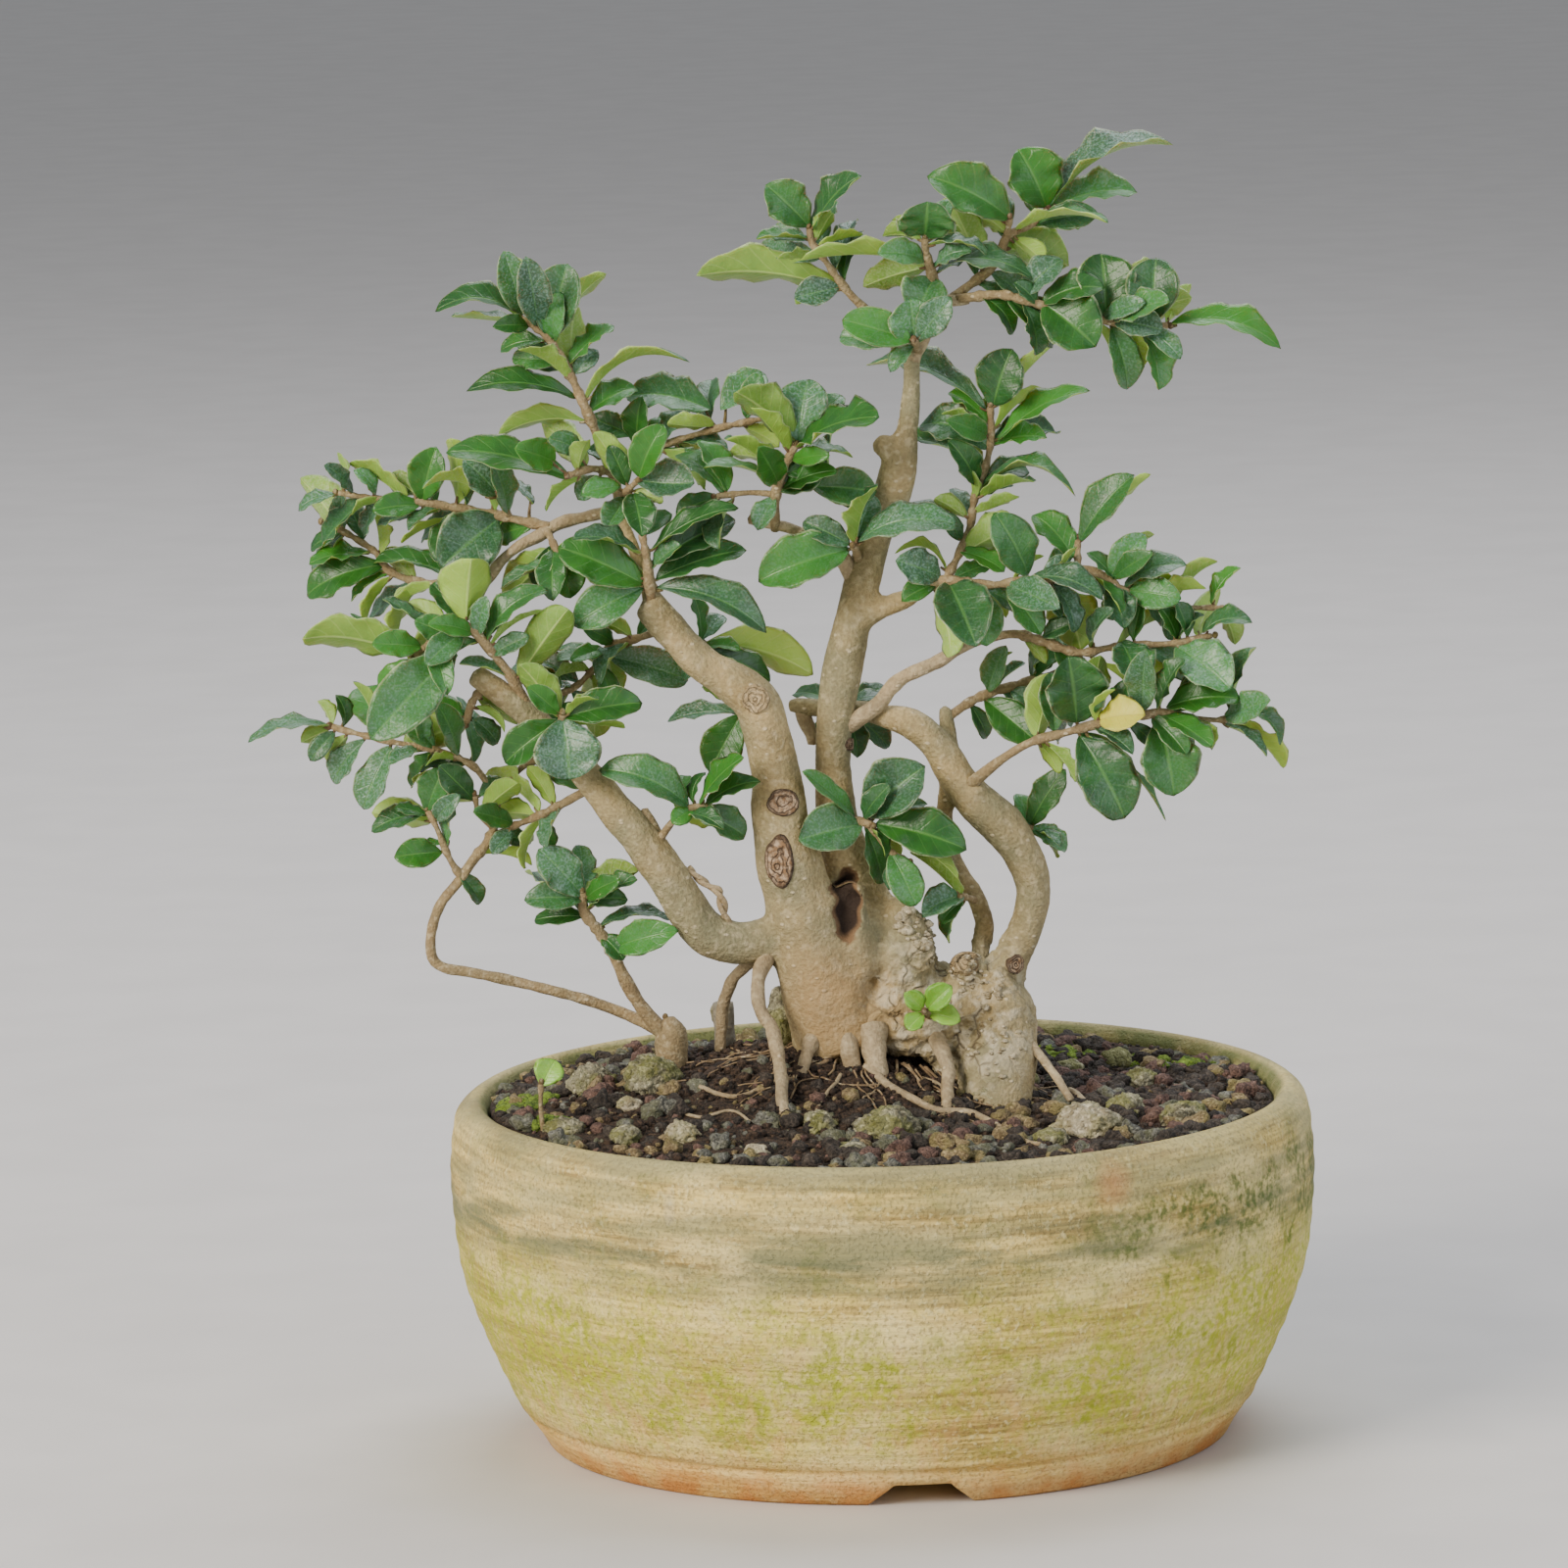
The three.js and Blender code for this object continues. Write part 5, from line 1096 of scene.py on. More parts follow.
@dataclass
class Leaf:
    """One leaf, placed: where it grows from, which way it runs and faces, and its size."""

    root: np.ndarray
    base: np.ndarray
    along: np.ndarray
    face: np.ndarray
    side: np.ndarray
    length: float
    width: float
    arch: float
    phase: float

    def points(self, share: np.ndarray, across: np.ndarray, lift: np.ndarray | float = 0.0,
               blade: Blade = CAD_BLADE) -> np.ndarray:
        """Gives points of the blade.

        Args:
            share: their places along it, 0 to 1.
            across: their places across it, -1 to 1.
            lift: how far they stand off its middle surface.
            blade: how it is formed.

        Returns:
            The points in millimetres, one a row.
        """
        form = np.clip(np.sin(math.pi * share ** blade.peak), 0.0, 1.0) ** blade.blunt
        half = self.width / 2 * form * blade.wide
        lag = np.where(across > 0, 0.0, 2.4)
        wave = EDGE_WAVE * self.width * across ** 2 * np.cos(11 * share + lag + self.phase)
        fine = np.abs(across) ** 2.2 * np.cos(21 * share + lag * 2 + self.phase) * form
        bow = self.arch * 4 * share * (1 - share) + blade.keel * half * np.abs(across) ** blade.fold + wave
        bow = bow + blade.ripple * self.width * fine - blade.curl * self.length * share ** 4 + lift
        return (self.base + np.outer(self.length * share, self.along) + np.outer(half * across, self.side)
                + np.outer(bow, self.face))

    def balls(self) -> np.ndarray:
        """Gives points all over the blade, for keeping it clear of other stems.

        Returns:
            The points in millimetres, one a row.
        """
        rows = max(2, math.ceil(self.length / SPACING))
        columns = max(2, math.ceil(self.width / SPACING))
        places = [(min(i / rows, 0.98), 2 * k / columns - 1) for i in range(1, rows + 1)
                  for k in range(columns + 1) if i / rows * self.length > 1.5]
        share, across = np.array(places).T
        return self.points(share, across)

    def draw(self, draft: Draft, slots: tuple[int, int, int], tone: float, dust: float, blade: Blade,
             rows: int = 16, columns: int = 10) -> None:
        """Adds the blade with its midrib, and its stalk.

        Args:
            draft: the draft to add to.
            slots: the places of the upper face's, the underside's and the stalk's materials.
            tone: how fresh its green is, 0 to 1.
            dust: how dusty it is, 0 to 1.
            blade: how it is formed.
            rows: divisions along it.
            columns: divisions across it.
        """
        even = np.arange(1, rows) / rows
        closer = 0.5 * even + 0.5 * (1 - np.cos(math.pi * even)) / 2
        share, across = np.meshgrid(closer, np.linspace(-1, 1, columns + 1), indexing="ij")
        share, across = share.ravel(), across.ravel()
        thick = 0.24 * (1 - across ** 2)
        rib = np.exp(-(across / 0.16) ** 2) * (1 - share)
        top = self.points(share, across, thick - 0.2 * rib, blade)
        low = self.points(share, across, -thick - 0.42 * rib, blade)
        inner = np.abs(across) < 0.999
        number = np.cumsum(inner) - 1
        ends = self.points(np.array([0.0, 1.0]), np.zeros(2), 0.0, blade)
        wide = columns + 1
        low_at = np.where(inner, len(top) + 2 + number, np.arange(len(top)) + 2)
        upper, under = [], []
        for i in range(rows - 2):
            for k in range(columns):
                a, b = i * wide + k, (i + 1) * wide + k
                upper.append((a + 2, b + 2, b + 3, a + 3))
                under.append((int(low_at[a]), int(low_at[a + 1]), int(low_at[b + 1]), int(low_at[b])))
        last = (rows - 2) * wide
        for k in range(columns):
            upper += [(0, k + 2, k + 3), (last + k + 2, 1, last + k + 3)]
            under += [(0, int(low_at[k + 1]), int(low_at[k])),
                      (int(low_at[last + k]), int(low_at[last + k + 1]), 1)]
        every = np.vstack([ends, top, low[inner]])
        run = np.concatenate([[0.0, 1.0], share, share[inner]])
        reach = np.concatenate([[0.0, 0.0], across, across[inner]])
        kinds = [slots[0]] * len(upper) + [slots[1]] * len(under)
        draft.add(every, upper + under, kinds, along=run, across=reach, tone=tone, dust=dust)
        neck = self.base + self.along * min(2.0, self.length * 0.12)
        middle = (self.root + neck) / 2 - self.face * 0.12 * float(np.linalg.norm(neck - self.root))
        draft.limb(np.array([self.root, middle, neck]), np.array(STALK_RADII), 1.0, 6, slots[2])


class Clearance:
    """Knows what room is taken, and leans each leaf by as little as clears it."""

    def __init__(self) -> None:
        """Starts with the wood's room taken."""
        self.taken = np.zeros((120000, 5))
        self.count = 0
        self.reach = 0.0
        for rows in [*TRUNK_LIMBS, *ROOTS, CUT_STUB]:
            self.take_limb(rows, -1)

    def take(self, points: np.ndarray, radii: np.ndarray, owner: int) -> None:
        """Marks room as taken.

        Args:
            points: the middles of the balls that fill it.
            radii: their radii.
            owner: its owner's number, -1 for the wood.
        """
        block = self.taken[self.count:self.count + len(points)]
        block[:, :3], block[:, 3], block[:, 4] = points, radii, owner
        self.count += len(points)
        self.reach = max(self.reach, float(radii.max()) + ROOM)

    def take_limb(self, rows: Rows, owner: int) -> None:
        """Marks a limb's room as taken.

        Args:
            rows: the limb's stations.
            owner: its owner's number.
        """
        points, radii = stations(rows)
        for i in range(len(points) - 1):
            steps = math.ceil(float(np.linalg.norm(points[i + 1] - points[i])) / SPACING)
            share = np.arange(steps + 1) / steps
            line = points[i] + np.outer(share, points[i + 1] - points[i])
            self.take(line, radii[i] + share * (radii[i + 1] - radii[i]), owner)

    def crowd(self, leaf: Leaf, balls: np.ndarray, owner: int) -> int:
        """Counts how badly a leaf crowds what is placed.

        Args:
            leaf: the leaf.
            balls: points all over its blade.
            owner: its stem's number.

        Returns:
            The count, 0 where it is clear.
        """
        kept = self.taken[:self.count]
        low, high = balls.min(axis=0) - self.reach, balls.max(axis=0) + self.reach
        kept = kept[((kept[:, :3] > low) & (kept[:, :3] < high)).all(axis=1)]
        own = kept[:, 4] == owner
        room = kept[:, 3] + np.where(own, OWN_ROOM, ROOM)
        near = ((balls[:, None, :] - kept[None, :, :3]) ** 2).sum(axis=2) < room ** 2
        far_from_base = np.linalg.norm(balls - leaf.base, axis=1) > STALK_ROOM
        return int(10 * near[:, ~own].sum() + (near[:, own] & far_from_base[:, None]).sum())


@dataclass
class Stem:
    """One leafy stem: its twigs and leaves, from the tables' rows."""

    name: str
    twigs: list[Rows]
    leaves: Rows
    placed: list[Leaf] = field(default_factory=list)

    def nearest(self, x: float, z: float) -> tuple[float, float, float]:
        """Finds the nearest point of the twigs to a pick.

        Args:
            x: the pick's place across.
            z: its height.

        Returns:
            The point's x, z and depth.
        """
        best, found = math.inf, (0.0, 0.0, 0.0)
        for rows in self.twigs:
            for (ax, az, ay, _), (bx, bz, by, _) in zip(rows, rows[1:]):
                span = (bx - ax) ** 2 + (bz - az) ** 2
                share = min(1.0, max(0.0, ((x - ax) * (bx - ax) + (z - az) * (bz - az)) / span))
                point = (ax + share * (bx - ax), az + share * (bz - az), ay + share * (by - ay))
                away = math.hypot(point[0] - x, point[1] - z)
                if away < best:
                    best, found = away, point
        return found

    def leaf(self, row: list[float], extra: float) -> Leaf:
        """Places one leaf.

        Args:
            row: base x and z, tip x and z, width, roll, lean and arch.
            extra: how much deeper its tip goes than its lean says.

        Returns:
            The leaf.
        """
        base_x, base_z, tip_x, tip_z, width, roll, lean, arch = row
        root_x, root_z, depth = self.nearest(base_x, base_z)
        base = seen(base_x, base_z, depth)
        ahead = seen(tip_x, tip_z, depth + lean + extra) - base
        length = float(np.linalg.norm(ahead))
        along = ahead / length
        front = unit(TO_VIEWER - along * float(TO_VIEWER @ along))
        rise = np.cross(along, front)
        if rise[2] < 0:
            rise = -rise
        turn = math.radians(roll)
        face = front * math.cos(turn) + rise * math.sin(turn)
        phase = math.fmod(base_x * 7 + base_z * 3, 6)
        return Leaf(seen(root_x, root_z, depth), base, along, face, np.cross(face, along), length, width, arch, phase)

    def place(self, clearance: Clearance, number: int, row: list[float], keep_crowded: bool = True
              ) -> tuple[Leaf, int]:
        """Leans one leaf forward or back until it is clear, and takes its room.

        Args:
            clearance: the room that is taken.
            number: this stem's number.
            row: the leaf's row.
            keep_crowded: whether a leaf that nowhere is clear takes room too.

        Returns:
            The leaf and how badly it still crowds.
        """
        best, chosen, room = math.inf, None, None
        for step in range(2 * LEAN_STEPS + 1):
            extra = (-1 if step % 2 else 1) * math.ceil(step / 2) * LEAN_STEP
            leaf = self.leaf(row, extra)
            balls = leaf.balls()
            crowd = clearance.crowd(leaf, balls, number)
            if crowd < best:
                best, chosen, room = crowd, leaf, balls
            if crowd == 0:
                break
        if keep_crowded or best == 0:
            clearance.take(room, np.zeros(len(room)), number)
        return chosen, int(best)

    def place_all(self, clearance: Clearance, number: int) -> None:
        """Places every leaf of the table."""
        self.placed = [self.place(clearance, number, row)[0] for row in self.leaves]


# Leaf rows: base x and z, tip x and z, width, roll, lean and arch. Twig rows: x, z, depth and diameter

SIDE_STEM = Stem("side_stem", twigs=[
  [[-29, 92, -2, 8], [-29, 99, -2, 9], [-29, 104, -2, 8], [-30, 107, -2, 4.5]],
  [[-29.5, 102, -2, 5], [-36, 110, -3, 4.2], [-40, 117, -4, 4], [-43, 124, -5, 3.4], [-46.5, 130, -6, 3.2],
    [-50, 135, -7, 2.6], [-50.5, 140, -8, 1.8]],
  [[-30, 103.5, -2, 4.4], [-40, 108.5, 2, 3.4], [-50, 112.5, 2, 3.2], [-60, 115.5, 1, 3.2], [-70, 118.2, 0, 3.2],
    [-80, 120.5, 0, 3.2], [-86, 121.7, 0, 3.2], [-89, 124.5, 0, 3.1], [-89, 131, 0, 3.1], [-86.5, 138, 0, 3.1],
    [-82, 143.5, 0, 3.1], [-78, 149, 0, 3], [-74, 154, 0, 2.9], [-72, 159, 0, 2.8], [-71.5, 166, 0, 2.5]],
  [[-71.5, 164.5, 0, 2.2], [-76, 172, -2, 1.9], [-81, 175.5, -3, 1.8], [-88, 178, -4, 1.7], [-98, 180, -5, 1.6],
    [-109, 183, -5, 1.5], [-112.5, 184.2, -5, 1.4]],
  [[-71.5, 164.5, 0, 2.2], [-65, 172.5, 3, 1.8], [-58.5, 175, 5, 1.5]],
  [[-81, 144.8, 0, 2], [-84, 150, -2, 1.7], [-87, 158, -3, 1.6], [-89, 162, -3, 1.4]],
  [[-72.5, 157, 0, 2], [-76, 161, -2, 1.6], [-77, 165.5, -3, 1.3]],
], leaves=[
  [-50.5, 139.5, -61, 151.5, 10, 15, -4, 1], [-50.2, 138.5, -65, 139, 7.5, 20, -4, 1],
  [-49, 134, -63, 133.5, 6, 40, 4, 0.6], [-50.3, 140, -36, 145.5, 8, 145, 4, 1],
  [-50, 138, -39, 138.5, 6, 30, 3, 0.5], [-50.5, 140, -51, 152.5, 7, 30, 3, 0.5],
  [-47, 131, -28, 133.5, 6, 60, 3, 2.5], [-46, 129, -40.5, 122.5, 7, 30, 3, 0.5],
  [-43.5, 125.5, -27.5, 130, 8.5, 15, -4, 1.5],
  [-89.2, 162, -84.5, 173, 8, 15, -2, 1],
  [-89.2, 161.5, -103.5, 158, 7, 40, -3, 1],
  [-76.5, 151, -63, 147.5, 6, 110, 4, 1.5],
  [-112.5, 184.2, -134, 181.6, 6.5, 60, -3, 2.5],
])

SEEDLING = Stem("weed_seedling", twigs=[
  [[-61.5, 74, -38, 1.6], [-62.5, 84, -38, 1.4], [-62.3, 91, -38, 1.3]],
], leaves=[
  [-62.2, 90.5, -58.5, 97.5, 7.5, 5, 2, 0.3],
])

SPRAYS = [
  Stem("tip_left_spray", twigs=[[
    [-39.5, 245, 0, 3], [-43.5, 256, -2, 2.8], [-47.5, 266, -4, 2.4], [-50.5, 273, -5, 2.2],
    [-54.7, 280.5, -6, 1.8], [-58, 283.5, -6, 1.6], [-62, 286.5, -6, 1.4],
  ]], leaves=[
    [-62, 286.5, -83, 290.3, 9, 55, -3, 4], [-60.5, 285, -79.5, 287, 7, 80, 5, 0.5],
    [-54.7, 281, -50, 299.8, 12, 12, -2, 1], [-54.5, 281, -42, 298, 8, 120, 6, 1],
    [-48.5, 266, -75.5, 270.5, 8, 45, -5, 2.5],
    [-46.5, 265.5, -21, 277, 8, 95, -3, 5], [-46, 262, -33.5, 269, 8, 35, 5, 1],
    [-46, 260, -68.5, 257.5, 7, 130, 4, 3],
  ]),
  Stem("upper_left_spray", twigs=[
    [[-39.5, 246.5, 0, 2.4], [-45, 248, -7, 2], [-51, 246.5, -12, 1.6]],
  ], leaves=[
    [-51, 246, -81, 254.7, 10, 40, -4, 2], [-54.5, 250, -63.5, 253.5, 8, 10, -4, 0.5],
    [-47.5, 253, -56, 256, 6, 10, -4, 0.4],
    [-43, 246, -49, 240.5, 6, 15, -3, 0.4],
  ]),
  Stem("upper_centre_left_spray", twigs=[
    [[-39, 246, 1, 2.2], [-34, 251, 5, 2], [-25, 254.2, 6, 1.8], [-13.5, 257.4, 5, 1.7], [-1, 259.8, 4, 1.6]],
    [[-34, 251, 5, 1.8], [-34.3, 256, 4, 1.4]],
  ], leaves=[
    [-34.5, 256, -45.5, 261, 6.5, 15, 2, 0.5],
    [-33.5, 254, -32.5, 265.8, 7, 25, -4, 1], [-14.5, 262, -36, 267, 12, 40, 3, 2],
    [-12.5, 262, -1, 270.8, 9.5, 25, 6, 1.2],
    [-14.2, 258.5, -26, 259.5, 6, 130, -6, -0.8],
  ]),
  Stem("inner_left_spray", twigs=[
    [[-38.5, 241, 0, 2.2], [-37, 241.8, -7, 1.8], [-34, 244.5, -12, 1.6]],
  ], leaves=[
    [-33.5, 245.5, -27.5, 258.5, 8.5, 20, -4, 1], [-36.6, 240.6, -42, 232.5, 6.6, 15, -8, 0.5],
    [-35, 241.5, -33, 231, 8, 15, -4, 0.6], [-34.5, 245, -19.5, 243.8, 10, 25, -5, -1.2],
    [-38, 243.5, -48, 242, 6, 25, -4, 0.4],
  ]),
  Stem("left_crown_spray", twigs=[
    [[-56, 233.5, 0, 3], [-66, 236, 3, 2.6], [-72, 237.5, 4, 2.4], [-80, 239, 5, 2.2], [-88, 240.5, 5, 1.8],
      [-101, 242, 6, 1.5], [-109, 243.5, 7, 1.2]],
    [[-66.5, 236.5, 3, 1.8], [-69, 242, 1, 1.5]],
  ], leaves=[
    [-88, 241, -84.5, 254.3, 9.5, 10, -3, 1],
    [-89, 242.5, -96.5, 247.5, 6, 150, 4, 0.5], [-70.5, 241, -88, 246, 6, 120, -4, 3],
    [-69, 242, -77, 251, 9, 20, 0, 0.5],
    [-88.5, 240, -100.5, 239, 6.5, 20, -5, 0.6],
    [-69, 236, -83.5, 224.5, 15, 5, -9, 1],
    [-60.5, 234, -70, 231.5, 7, 20, -6, 0.5],
    [-80, 237, -94, 231, 6, 100, 4, 0.6],
  ]),
  Stem("far_left_back_spray", twigs=[[
    [-71, 222.5, -1, 2.6], [-79, 219.5, 6, 2.4], [-90, 220.5, 12, 2.2], [-97, 223.5, 14, 2],
    [-100, 228, 15, 1.8], [-107, 233, 16, 1.5], [-113, 236, 17, 1.2],
  ]], leaves=[
    [-103, 231.5, -107, 241.5, 6, 20, 3, 0.5],
    [-98, 225, -118.5, 218.4, 10, 28, 2, 2.5], [-80, 220.8, -100.8, 226.5, 8, 55, 6, 2],
  ]),
  Stem("left_hanging_spray", twigs=[
    [[-57, 233, 0, 2.6], [-55.5, 229.5, -5, 1.9], [-54, 226, -8, 1.5]],
  ], leaves=[
    [-55.8, 229, -57.5, 217.2, 8, 12, -3, 1], [-54, 226.5, -51.3, 215.5, 9, 10, -3, 1],
  ]),
  Stem("left_mid_spray", twigs=[[
    [-61.5, 184.5, -10, 3.6], [-66.5, 195, -12, 2.8], [-71.5, 202, -14, 2.4], [-76, 207.5, -15, 2.2],
    [-80, 209.5, -16, 1.9], [-86, 206, -17, 1.6], [-91, 201.5, -18, 1.4],
  ]], leaves=[
    [-78, 209.5, -76, 226, 13, 160, -6, 1],
    [-73, 205, -58, 218.5, 8, 45, -3, 3],
    [-65.5, 195, -52, 213, 10, 165, -9, 1],
    [-80.5, 203.5, -103, 180.5, 14, 5, -8, 1.5],
    [-91, 201.3, -119, 208.5, 13, 130, -3, 2],
    [-81, 206, -91, 210.5, 6.5, 15, 2, 0.5],
  ]),
  Stem("limb_tip_spray", twigs=[
    [[-73, 194.3, -10, 3], [-77, 189.5, -7, 1.9], [-78.5, 184.5, -5, 1.5]],
  ], leaves=[
    [-78.5, 184, -94.5, 178.8, 10, 155, 3, 1],
    [-75.5, 191, -66, 184.5, 6, 150, 5, 0.5], [-78.8, 186, -88, 190.5, 6, 40, 4, 0.5],
  ]),
  Stem("fork_spray", twigs=[
    [[-31, 212.5, -8, 3.4], [-31.5, 219, -12, 2.6], [-32, 225, -14, 2.2], [-33, 231, -15, 1.8]],
  ], leaves=[
    [-33, 218.5, -54, 228.5, 12, 20, -4, 1.5], [-33.5, 226, -50, 231.6, 7, 60, 2, 1.5],
    [-33, 217.5, -51, 209, 10.5, 15, -4, 1.5], [-31, 227, -9.5, 238.5, 7.5, 55, -5, 1.5],
    [-30, 224, -9.5, 235, 9, 20, 6, 1], [-30, 219.5, -7, 227, 9, 40, -3, 1.2],
    [-30, 217.5, -2, 206.5, 10, 40, -5, 4],
  ]),
  Stem("behind_branch_spray", twigs=[
    [[-27, 207.5, -6, 3], [-34, 205, 5, 2.2], [-41.5, 203, 9, 2.1], [-46, 197.5, 11, 1.9], [-51, 192.8, 12, 1.7],
      [-57, 190.4, 12, 1.4]],
  ], leaves=[
    [-42.5, 200.5, -22, 194, 9.5, 15, 3, 1], [-45, 198.5, -56, 203, 6, 60, 4, 1],
    [-50, 194, -61, 200.5, 7, 20, 4, 1],
    [-35, 205, -26, 213, 6, 40, 6, 0.6], [-52, 192, -47, 184, 6, 30, 4, 0.6],
  ]),
  Stem("limb_underside_spray", twigs=[
    [[-21, 199.5, -7, 3], [-19.5, 202, 1, 2], [-18.3, 203, 7, 1.6]],
  ], leaves=[
    [-18.5, 203.2, 9.3, 195.3, 12, 145, 4, 3.5], [-18, 201.5, -1, 193.5, 7, 30, 5, 1],
    [-19, 203.5, -13, 210.5, 6, 30, 6, 0.4],
  ]),
  Stem("trunk_left_spray", twigs=[[[-4, 187, -5, 3], [-8, 186, 2, 1.8], [-10, 185.5, 6, 1.5]]], leaves=[
    [-9.5, 185.3, -28, 183.7, 6, 50, 4, 1.2],
  ]),
  Stem("limb_upper_spray", twigs=[[[-55.5, 178.5, -10, 3], [-54.5, 184, -15, 1.9], [-54.3, 186, -17, 1.5]]], leaves=[
    [-54.3, 185, -53, 169, 16, 5, -4, 1.5], [-55, 184.5, -69.5, 174, 9, 15, -3, 1],
    [-54, 185, -34.5, 189, 9, 20, -2, 1],
  ]),
  Stem("limb_side_spray", twigs=[
    [[-46.5, 167.5, -9, 3.2], [-55, 163, -5, 2.4], [-61, 160, -3, 2.2], [-68, 157.5, -1, 1.8]],
  ], leaves=[
    [-57, 162.5, -63, 173, 5.5, 150, 3, 0.5],
  ]),
  Stem("limb_mid_spray", twigs=[
    [[-32, 151.5, -10, 3], [-27, 158, -14, 2], [-23, 161, -16, 1.8], [-19, 161.5, -17, 1.4]],
  ], leaves=[
    [-22.8, 161.3, -44.5, 172.5, 10, 30, -3, 4],
    [-18.8, 161.5, -5.3, 168.3, 6.5, 45, -3, 1.5],
  ]),
  Stem("centre_spray", twigs=[
    [[0.5, 231.5, -2, 3], [0.8, 240, -7, 2.6], [3, 247, -10, 2.2], [6, 252.5, -12, 1.8]],
    [[0.7, 240.5, -7, 1.9], [-6, 241, -8, 1.6], [-14, 240.3, -9, 1.4]],
    [[2, 243.5, -8, 1.7], [8, 242, -5, 1.5], [15, 245, -3, 1.2]],
  ], leaves=[
    [6.3, 253, -8.5, 266.5, 11, 145, -6, 2.5], [7, 253.5, 9.5, 269.5, 13, 15, 5, 1],
    [7.5, 253, 18, 266, 8, 25, 9, 0.8], [6.5, 252, 27.5, 259, 13, 60, -5, 2.5],
    [5.5, 249.5, 20.5, 250.5, 8, 70, 3, 1.5], [1.5, 248, -10.5, 251, 8, 120, 8, 1],
    [1.5, 243, -3.5, 252.7, 8, 15, -6, 0.8], [1, 241.5, 12.5, 247, 10, 15, -9, 1],
    [0, 244.5, -17, 248.5, 6, 70, -3, 1.5], [0.7, 240, -4, 231.5, 6, 20, -4, 0.5],
    [-13.5, 240.3, -24.5, 236, 6, 25, 3, 0.5], [-13, 240, -26, 231.5, 7, 20, 5, 0.5],
    [11, 243, 24, 236, 6.5, 30, 8, 0.8],
  ]),
  Stem("leader_left_spray", twigs=[[[21.5, 223, 2, 3], [20.5, 226, -5, 2.2], [20, 227, -9, 1.7]]], leaves=[
    [19, 226, -4, 219.3, 13, 18, -4, 1.5], [21, 227.8, 46.5, 231.6, 10, 40, -5, 5],
  ]),
  Stem("front_spray", twigs=[
    [[15, 155.5, 2, 3], [19, 157, -6, 2.2], [23, 155.8, -10, 1.8]],
    [[22.5, 156, -9.5, 1.7], [27, 149.5, -8, 1.5], [32, 146.5, -7, 1.3]],
  ], leaves=[
    [21.3, 158, 36.5, 170.5, 14, 15, -5, 1.2], [24, 156, 46.8, 149.8, 12, 20, -6, 1.5],
    [20.5, 156, 4.5, 152.3, 12, 15, -6, 1], [23.5, 154.5, 46, 143.4, 7, 120, -2, 1.2],
    [21.5, 155, 25.5, 140.5, 7, 30, 3, 1],
    [19, 158, 5.5, 169.8, 5.5, 40, -1, 0.8],
  ]),
  Stem("leader_back_spray", twigs=[[[15.5, 188, 4, 3], [16.5, 187, 12, 2], [18, 185.5, 17, 1.5]]], leaves=[
    [18, 185, 28, 175.5, 7, 30, 4, 0.6], [17, 186.5, 3.5, 191.5, 6, 40, 5, 0.5],
    [18, 186, 27.5, 191, 6, 40, 6, 0.5], [17.5, 185, 9, 177, 6, 20, 5, 0.6],
  ]),
  Stem("right_limb_spray", twigs=[[[58.5, 151.5, 0, 3], [62, 153.7, 4, 1.9], [63.5, 154, 7, 1.5]]], leaves=[
    [63, 154, 73, 148.5, 6, 30, 3, 1.2], [63, 154.2, 60, 163, 5.5, 30, 4, 0.6],
  ]),
  Stem("inner_limb_spray", twigs=[[[49.5, 135.5, 9, 3], [47, 136.5, 3, 1.8], [45.5, 136.8, 0, 1.5]]], leaves=[
    [46, 136.8, 35.5, 132.6, 8, 35, -2, 1.5],
  ]),
  Stem("spur_spray", twigs=[
    [[42.5, 182.5, 5.5, 3], [50, 187.3, 9, 2.4], [58, 190, 10, 2.2], [65, 192, 11, 2], [73, 194, 12, 1.5]],
  ], leaves=[
    [57, 189, 66.5, 181, 6, 35, 4, 0.6], [66, 191.5, 75.5, 180, 6, 40, 4, 0.6],
    [72, 194, 81, 188.5, 6, 35, 4, 0.6],
  ]),
  Stem("right_low_spray", twigs=[
    [[47, 164.5, -2, 4.4], [56, 171.5, -9, 2.8], [64, 176, -13, 2.5], [72, 178, -16, 2.4], [80, 180, -18, 2.2],
      [92, 182, -18, 2], [97, 182.8, -17, 1.9], [104, 181.3, -16, 1.8], [112, 180.5, -15, 1.7],
      [117.5, 182.5, -14, 1.4]],
  ], leaves=[
    [75.5, 180.5, 73.5, 197.7, 15, 12, -5, 1], [81, 181, 92.5, 182.4, 9, 25, -7, 1.2],
    [76, 177.5, 87.5, 156.3, 14.5, 12, -6, 1.5],
    [95.8, 180.8, 100, 161.5, 14.5, 12, -5, 1.2], [98, 184, 116.5, 186.5, 10, 40, -5, 1.2],
    [117.5, 182.8, 127.5, 174.5, 6, 50, -2, 2.5],
  ]),
  Stem("right_mid_spray", twigs=[
    [[52, 202.5, -5, 3.2], [60, 203.6, -7, 2.6], [66, 202, -9, 2.4], [76, 198.5, -10, 2.2], [84, 199.5, -10, 2.1],
      [92, 200, -10, 1.9], [101, 200.3, -10, 1.8], [110, 202, -10, 1.5]],
  ], leaves=[
    [67, 202.5, 75.5, 206, 5.5, 30, -3, 0.4], [87, 201, 91.5, 189.8, 10.5, 20, -6, 0.8],
    [86, 198, 98.5, 190.5, 7, 130, 4, 0.6],
    [100.8, 199.5, 114.5, 188.3, 12.5, 18, -7, 1],
    [101, 201.5, 97, 210, 6.5, 45, -3, 0.5], [104, 201.8, 100.8, 210.8, 6, 40, 4, 0.5],
    [107.5, 202.8, 119.8, 206, 7.5, 55, -3, 2],
    [74, 199, 77, 189, 6, 30, 5, 0.5],
  ]),
  Stem("right_upper_spray", twigs=[
    [[36, 215, -1.5, 4], [43, 217.6, -7, 2.6], [54, 216.2, -10, 2.2], [62, 217, -11, 2.2], [70, 217.5, -11, 2.2],
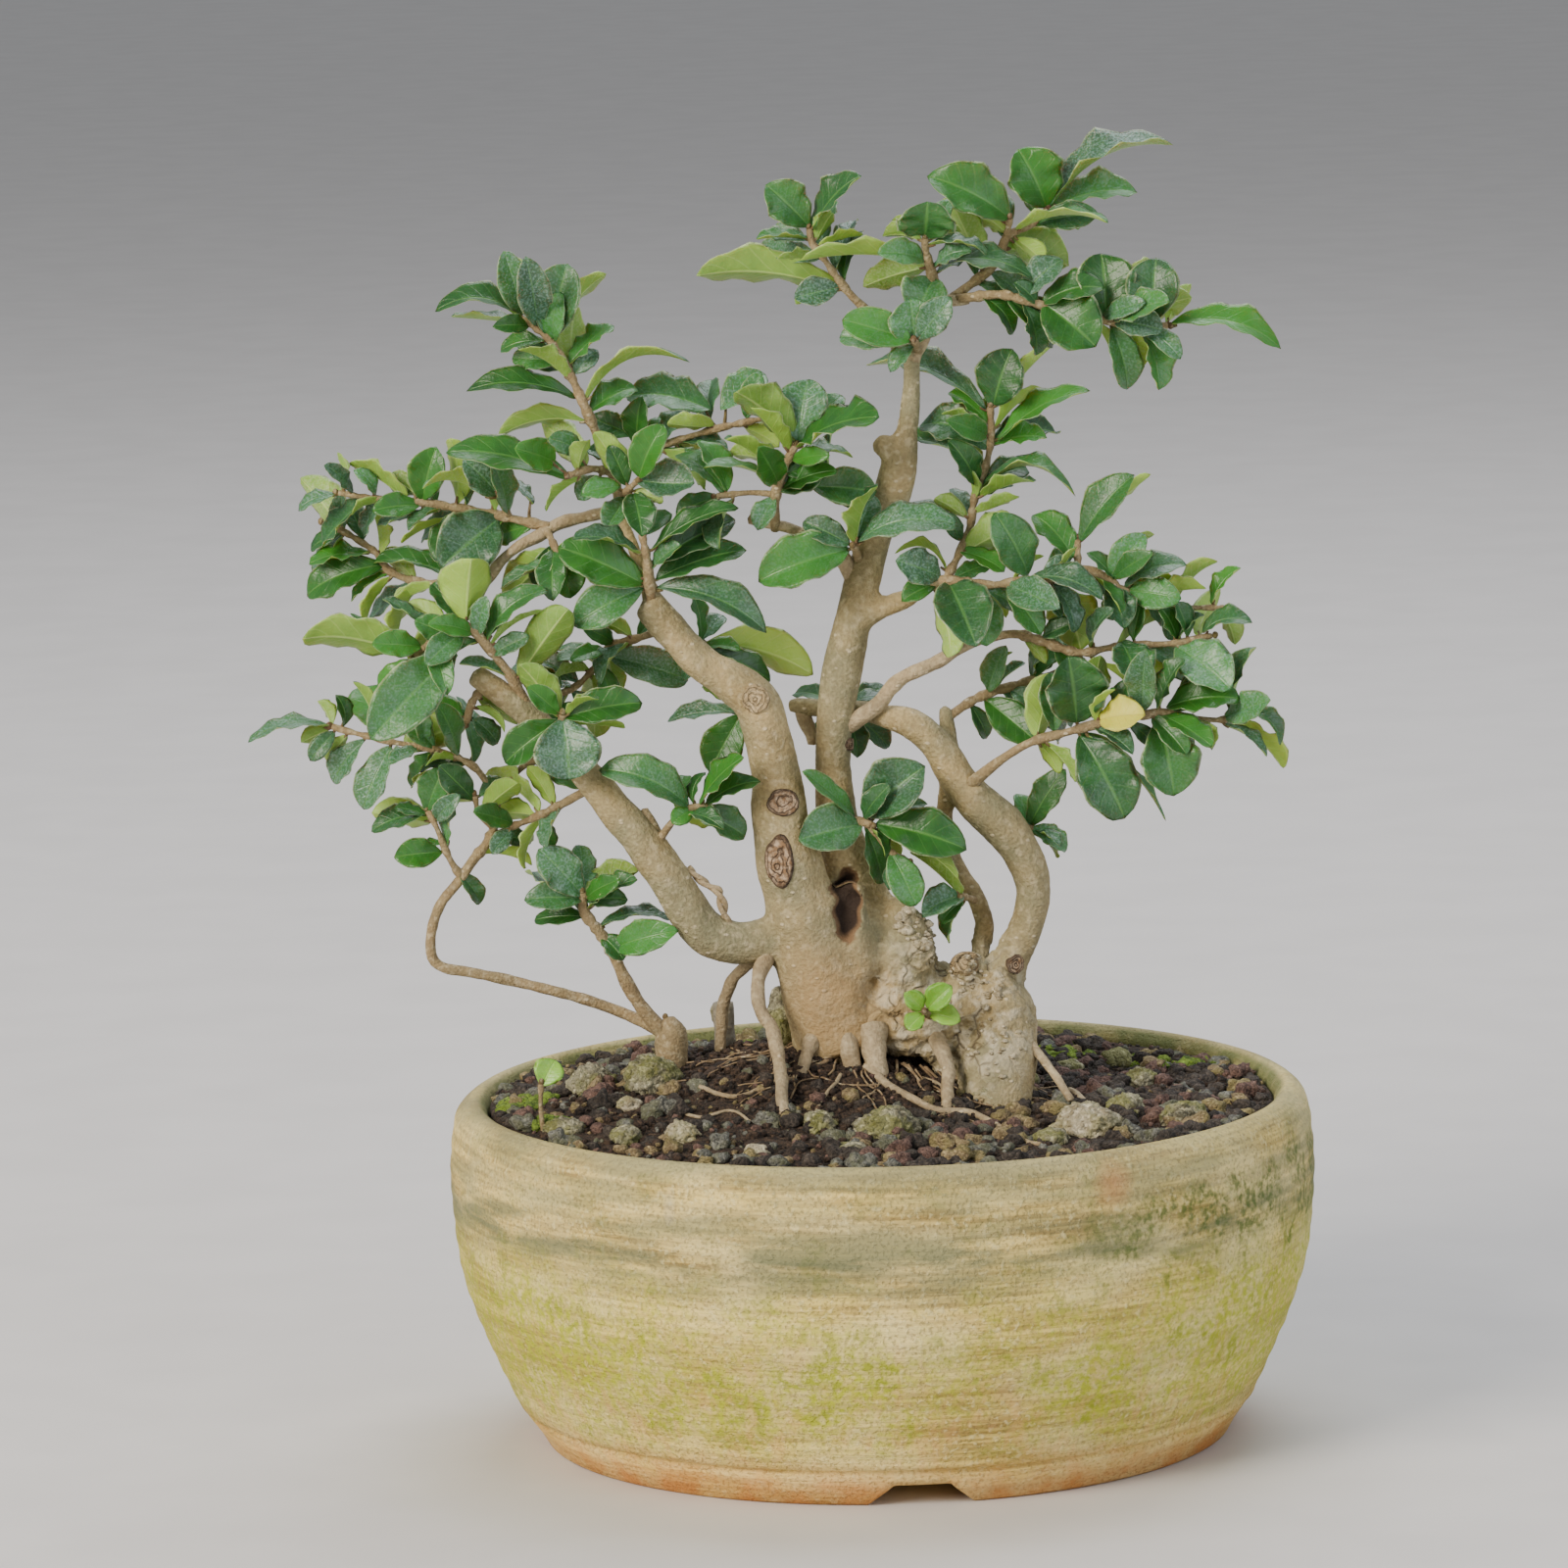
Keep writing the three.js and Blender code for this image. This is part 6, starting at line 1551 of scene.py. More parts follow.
      [78, 219.7, -9, 2.4], [84, 216.8, -8, 2.4], [88, 214, -8, 2], [98, 209.8, -6, 1.6], [113, 209, -4, 1.3]],
    [[43, 217.6, -7, 2.2], [46.5, 224, -4, 2.1], [49.5, 231, 0, 2], [51, 239, 2, 2], [54, 247, 3, 1.9],
      [55.3, 254, 3, 1.8], [55.3, 261, 3, 1.6]],
    [[76.5, 219.5, -9, 1.8], [76.5, 227, -7, 1.5]],
  ], leaves=[
    [43.8, 217, 50.5, 200.5, 14, 12, -6, 1.2], [40, 216.5, 45, 198, 10, 140, 4, 1],
    [42, 218.5, 31, 223, 9, 15, -6, 0.6], [41, 217, 32, 213, 6, 25, -4, 0.5],
    [46.5, 225, 58, 219.5, 6.5, 45, -5, 1],
    [45, 218, 55, 221.5, 5.5, 40, 3, 0.6], [64, 218.5, 56.5, 234, 11, 18, -7, 1],
    [53, 215, 63, 209.3, 6.5, 30, -6, 0.6], [58.5, 215.5, 67, 203.3, 8, 25, -3, 0.6],
    [70, 216.3, 77.5, 199.8, 13.5, 150, 4, 1.2], [64.5, 217.6, 82.5, 213, 8, 45, -6, 2.5],
    [84.3, 215.5, 88, 204.5, 8, 18, -3, 0.6], [50.5, 235, 62, 239.3, 6, 115, -4, -0.8],
    [51, 238.5, 60.5, 242.5, 6.5, 40, 4, 0.6],
    [56, 261.5, 60.5, 275.5, 12, 15, -3, 1], [56.3, 261, 71.3, 277, 5.5, 115, 2, 0.6],
    [54.3, 260.5, 24.3, 272.3, 10, 50, 8, 5.5], [54.8, 251, 37.5, 258, 11.5, 30, 4, 3.5],
    [53.5, 246.5, 29, 253, 7, 55, 7, 3], [52, 240.5, 76.3, 239.3, 8, 70, -3, 7],
    [56.5, 252.5, 79, 266.6, 9.5, 60, -4, 1.5], [77, 226.5, 91, 243.3, 10, 35, -3, 2],
    [77, 226.5, 95.3, 243.3, 6, 115, 3, 1], [75.5, 222.5, 65.5, 234, 9, 30, 5, 1.5],
    [88, 214.8, 103.8, 220.3, 9, 50, -3, 2.5],
  ]),
  Stem("apex_left_spray", twigs=[
    [[28.5, 283, 2, 3.2], [22, 289, 0, 2.4], [18, 294, -1, 2], [14, 300, -2, 1.7], [11.5, 303.5, -2, 1.5],
      [10.8, 307, -2, 1.4]],
  ], leaves=[
    [10.8, 307.5, 0.3, 318.4, 11, 15, -3, 1],
    [19, 291.5, -17.8, 296.2, 11, 135, -4, 4],
  ]),
  Stem("apex_mid_spray", twigs=[
    [[41.8, 291, 1.5, 2.8], [41, 296, -2, 2.2], [39.8, 301.5, -5, 1.7], [39.7, 304, -6, 1.5]],
  ], leaves=[
    [39.7, 304.5, 40.5, 313.3, 14, 0, -7, 1.2], [39, 303.5, 29.5, 305.5, 6.5, 125, 5, 1],
    [40.5, 302.5, 55.5, 301, 6.5, 70, -3, 1.5],
    [41.5, 297.5, 66.7, 295, 9, 50, -3, 3], [41.8, 294, 37, 284.8, 11.5, 10, -6, 0.8],
    [39.5, 298.5, 8.5, 299, 9, 100, -5, 2], [40, 297, 24, 292.5, 8.5, 145, -5, 0.8],
    [42.5, 295.5, 52.5, 299.5, 6, 60, 4, 0.6],
  ]),
  Stem("apex_leader_leaf", twigs=[[[37.5, 276, 1, 3], [37, 277.3, -5, 1.9], [36.5, 278.5, -8, 1.5]]], leaves=[
    [36.5, 277.5, 35.5, 289, 12, 8, -3, 0.8],
  ]),
  Stem("apex_right_spray", twigs=[
    [[45, 288, 2, 3.2], [52, 293, 5, 2.4], [57.5, 297.5, 6, 2.2], [60.3, 304, 6, 2], [66, 306.5, 7, 1.8],
      [70.3, 310.5, 8, 1.6]],
    [[60.3, 304, 6, 1.8], [61, 308.5, 3, 1.5]],
  ], leaves=[
    [61, 308.5, 40.8, 319.7, 13, 20, -5, 3], [60.3, 305, 53.8, 310, 8, 140, -4, 0.6],
    [62, 305.5, 85.5, 308.5, 8, 90, -6, 2.5],
    [70.2, 311, 63.5, 325.8, 14.5, 18, -2, 1.5], [70.8, 311, 101.3, 328, 12, 65, 3, 5],
    [70.8, 310.5, 93, 315.8, 10, 42, -6, 1.8], [59.5, 301.5, 75.5, 296.5, 13, 155, 3, 1],
  ]),
  Stem("apex_far_right_spray", twigs=[
    [[47.5, 288.6, 2, 3.2], [58, 289.5, -3, 2.4], [64, 288, -4, 2.2], [75, 284.6, -4, 2], [86, 282, -4, 1.9],
      [93, 280.6, -4, 1.9], [100, 280.6, -4, 1.7]],
  ], leaves=[
    [53, 289.5, 61.7, 279.7, 6.5, 40, -5, 2],
    [69, 287, 82, 276, 14.5, 12, -5, 1.2], [84.8, 283, 83.7, 299.3, 14, 8, 4, 1],
    [96.5, 281.8, 97.3, 297.7, 13, 10, 3, 1], [86.8, 282, 99, 279.3, 8, 20, -5, 1],
    [100.5, 281, 128.7, 276, 10, 48, -4, 4],
  ]),
  Stem("trunk_sprout", twigs=[[[37, 106, -11, 2.2], [36, 107, -17, 1.7], [35.6, 107.5, -19, 1.5]]], leaves=[
    [35.2, 108, 30.5, 112.5, 5, 15, -2, 0.3], [35.2, 107, 31, 102.8, 5, 20, -2, 0.3],
    [36.2, 108, 42.5, 114, 6.5, 15, -2, 0.5], [36.3, 107, 44.5, 105, 5.5, 25, -3, 0.4],
  ]),
]

# The smallest leaves, which the CAD source leaves out

SMALL_LEAVES: dict[str, Rows] = {
    "upper_left_spray": [[-49, 247.5, -46.5, 256, 5, 150, -6, 0.5], [-48, 246, -57.5, 238, 5, 100, -3, 1]],
    "upper_centre_left_spray": [[-37, 249.5, -46.5, 253, 5, 30, 3, 0.5]],
    "left_crown_spray": [[-60, 239.5, -67, 246, 5, 60, 6, 0.5], [-88, 237.5, -99.5, 234.8, 5, 60, 5, 0.5]],
    "far_left_back_spray": [[-97, 223, -107, 216, 5, 60, 2, 1], [-85, 219.7, -97, 214, 5, 130, 5, 1],
        [-108, 233.5, -117, 229.5, 5, 40, 3, 0.6]],
    "left_hanging_spray": [[-55, 225, -69, 218, 5, 60, 6, 0.8]],
    "left_mid_spray": [[-75, 206.5, -72.5, 216.5, 5, 20, -3, 1], [-72.5, 203.5, -57, 212.5, 5, 100, -4, 2],
        [-72, 201.5, -62, 206, 5, 20, 3, 0.4], [-67.5, 196, -80, 199.5, 5, 60, 3, 0.8],
        [-91, 201.5, -107, 213, 5, 60, 4, -0.5], [-90, 200.5, -101.5, 194.5, 5, 30, 4, 0.5],
        [-91.5, 200, -105, 189.5, 5, 130, 6, 1], [-86, 207, -99, 216.3, 5, 60, 5, 0.8]],
    "behind_branch_spray": [[-41, 203, -49.5, 212, 5, 60, 5, 1]],
    "limb_underside_spray": [[-18.5, 202, -24, 194, 5, 30, 7, 0.5]],
    "trunk_left_spray": [[-9.5, 185, -14, 176, 5, 30, 4, 0.5]],
    "limb_upper_spray": [[-53.8, 183.5, -38.5, 182, 5, 100, 4, 0.6]],
    "limb_side_spray": [[-61, 159.5, -58, 151, 5, 30, 3, 0.5]],
    "limb_mid_spray": [[-22, 161, -27.5, 157.5, 5, 10, -3, 0.3], [-20.5, 161, -15.5, 157, 5, 10, -3, 0.3]],
    "front_spray": [[22.5, 157.5, 37.5, 161, 5, 40, 5, 0.5], [31, 147, 27, 139, 5, 30, 3, 0.6]],
    "spur_spray": [[53, 189, 62.5, 196.5, 5, 60, -2, 0.4], [48.5, 186, 53, 177, 5, 30, 3, 0.5],
        [65.5, 192.5, 73, 200.5, 5, 40, 5, 0.5]],
    "right_low_spray": [[78, 177.5, 97.5, 154.8, 5, 75, 3, 2.5],
        [112.5, 179.5, 123.5, 171, 5, 60, -4, 1.5], [104, 180, 110, 173, 5, 40, 3, 0.6]],
    "right_mid_spray": [[90, 201, 92.5, 211, 5, 30, 3, 0.3], [79, 197.5, 92, 187.5, 5, 100, 3, 0.8]],
    "right_upper_spray": [[43.5, 220.5, 30.5, 225, 5, 95, 3, 4], [50, 233, 45, 241, 5, 40, 4, 0.6],
        [88.5, 214.3, 101, 217, 5, 105, 3, 0.8], [86, 216.5, 79, 224, 5, 45, 4, 0.4],
        [92, 212, 98.5, 204.5, 5, 35, 3, 0.5]],
    "apex_left_spray": [[11.5, 306, 16, 311.5, 5, 150, 3, 0.3], [11, 304.8, -2.5, 305.2, 5, 65, -3, 0.6],
        [13, 303, 24.3, 305.3, 5, 110, 2, 0.6]],
    "apex_mid_spray": [[40.5, 303.5, 48.5, 306, 5, 120, 5, 0.6]],
    "apex_leader_leaf": [[36.8, 277.5, 30, 271, 5, 30, -2, 0.5]],
    "apex_right_spray": [[60.5, 307.5, 44.3, 314.6, 5, 105, 3, 0.8]],
    "apex_far_right_spray": [[67.5, 287, 62, 292.5, 5, 30, -3, 0.5]],
    "side_stem": [[-85.5, 154, -95, 150, 5, 60, 3, 0.6], [-82, 146.5, -76, 138, 5, 30, 4, 0.6],
        [-73.5, 155.5, -63, 153.5, 5, 30, 3, 0.5], [-112.3, 184.5, -115.5, 191, 5, 130, 2, 0.4],
        [-59, 175, -50, 178.5, 5, 40, 4, 0.5]],
}


@dataclass
class LeafyStem:
    """A leafy stem's piece: fine blades with veins and waved edges, stalks, jointed twigs and buds."""

    stem: Stem
    number: int
    young: bool = False
    yellow: tuple[int, ...] = ()
    twig_sides: int = 10
    twig_step: float = 1.5
    slender: float = 0.84
    bud: float = 0.8
    tries: int = 2
    leafy_below: float = 2.7

    def build(self, clearance: Clearance) -> Draft:
        """Draws twigs, leaves, small leaves and buds.

        Args:
            clearance: the room that is taken, for the small leaves.

        Returns:
            The draft.
        """
        draft = Draft()
        chance = random.Random(1000 + self.number)
        small = [self.stem.place(clearance, self.number, row) for row in SMALL_LEAVES.get(self.stem.name, [])]
        added = [] if self.young else self.fill_joints(clearance, chance)
        leaves = self.stem.placed + [leaf for leaf, crowd in small if crowd == 0] + added
        roots = [leaf.root for leaf in leaves]
        for rows in self.stem.twigs:
            line, sizes = curve_through(*stations(rows), self.twig_step)
            sizes = sizes * (self.slender if sizes.max() < 3 else 0.95)
            for i, point in enumerate(line):
                sizes[i] *= 1 + 0.16 * noise.noise(Vector(point) * 0.35)
                if any(np.linalg.norm(point - root) < 1.1 for root in roots):
                    sizes[i] = sizes[i] * 1.2 + 0.15
            draft.add(*tube(line, sizes, self.twig_sides), 3)
            tip = line[-1] + unit(line[-1] - line[-2]) * self.bud
            draft.add(*ball(tip, (self.bud, self.bud, self.bud * 1.2), 2, 0.1, self.number), 2)
        for i, leaf in enumerate(leaves):
            tone = chance.uniform(0.0, 0.45) if chance.random() < 0.7 else chance.uniform(0.45, 0.95)
            dust = chance.choice([0.0, 0.1, 0.25, 0.5, 0.9])
            slots = (4, 4, 2) if i in self.yellow else (0, 1, 2)
            blade = Blade(chance.uniform(1.18, 1.36), chance.uniform(0.50, 0.64), 1.08, chance.uniform(0.24, 0.62),
                          1.3, chance.uniform(0.04, 0.10), chance.uniform(-0.02, 0.12))
            fine = leaf.length > 11
            leaf.draw(draft, slots, tone, 0.0 if self.young else dust, blade, 16 if fine else 9, 10 if fine else 6)
        return draft

    def fill_joints(self, clearance: Clearance, chance: random.Random) -> list[Leaf]:
        """Places the smaller leaves that sit at the joints, wherever there is room for one.

        Args:
            clearance: the room that is taken.
            chance: the stem's seeded draws.

        Returns:
            The leaves.
        """
        added = []
        for rows in self.stem.twigs:
            for (ax, az, _, wide), (bx, bz, _, _) in zip(rows[1:], rows[2:]):
                if wide > self.leafy_below:
                    continue
                span = math.hypot(bx - ax, bz - az)
                ahead = ((bx - ax) / span, (bz - az) / span)
                for side in (-1, 1) * self.tries:
                    turn = side * math.radians(chance.uniform(25, 80))
                    length, share = chance.uniform(8.0, 18.0), chance.random()
                    reach_x = ahead[0] * math.cos(turn) - ahead[1] * math.sin(turn)
                    reach_z = ahead[0] * math.sin(turn) + ahead[1] * math.cos(turn)
                    base = (ax + share * (bx - ax) + reach_x, az + share * (bz - az) + reach_z)
                    row = [*base, base[0] + reach_x * length, base[1] + reach_z * length,
                           length * chance.uniform(0.46, 0.62), chance.choice([10, 25, 45, 60, 110, 150]),
                           chance.uniform(-4, 5), chance.uniform(0.2, 1.6)]
                    leaf, crowd = self.stem.place(clearance, self.number, row, keep_crowded=False)
                    if crowd == 0:
                        added.append(leaf)
        return added

    def dress(self, draft: Draft) -> Piece:
        """Makes the piece and gives it its finishes.

        Args:
            draft: the drawn stem.

        Returns:
            The piece, riding on the frame.
        """
        faces = (YOUNG_UPPER, YOUNG_UNDER) if self.young else (LEAF_UPPER, LEAF_UNDER)
        finishes = [*faces, PETIOLE, TWIG_BARK, YELLOW_LEAF]
        piece = draft.make(f"{self.stem.name}_fine", finishes)
        return tie(piece, self.stem.name)


# Wood


@dataclass
class Trunk:
    """The grown wood: swollen base, forked trunks, limbs, healed cuts and surface roots."""

    voxel: float = 0.95
    smoothing: int = 7
    thick_from: float = 5.3
    limb_share: float = 1.12
    base_share: float = 1.04
    knob_share: float = 0.8
    column: int = 5
    column_share: float = 1.16
    burl_middle: tuple[float, float, float] = (40.0, -4.0, 110.0)
    burl_reach: float = 28.0
    skin: Piece | None = None
    tree: BVHTree | None = None

    def build(self) -> None:
        """Joins the thick limbs into one skin and works its relief."""
        draft = Draft()
        draft.add(*ball(seen(32, 108, 1), (BURL[0], BURL[1], BURL[2]), 4, 0.10, 2.0))
        for number, rows in enumerate(TRUNK_LIMBS):
            if max(row[3] for row in rows) >= self.thick_from:
                line, sizes = curve_through(*stations(rows), 2.0)
                shares = (1.0, self.limb_share, self.limb_share, self.base_share)
                sizes = sizes * np.interp(sizes, (2.2, 3.4, 7.0, 9.0), shares)
                if number == self.column:
                    sizes = sizes * self.column_share
                for i, point in enumerate(line):
                    sizes[i] *= 1 + 0.08 * noise.noise(Vector(point) * 0.12)
                draft.add(*tube(line, sizes, 24))
        for i, (x, z, depth, a, b, c) in enumerate(KNOBS):
            sizes = np.array([a, b, c]) * self.knob_share
            draft.add(*ball(seen(x, z, depth), sizes, 3, 0.25, float(i)))
        rough = draft.make("wood_rough", [])
        joiner = rough.modifiers.new("join", "REMESH")
        joiner.mode, joiner.voxel_size = "VOXEL", self.voxel * MM
        softener = rough.modifiers.new("soften", "SMOOTH")
        softener.factor, softener.iterations = 0.5, self.smoothing
        mesh = worked(rough)
        bpy.data.objects.remove(rough)
        self.work_relief(mesh)
        mesh.shade_smooth()
        self.skin = show("trunk_and_limbs_fine", mesh)
        corners = [vertex.co / MM for vertex in mesh.vertices]
        self.tree = BVHTree.FromPolygons(corners, [tuple(face.vertices) for face in mesh.polygons])

    def work_relief(self, mesh: bpy.types.Mesh) -> None:
        """Pushes the skin in and out: low folds along the limbs, crumbs on the swollen base, the hollow.

        Args:
            mesh: the joined skin, changed in place.
        """
        middle = Vector(self.burl_middle)
        hollow_x, hollow_z, hollow_wide, hollow_tall, hollow_deep = HOLLOW
        flat = np.empty(len(mesh.vertices) * 3)
        mesh.vertices.foreach_get("co", flat)
        points = flat.reshape(-1, 3) / MM
        out = np.empty(len(mesh.vertices) * 3)
        mesh.vertices.foreach_get("normal", out)
        out = out.reshape(-1, 3)
        shifts = np.zeros(len(points))
        for i, point in enumerate(points):
            place = Vector(point)
            near = min(1.0, 2.2 * max(0.0, 1 - (place - middle).length / self.burl_reach))
            long = Vector((place.x * 0.16, place.y * 0.16, place.z * 0.045))
            shifts[i] = 0.6 * noise.noise(long) + 0.12 * noise.noise(place * 0.5)
            if near > 0:
                crumbs = abs(noise.noise(place * 0.30)) + 0.6 * abs(noise.noise(place * 0.75))
                shifts[i] += near * (1.3 * noise.noise(place * 0.14) + 2.4 * (0.30 - crumbs))
        spread = 1 + points[:, 1] / VIEW_DISTANCE
        across = (points[:, 0] - VIEW_X) / spread + VIEW_X - hollow_x
        above = (points[:, 2] - VIEW_Z + VIEW_SLOPE * points[:, 1]) / spread + VIEW_Z - hollow_z
        ragged = np.array([noise.noise(Vector((0.0, point[1] * 0.1, point[2] * 0.28))) for point in points])
        inside = 1 - ((across + 2.4 * ragged) / hollow_wide) ** 2 - (above / hollow_tall) ** 2
        sink = np.where((out[:, 1] < 0.1) & (points[:, 1] < 2), np.clip(inside, 0, 1), 0.0)
        points = points + out * shifts[:, None]
        points[:, 1] += hollow_deep * np.sqrt(sink)
        mesh.vertices.foreach_set("co", (points * MM).ravel())
        layer = mesh.attributes.new("hollow", "FLOAT", "POINT")
        layer.data.foreach_set("value", np.clip(sink * 1.6, 0, 1))
        mesh.update()

    def surface(self, x: float, z: float) -> tuple[np.ndarray, np.ndarray] | None:
        """Finds where the line of sight through a pick meets the wood.

        Args:
            x: the pick's place across.
            z: the pick's height.

        Returns:
            The point and the skin's direction there, or None where it misses.
        """
        start, end = seen(x, z, -120.0), seen(x, z, 60.0)
        found, normal, _, _ = self.tree.ray_cast(Vector(start), Vector(unit(end - start)))
        return None if found is None else (np.array(found), np.array(normal))

    def build_fine_branches(self) -> Draft:
        """Makes the thin limbs, the roots and the two thin strands wound together.

        Returns:
            The draft.
        """
        draft = Draft()
        thin = [rows for rows in TRUNK_LIMBS if max(row[3] for row in rows) < self.thick_from]
        for rows in [*thin, *ROOTS]:
            draft.limb(*stations(rows), 1.2, 14, uneven=(0.2, 0.3), wander=(0.7, 0.15))
        path, _ = curve_through(*stations(STRAND), 0.8)
        for phase in (0.0, math.pi):
            angle = phase + np.linspace(0, 5 * math.pi, len(path))
            line = path + 0.75 * np.column_stack([np.cos(angle), np.sin(angle), 0 * angle])
            draft.add(*tube(line, np.full(len(path), 0.72), 8))
        for rows in LYING_ROOTS:
            points = np.array([on_soil(x, z) + np.array([0, 0, 0.5 * thick]) for x, z, thick in rows])
            draft.limb(points, np.array([thick / 2 for _, _, thick in rows]), 1.2, 10, wander=(0.8, 0.12))
        return draft

    def build_cuts(self) -> Draft:
        """Makes the healed cuts: ringed faces a little proud of the bark, set on its surface.

        Returns:
            The draft.
        """
        draft = Draft()
        rings, spokes = 12, 36
        for x, z, wide, tall, kind in CUT_FACES:
            tries = [self.surface(x + wide * i, z + tall * k) for i in (-0.5, 0, 0.5) for k in (-0.5, 0, 0.5)]
            hits = [hit for hit in tries if hit is not None]
            if not hits:
                log.warning("no wood behind the cut at %s, %s", x, z)
                continue
            middle = self.surface(x, z)
            centre = middle[0] if middle is not None else np.mean([hit[0] for hit in hits], axis=0)
            out = unit(np.sum([hit[1] for hit in hits], axis=0))
            right = unit(np.cross(out, np.array([0.0, 0.0, 1.0])) * -1)
            rise = np.cross(out, right) * -1
            rise = rise if rise[2] > 0 else -rise
            points, ring = [centre + out * 0.5], [0.0]
            for i in range(1, rings + 1):
                share = i / rings
                lip = 0.55 * math.exp(-((share - 0.78) / 0.13) ** 2)
                dome = 0.35 + lip - 1.9 * max(0.0, share - 0.82) / 0.18 + 0.15 * math.cos(share * 22)
                for k in range(spokes):
                    angle = 2 * math.pi * k / spokes
                    aim = Vector((math.cos(angle) * 1.3, math.sin(angle) * 1.3, x))
                    wobble = 1 + 0.13 * noise.noise(aim) + 0.05 * noise.noise(aim * 3)
                    spot = (centre + right * (wide * share * wobble * math.cos(angle))
                            + rise * (tall * share * wobble * math.sin(angle)))
                    points.append(self.onto(spot, out) + out * dome)
                    ring.append(share)
            points.append(centre - out * 2.4)
            ring.append(1.0)
            draft.add(np.array(points), disc_faces(rings, spokes), int(kind), ring=np.array(ring))
        return draft

    def onto(self, spot: np.ndarray, out: np.ndarray) -> np.ndarray:
        """Drops a spot onto the wood, by no more than 3 mm."""
        found = self.tree.ray_cast(Vector(spot + out * 3.0), Vector(-out), 6.0)[0]
        return spot if found is None else np.array(found)

    def build_lime(self) -> Draft:
        """Sets lime crumbs on the swollen base, along the ridge where it was cut down.

        Returns:
            The draft.
        """
        draft = Draft()
        chance = random.Random(7)
        for x, z, spread, count, largest in LIME_PATCHES:
            for _ in range(count):
                spot = spot_round(chance, x, z, spread)
                size = 0.5 + (largest - 0.5) * chance.random() ** 2
                hit = self.surface(*spot)
                if hit is not None:
                    draft.add(*ball(hit[0] + hit[1] * size * 0.2, (size, size * 0.8, size * 0.75), 2, 0.6, x + size))
        return draft

    def dress(self, drafts: dict[str, tuple[Draft, list[Finish]]]) -> None:
        """Gives the skin its bark, makes the other pieces and ties all to the frame.

        Args:
            drafts: each other piece's draft and finishes, by name.
        """
        self.skin.data.materials.append(Wardrobe.of(TRUNK_BARK))
        made = [draft.make(name, finishes) for name, (draft, finishes) in drafts.items()]
        for piece in [self.skin, *made]:
            tie(piece, "trunk_and_branches")


@dataclass
class CutStub:
    """The stub of a cut sucker beside the trunk, all in pale bark."""

    sides: int = 20

    def build(self) -> Draft:
        """Draws the stub.

        Returns:
            The draft.
        """
        draft = Draft()
        draft.limb(*stations(CUT_STUB), 1.5, self.sides, uneven=(0.08, 0.3))
        return draft

    def dress(self, draft: Draft) -> Piece:
        """Makes the piece with bark and ties it to the frame."""
        return tie(draft.make("cut_stub_fine", [PALE_STUB]), "cut_stub")


# Pot, soil and stones


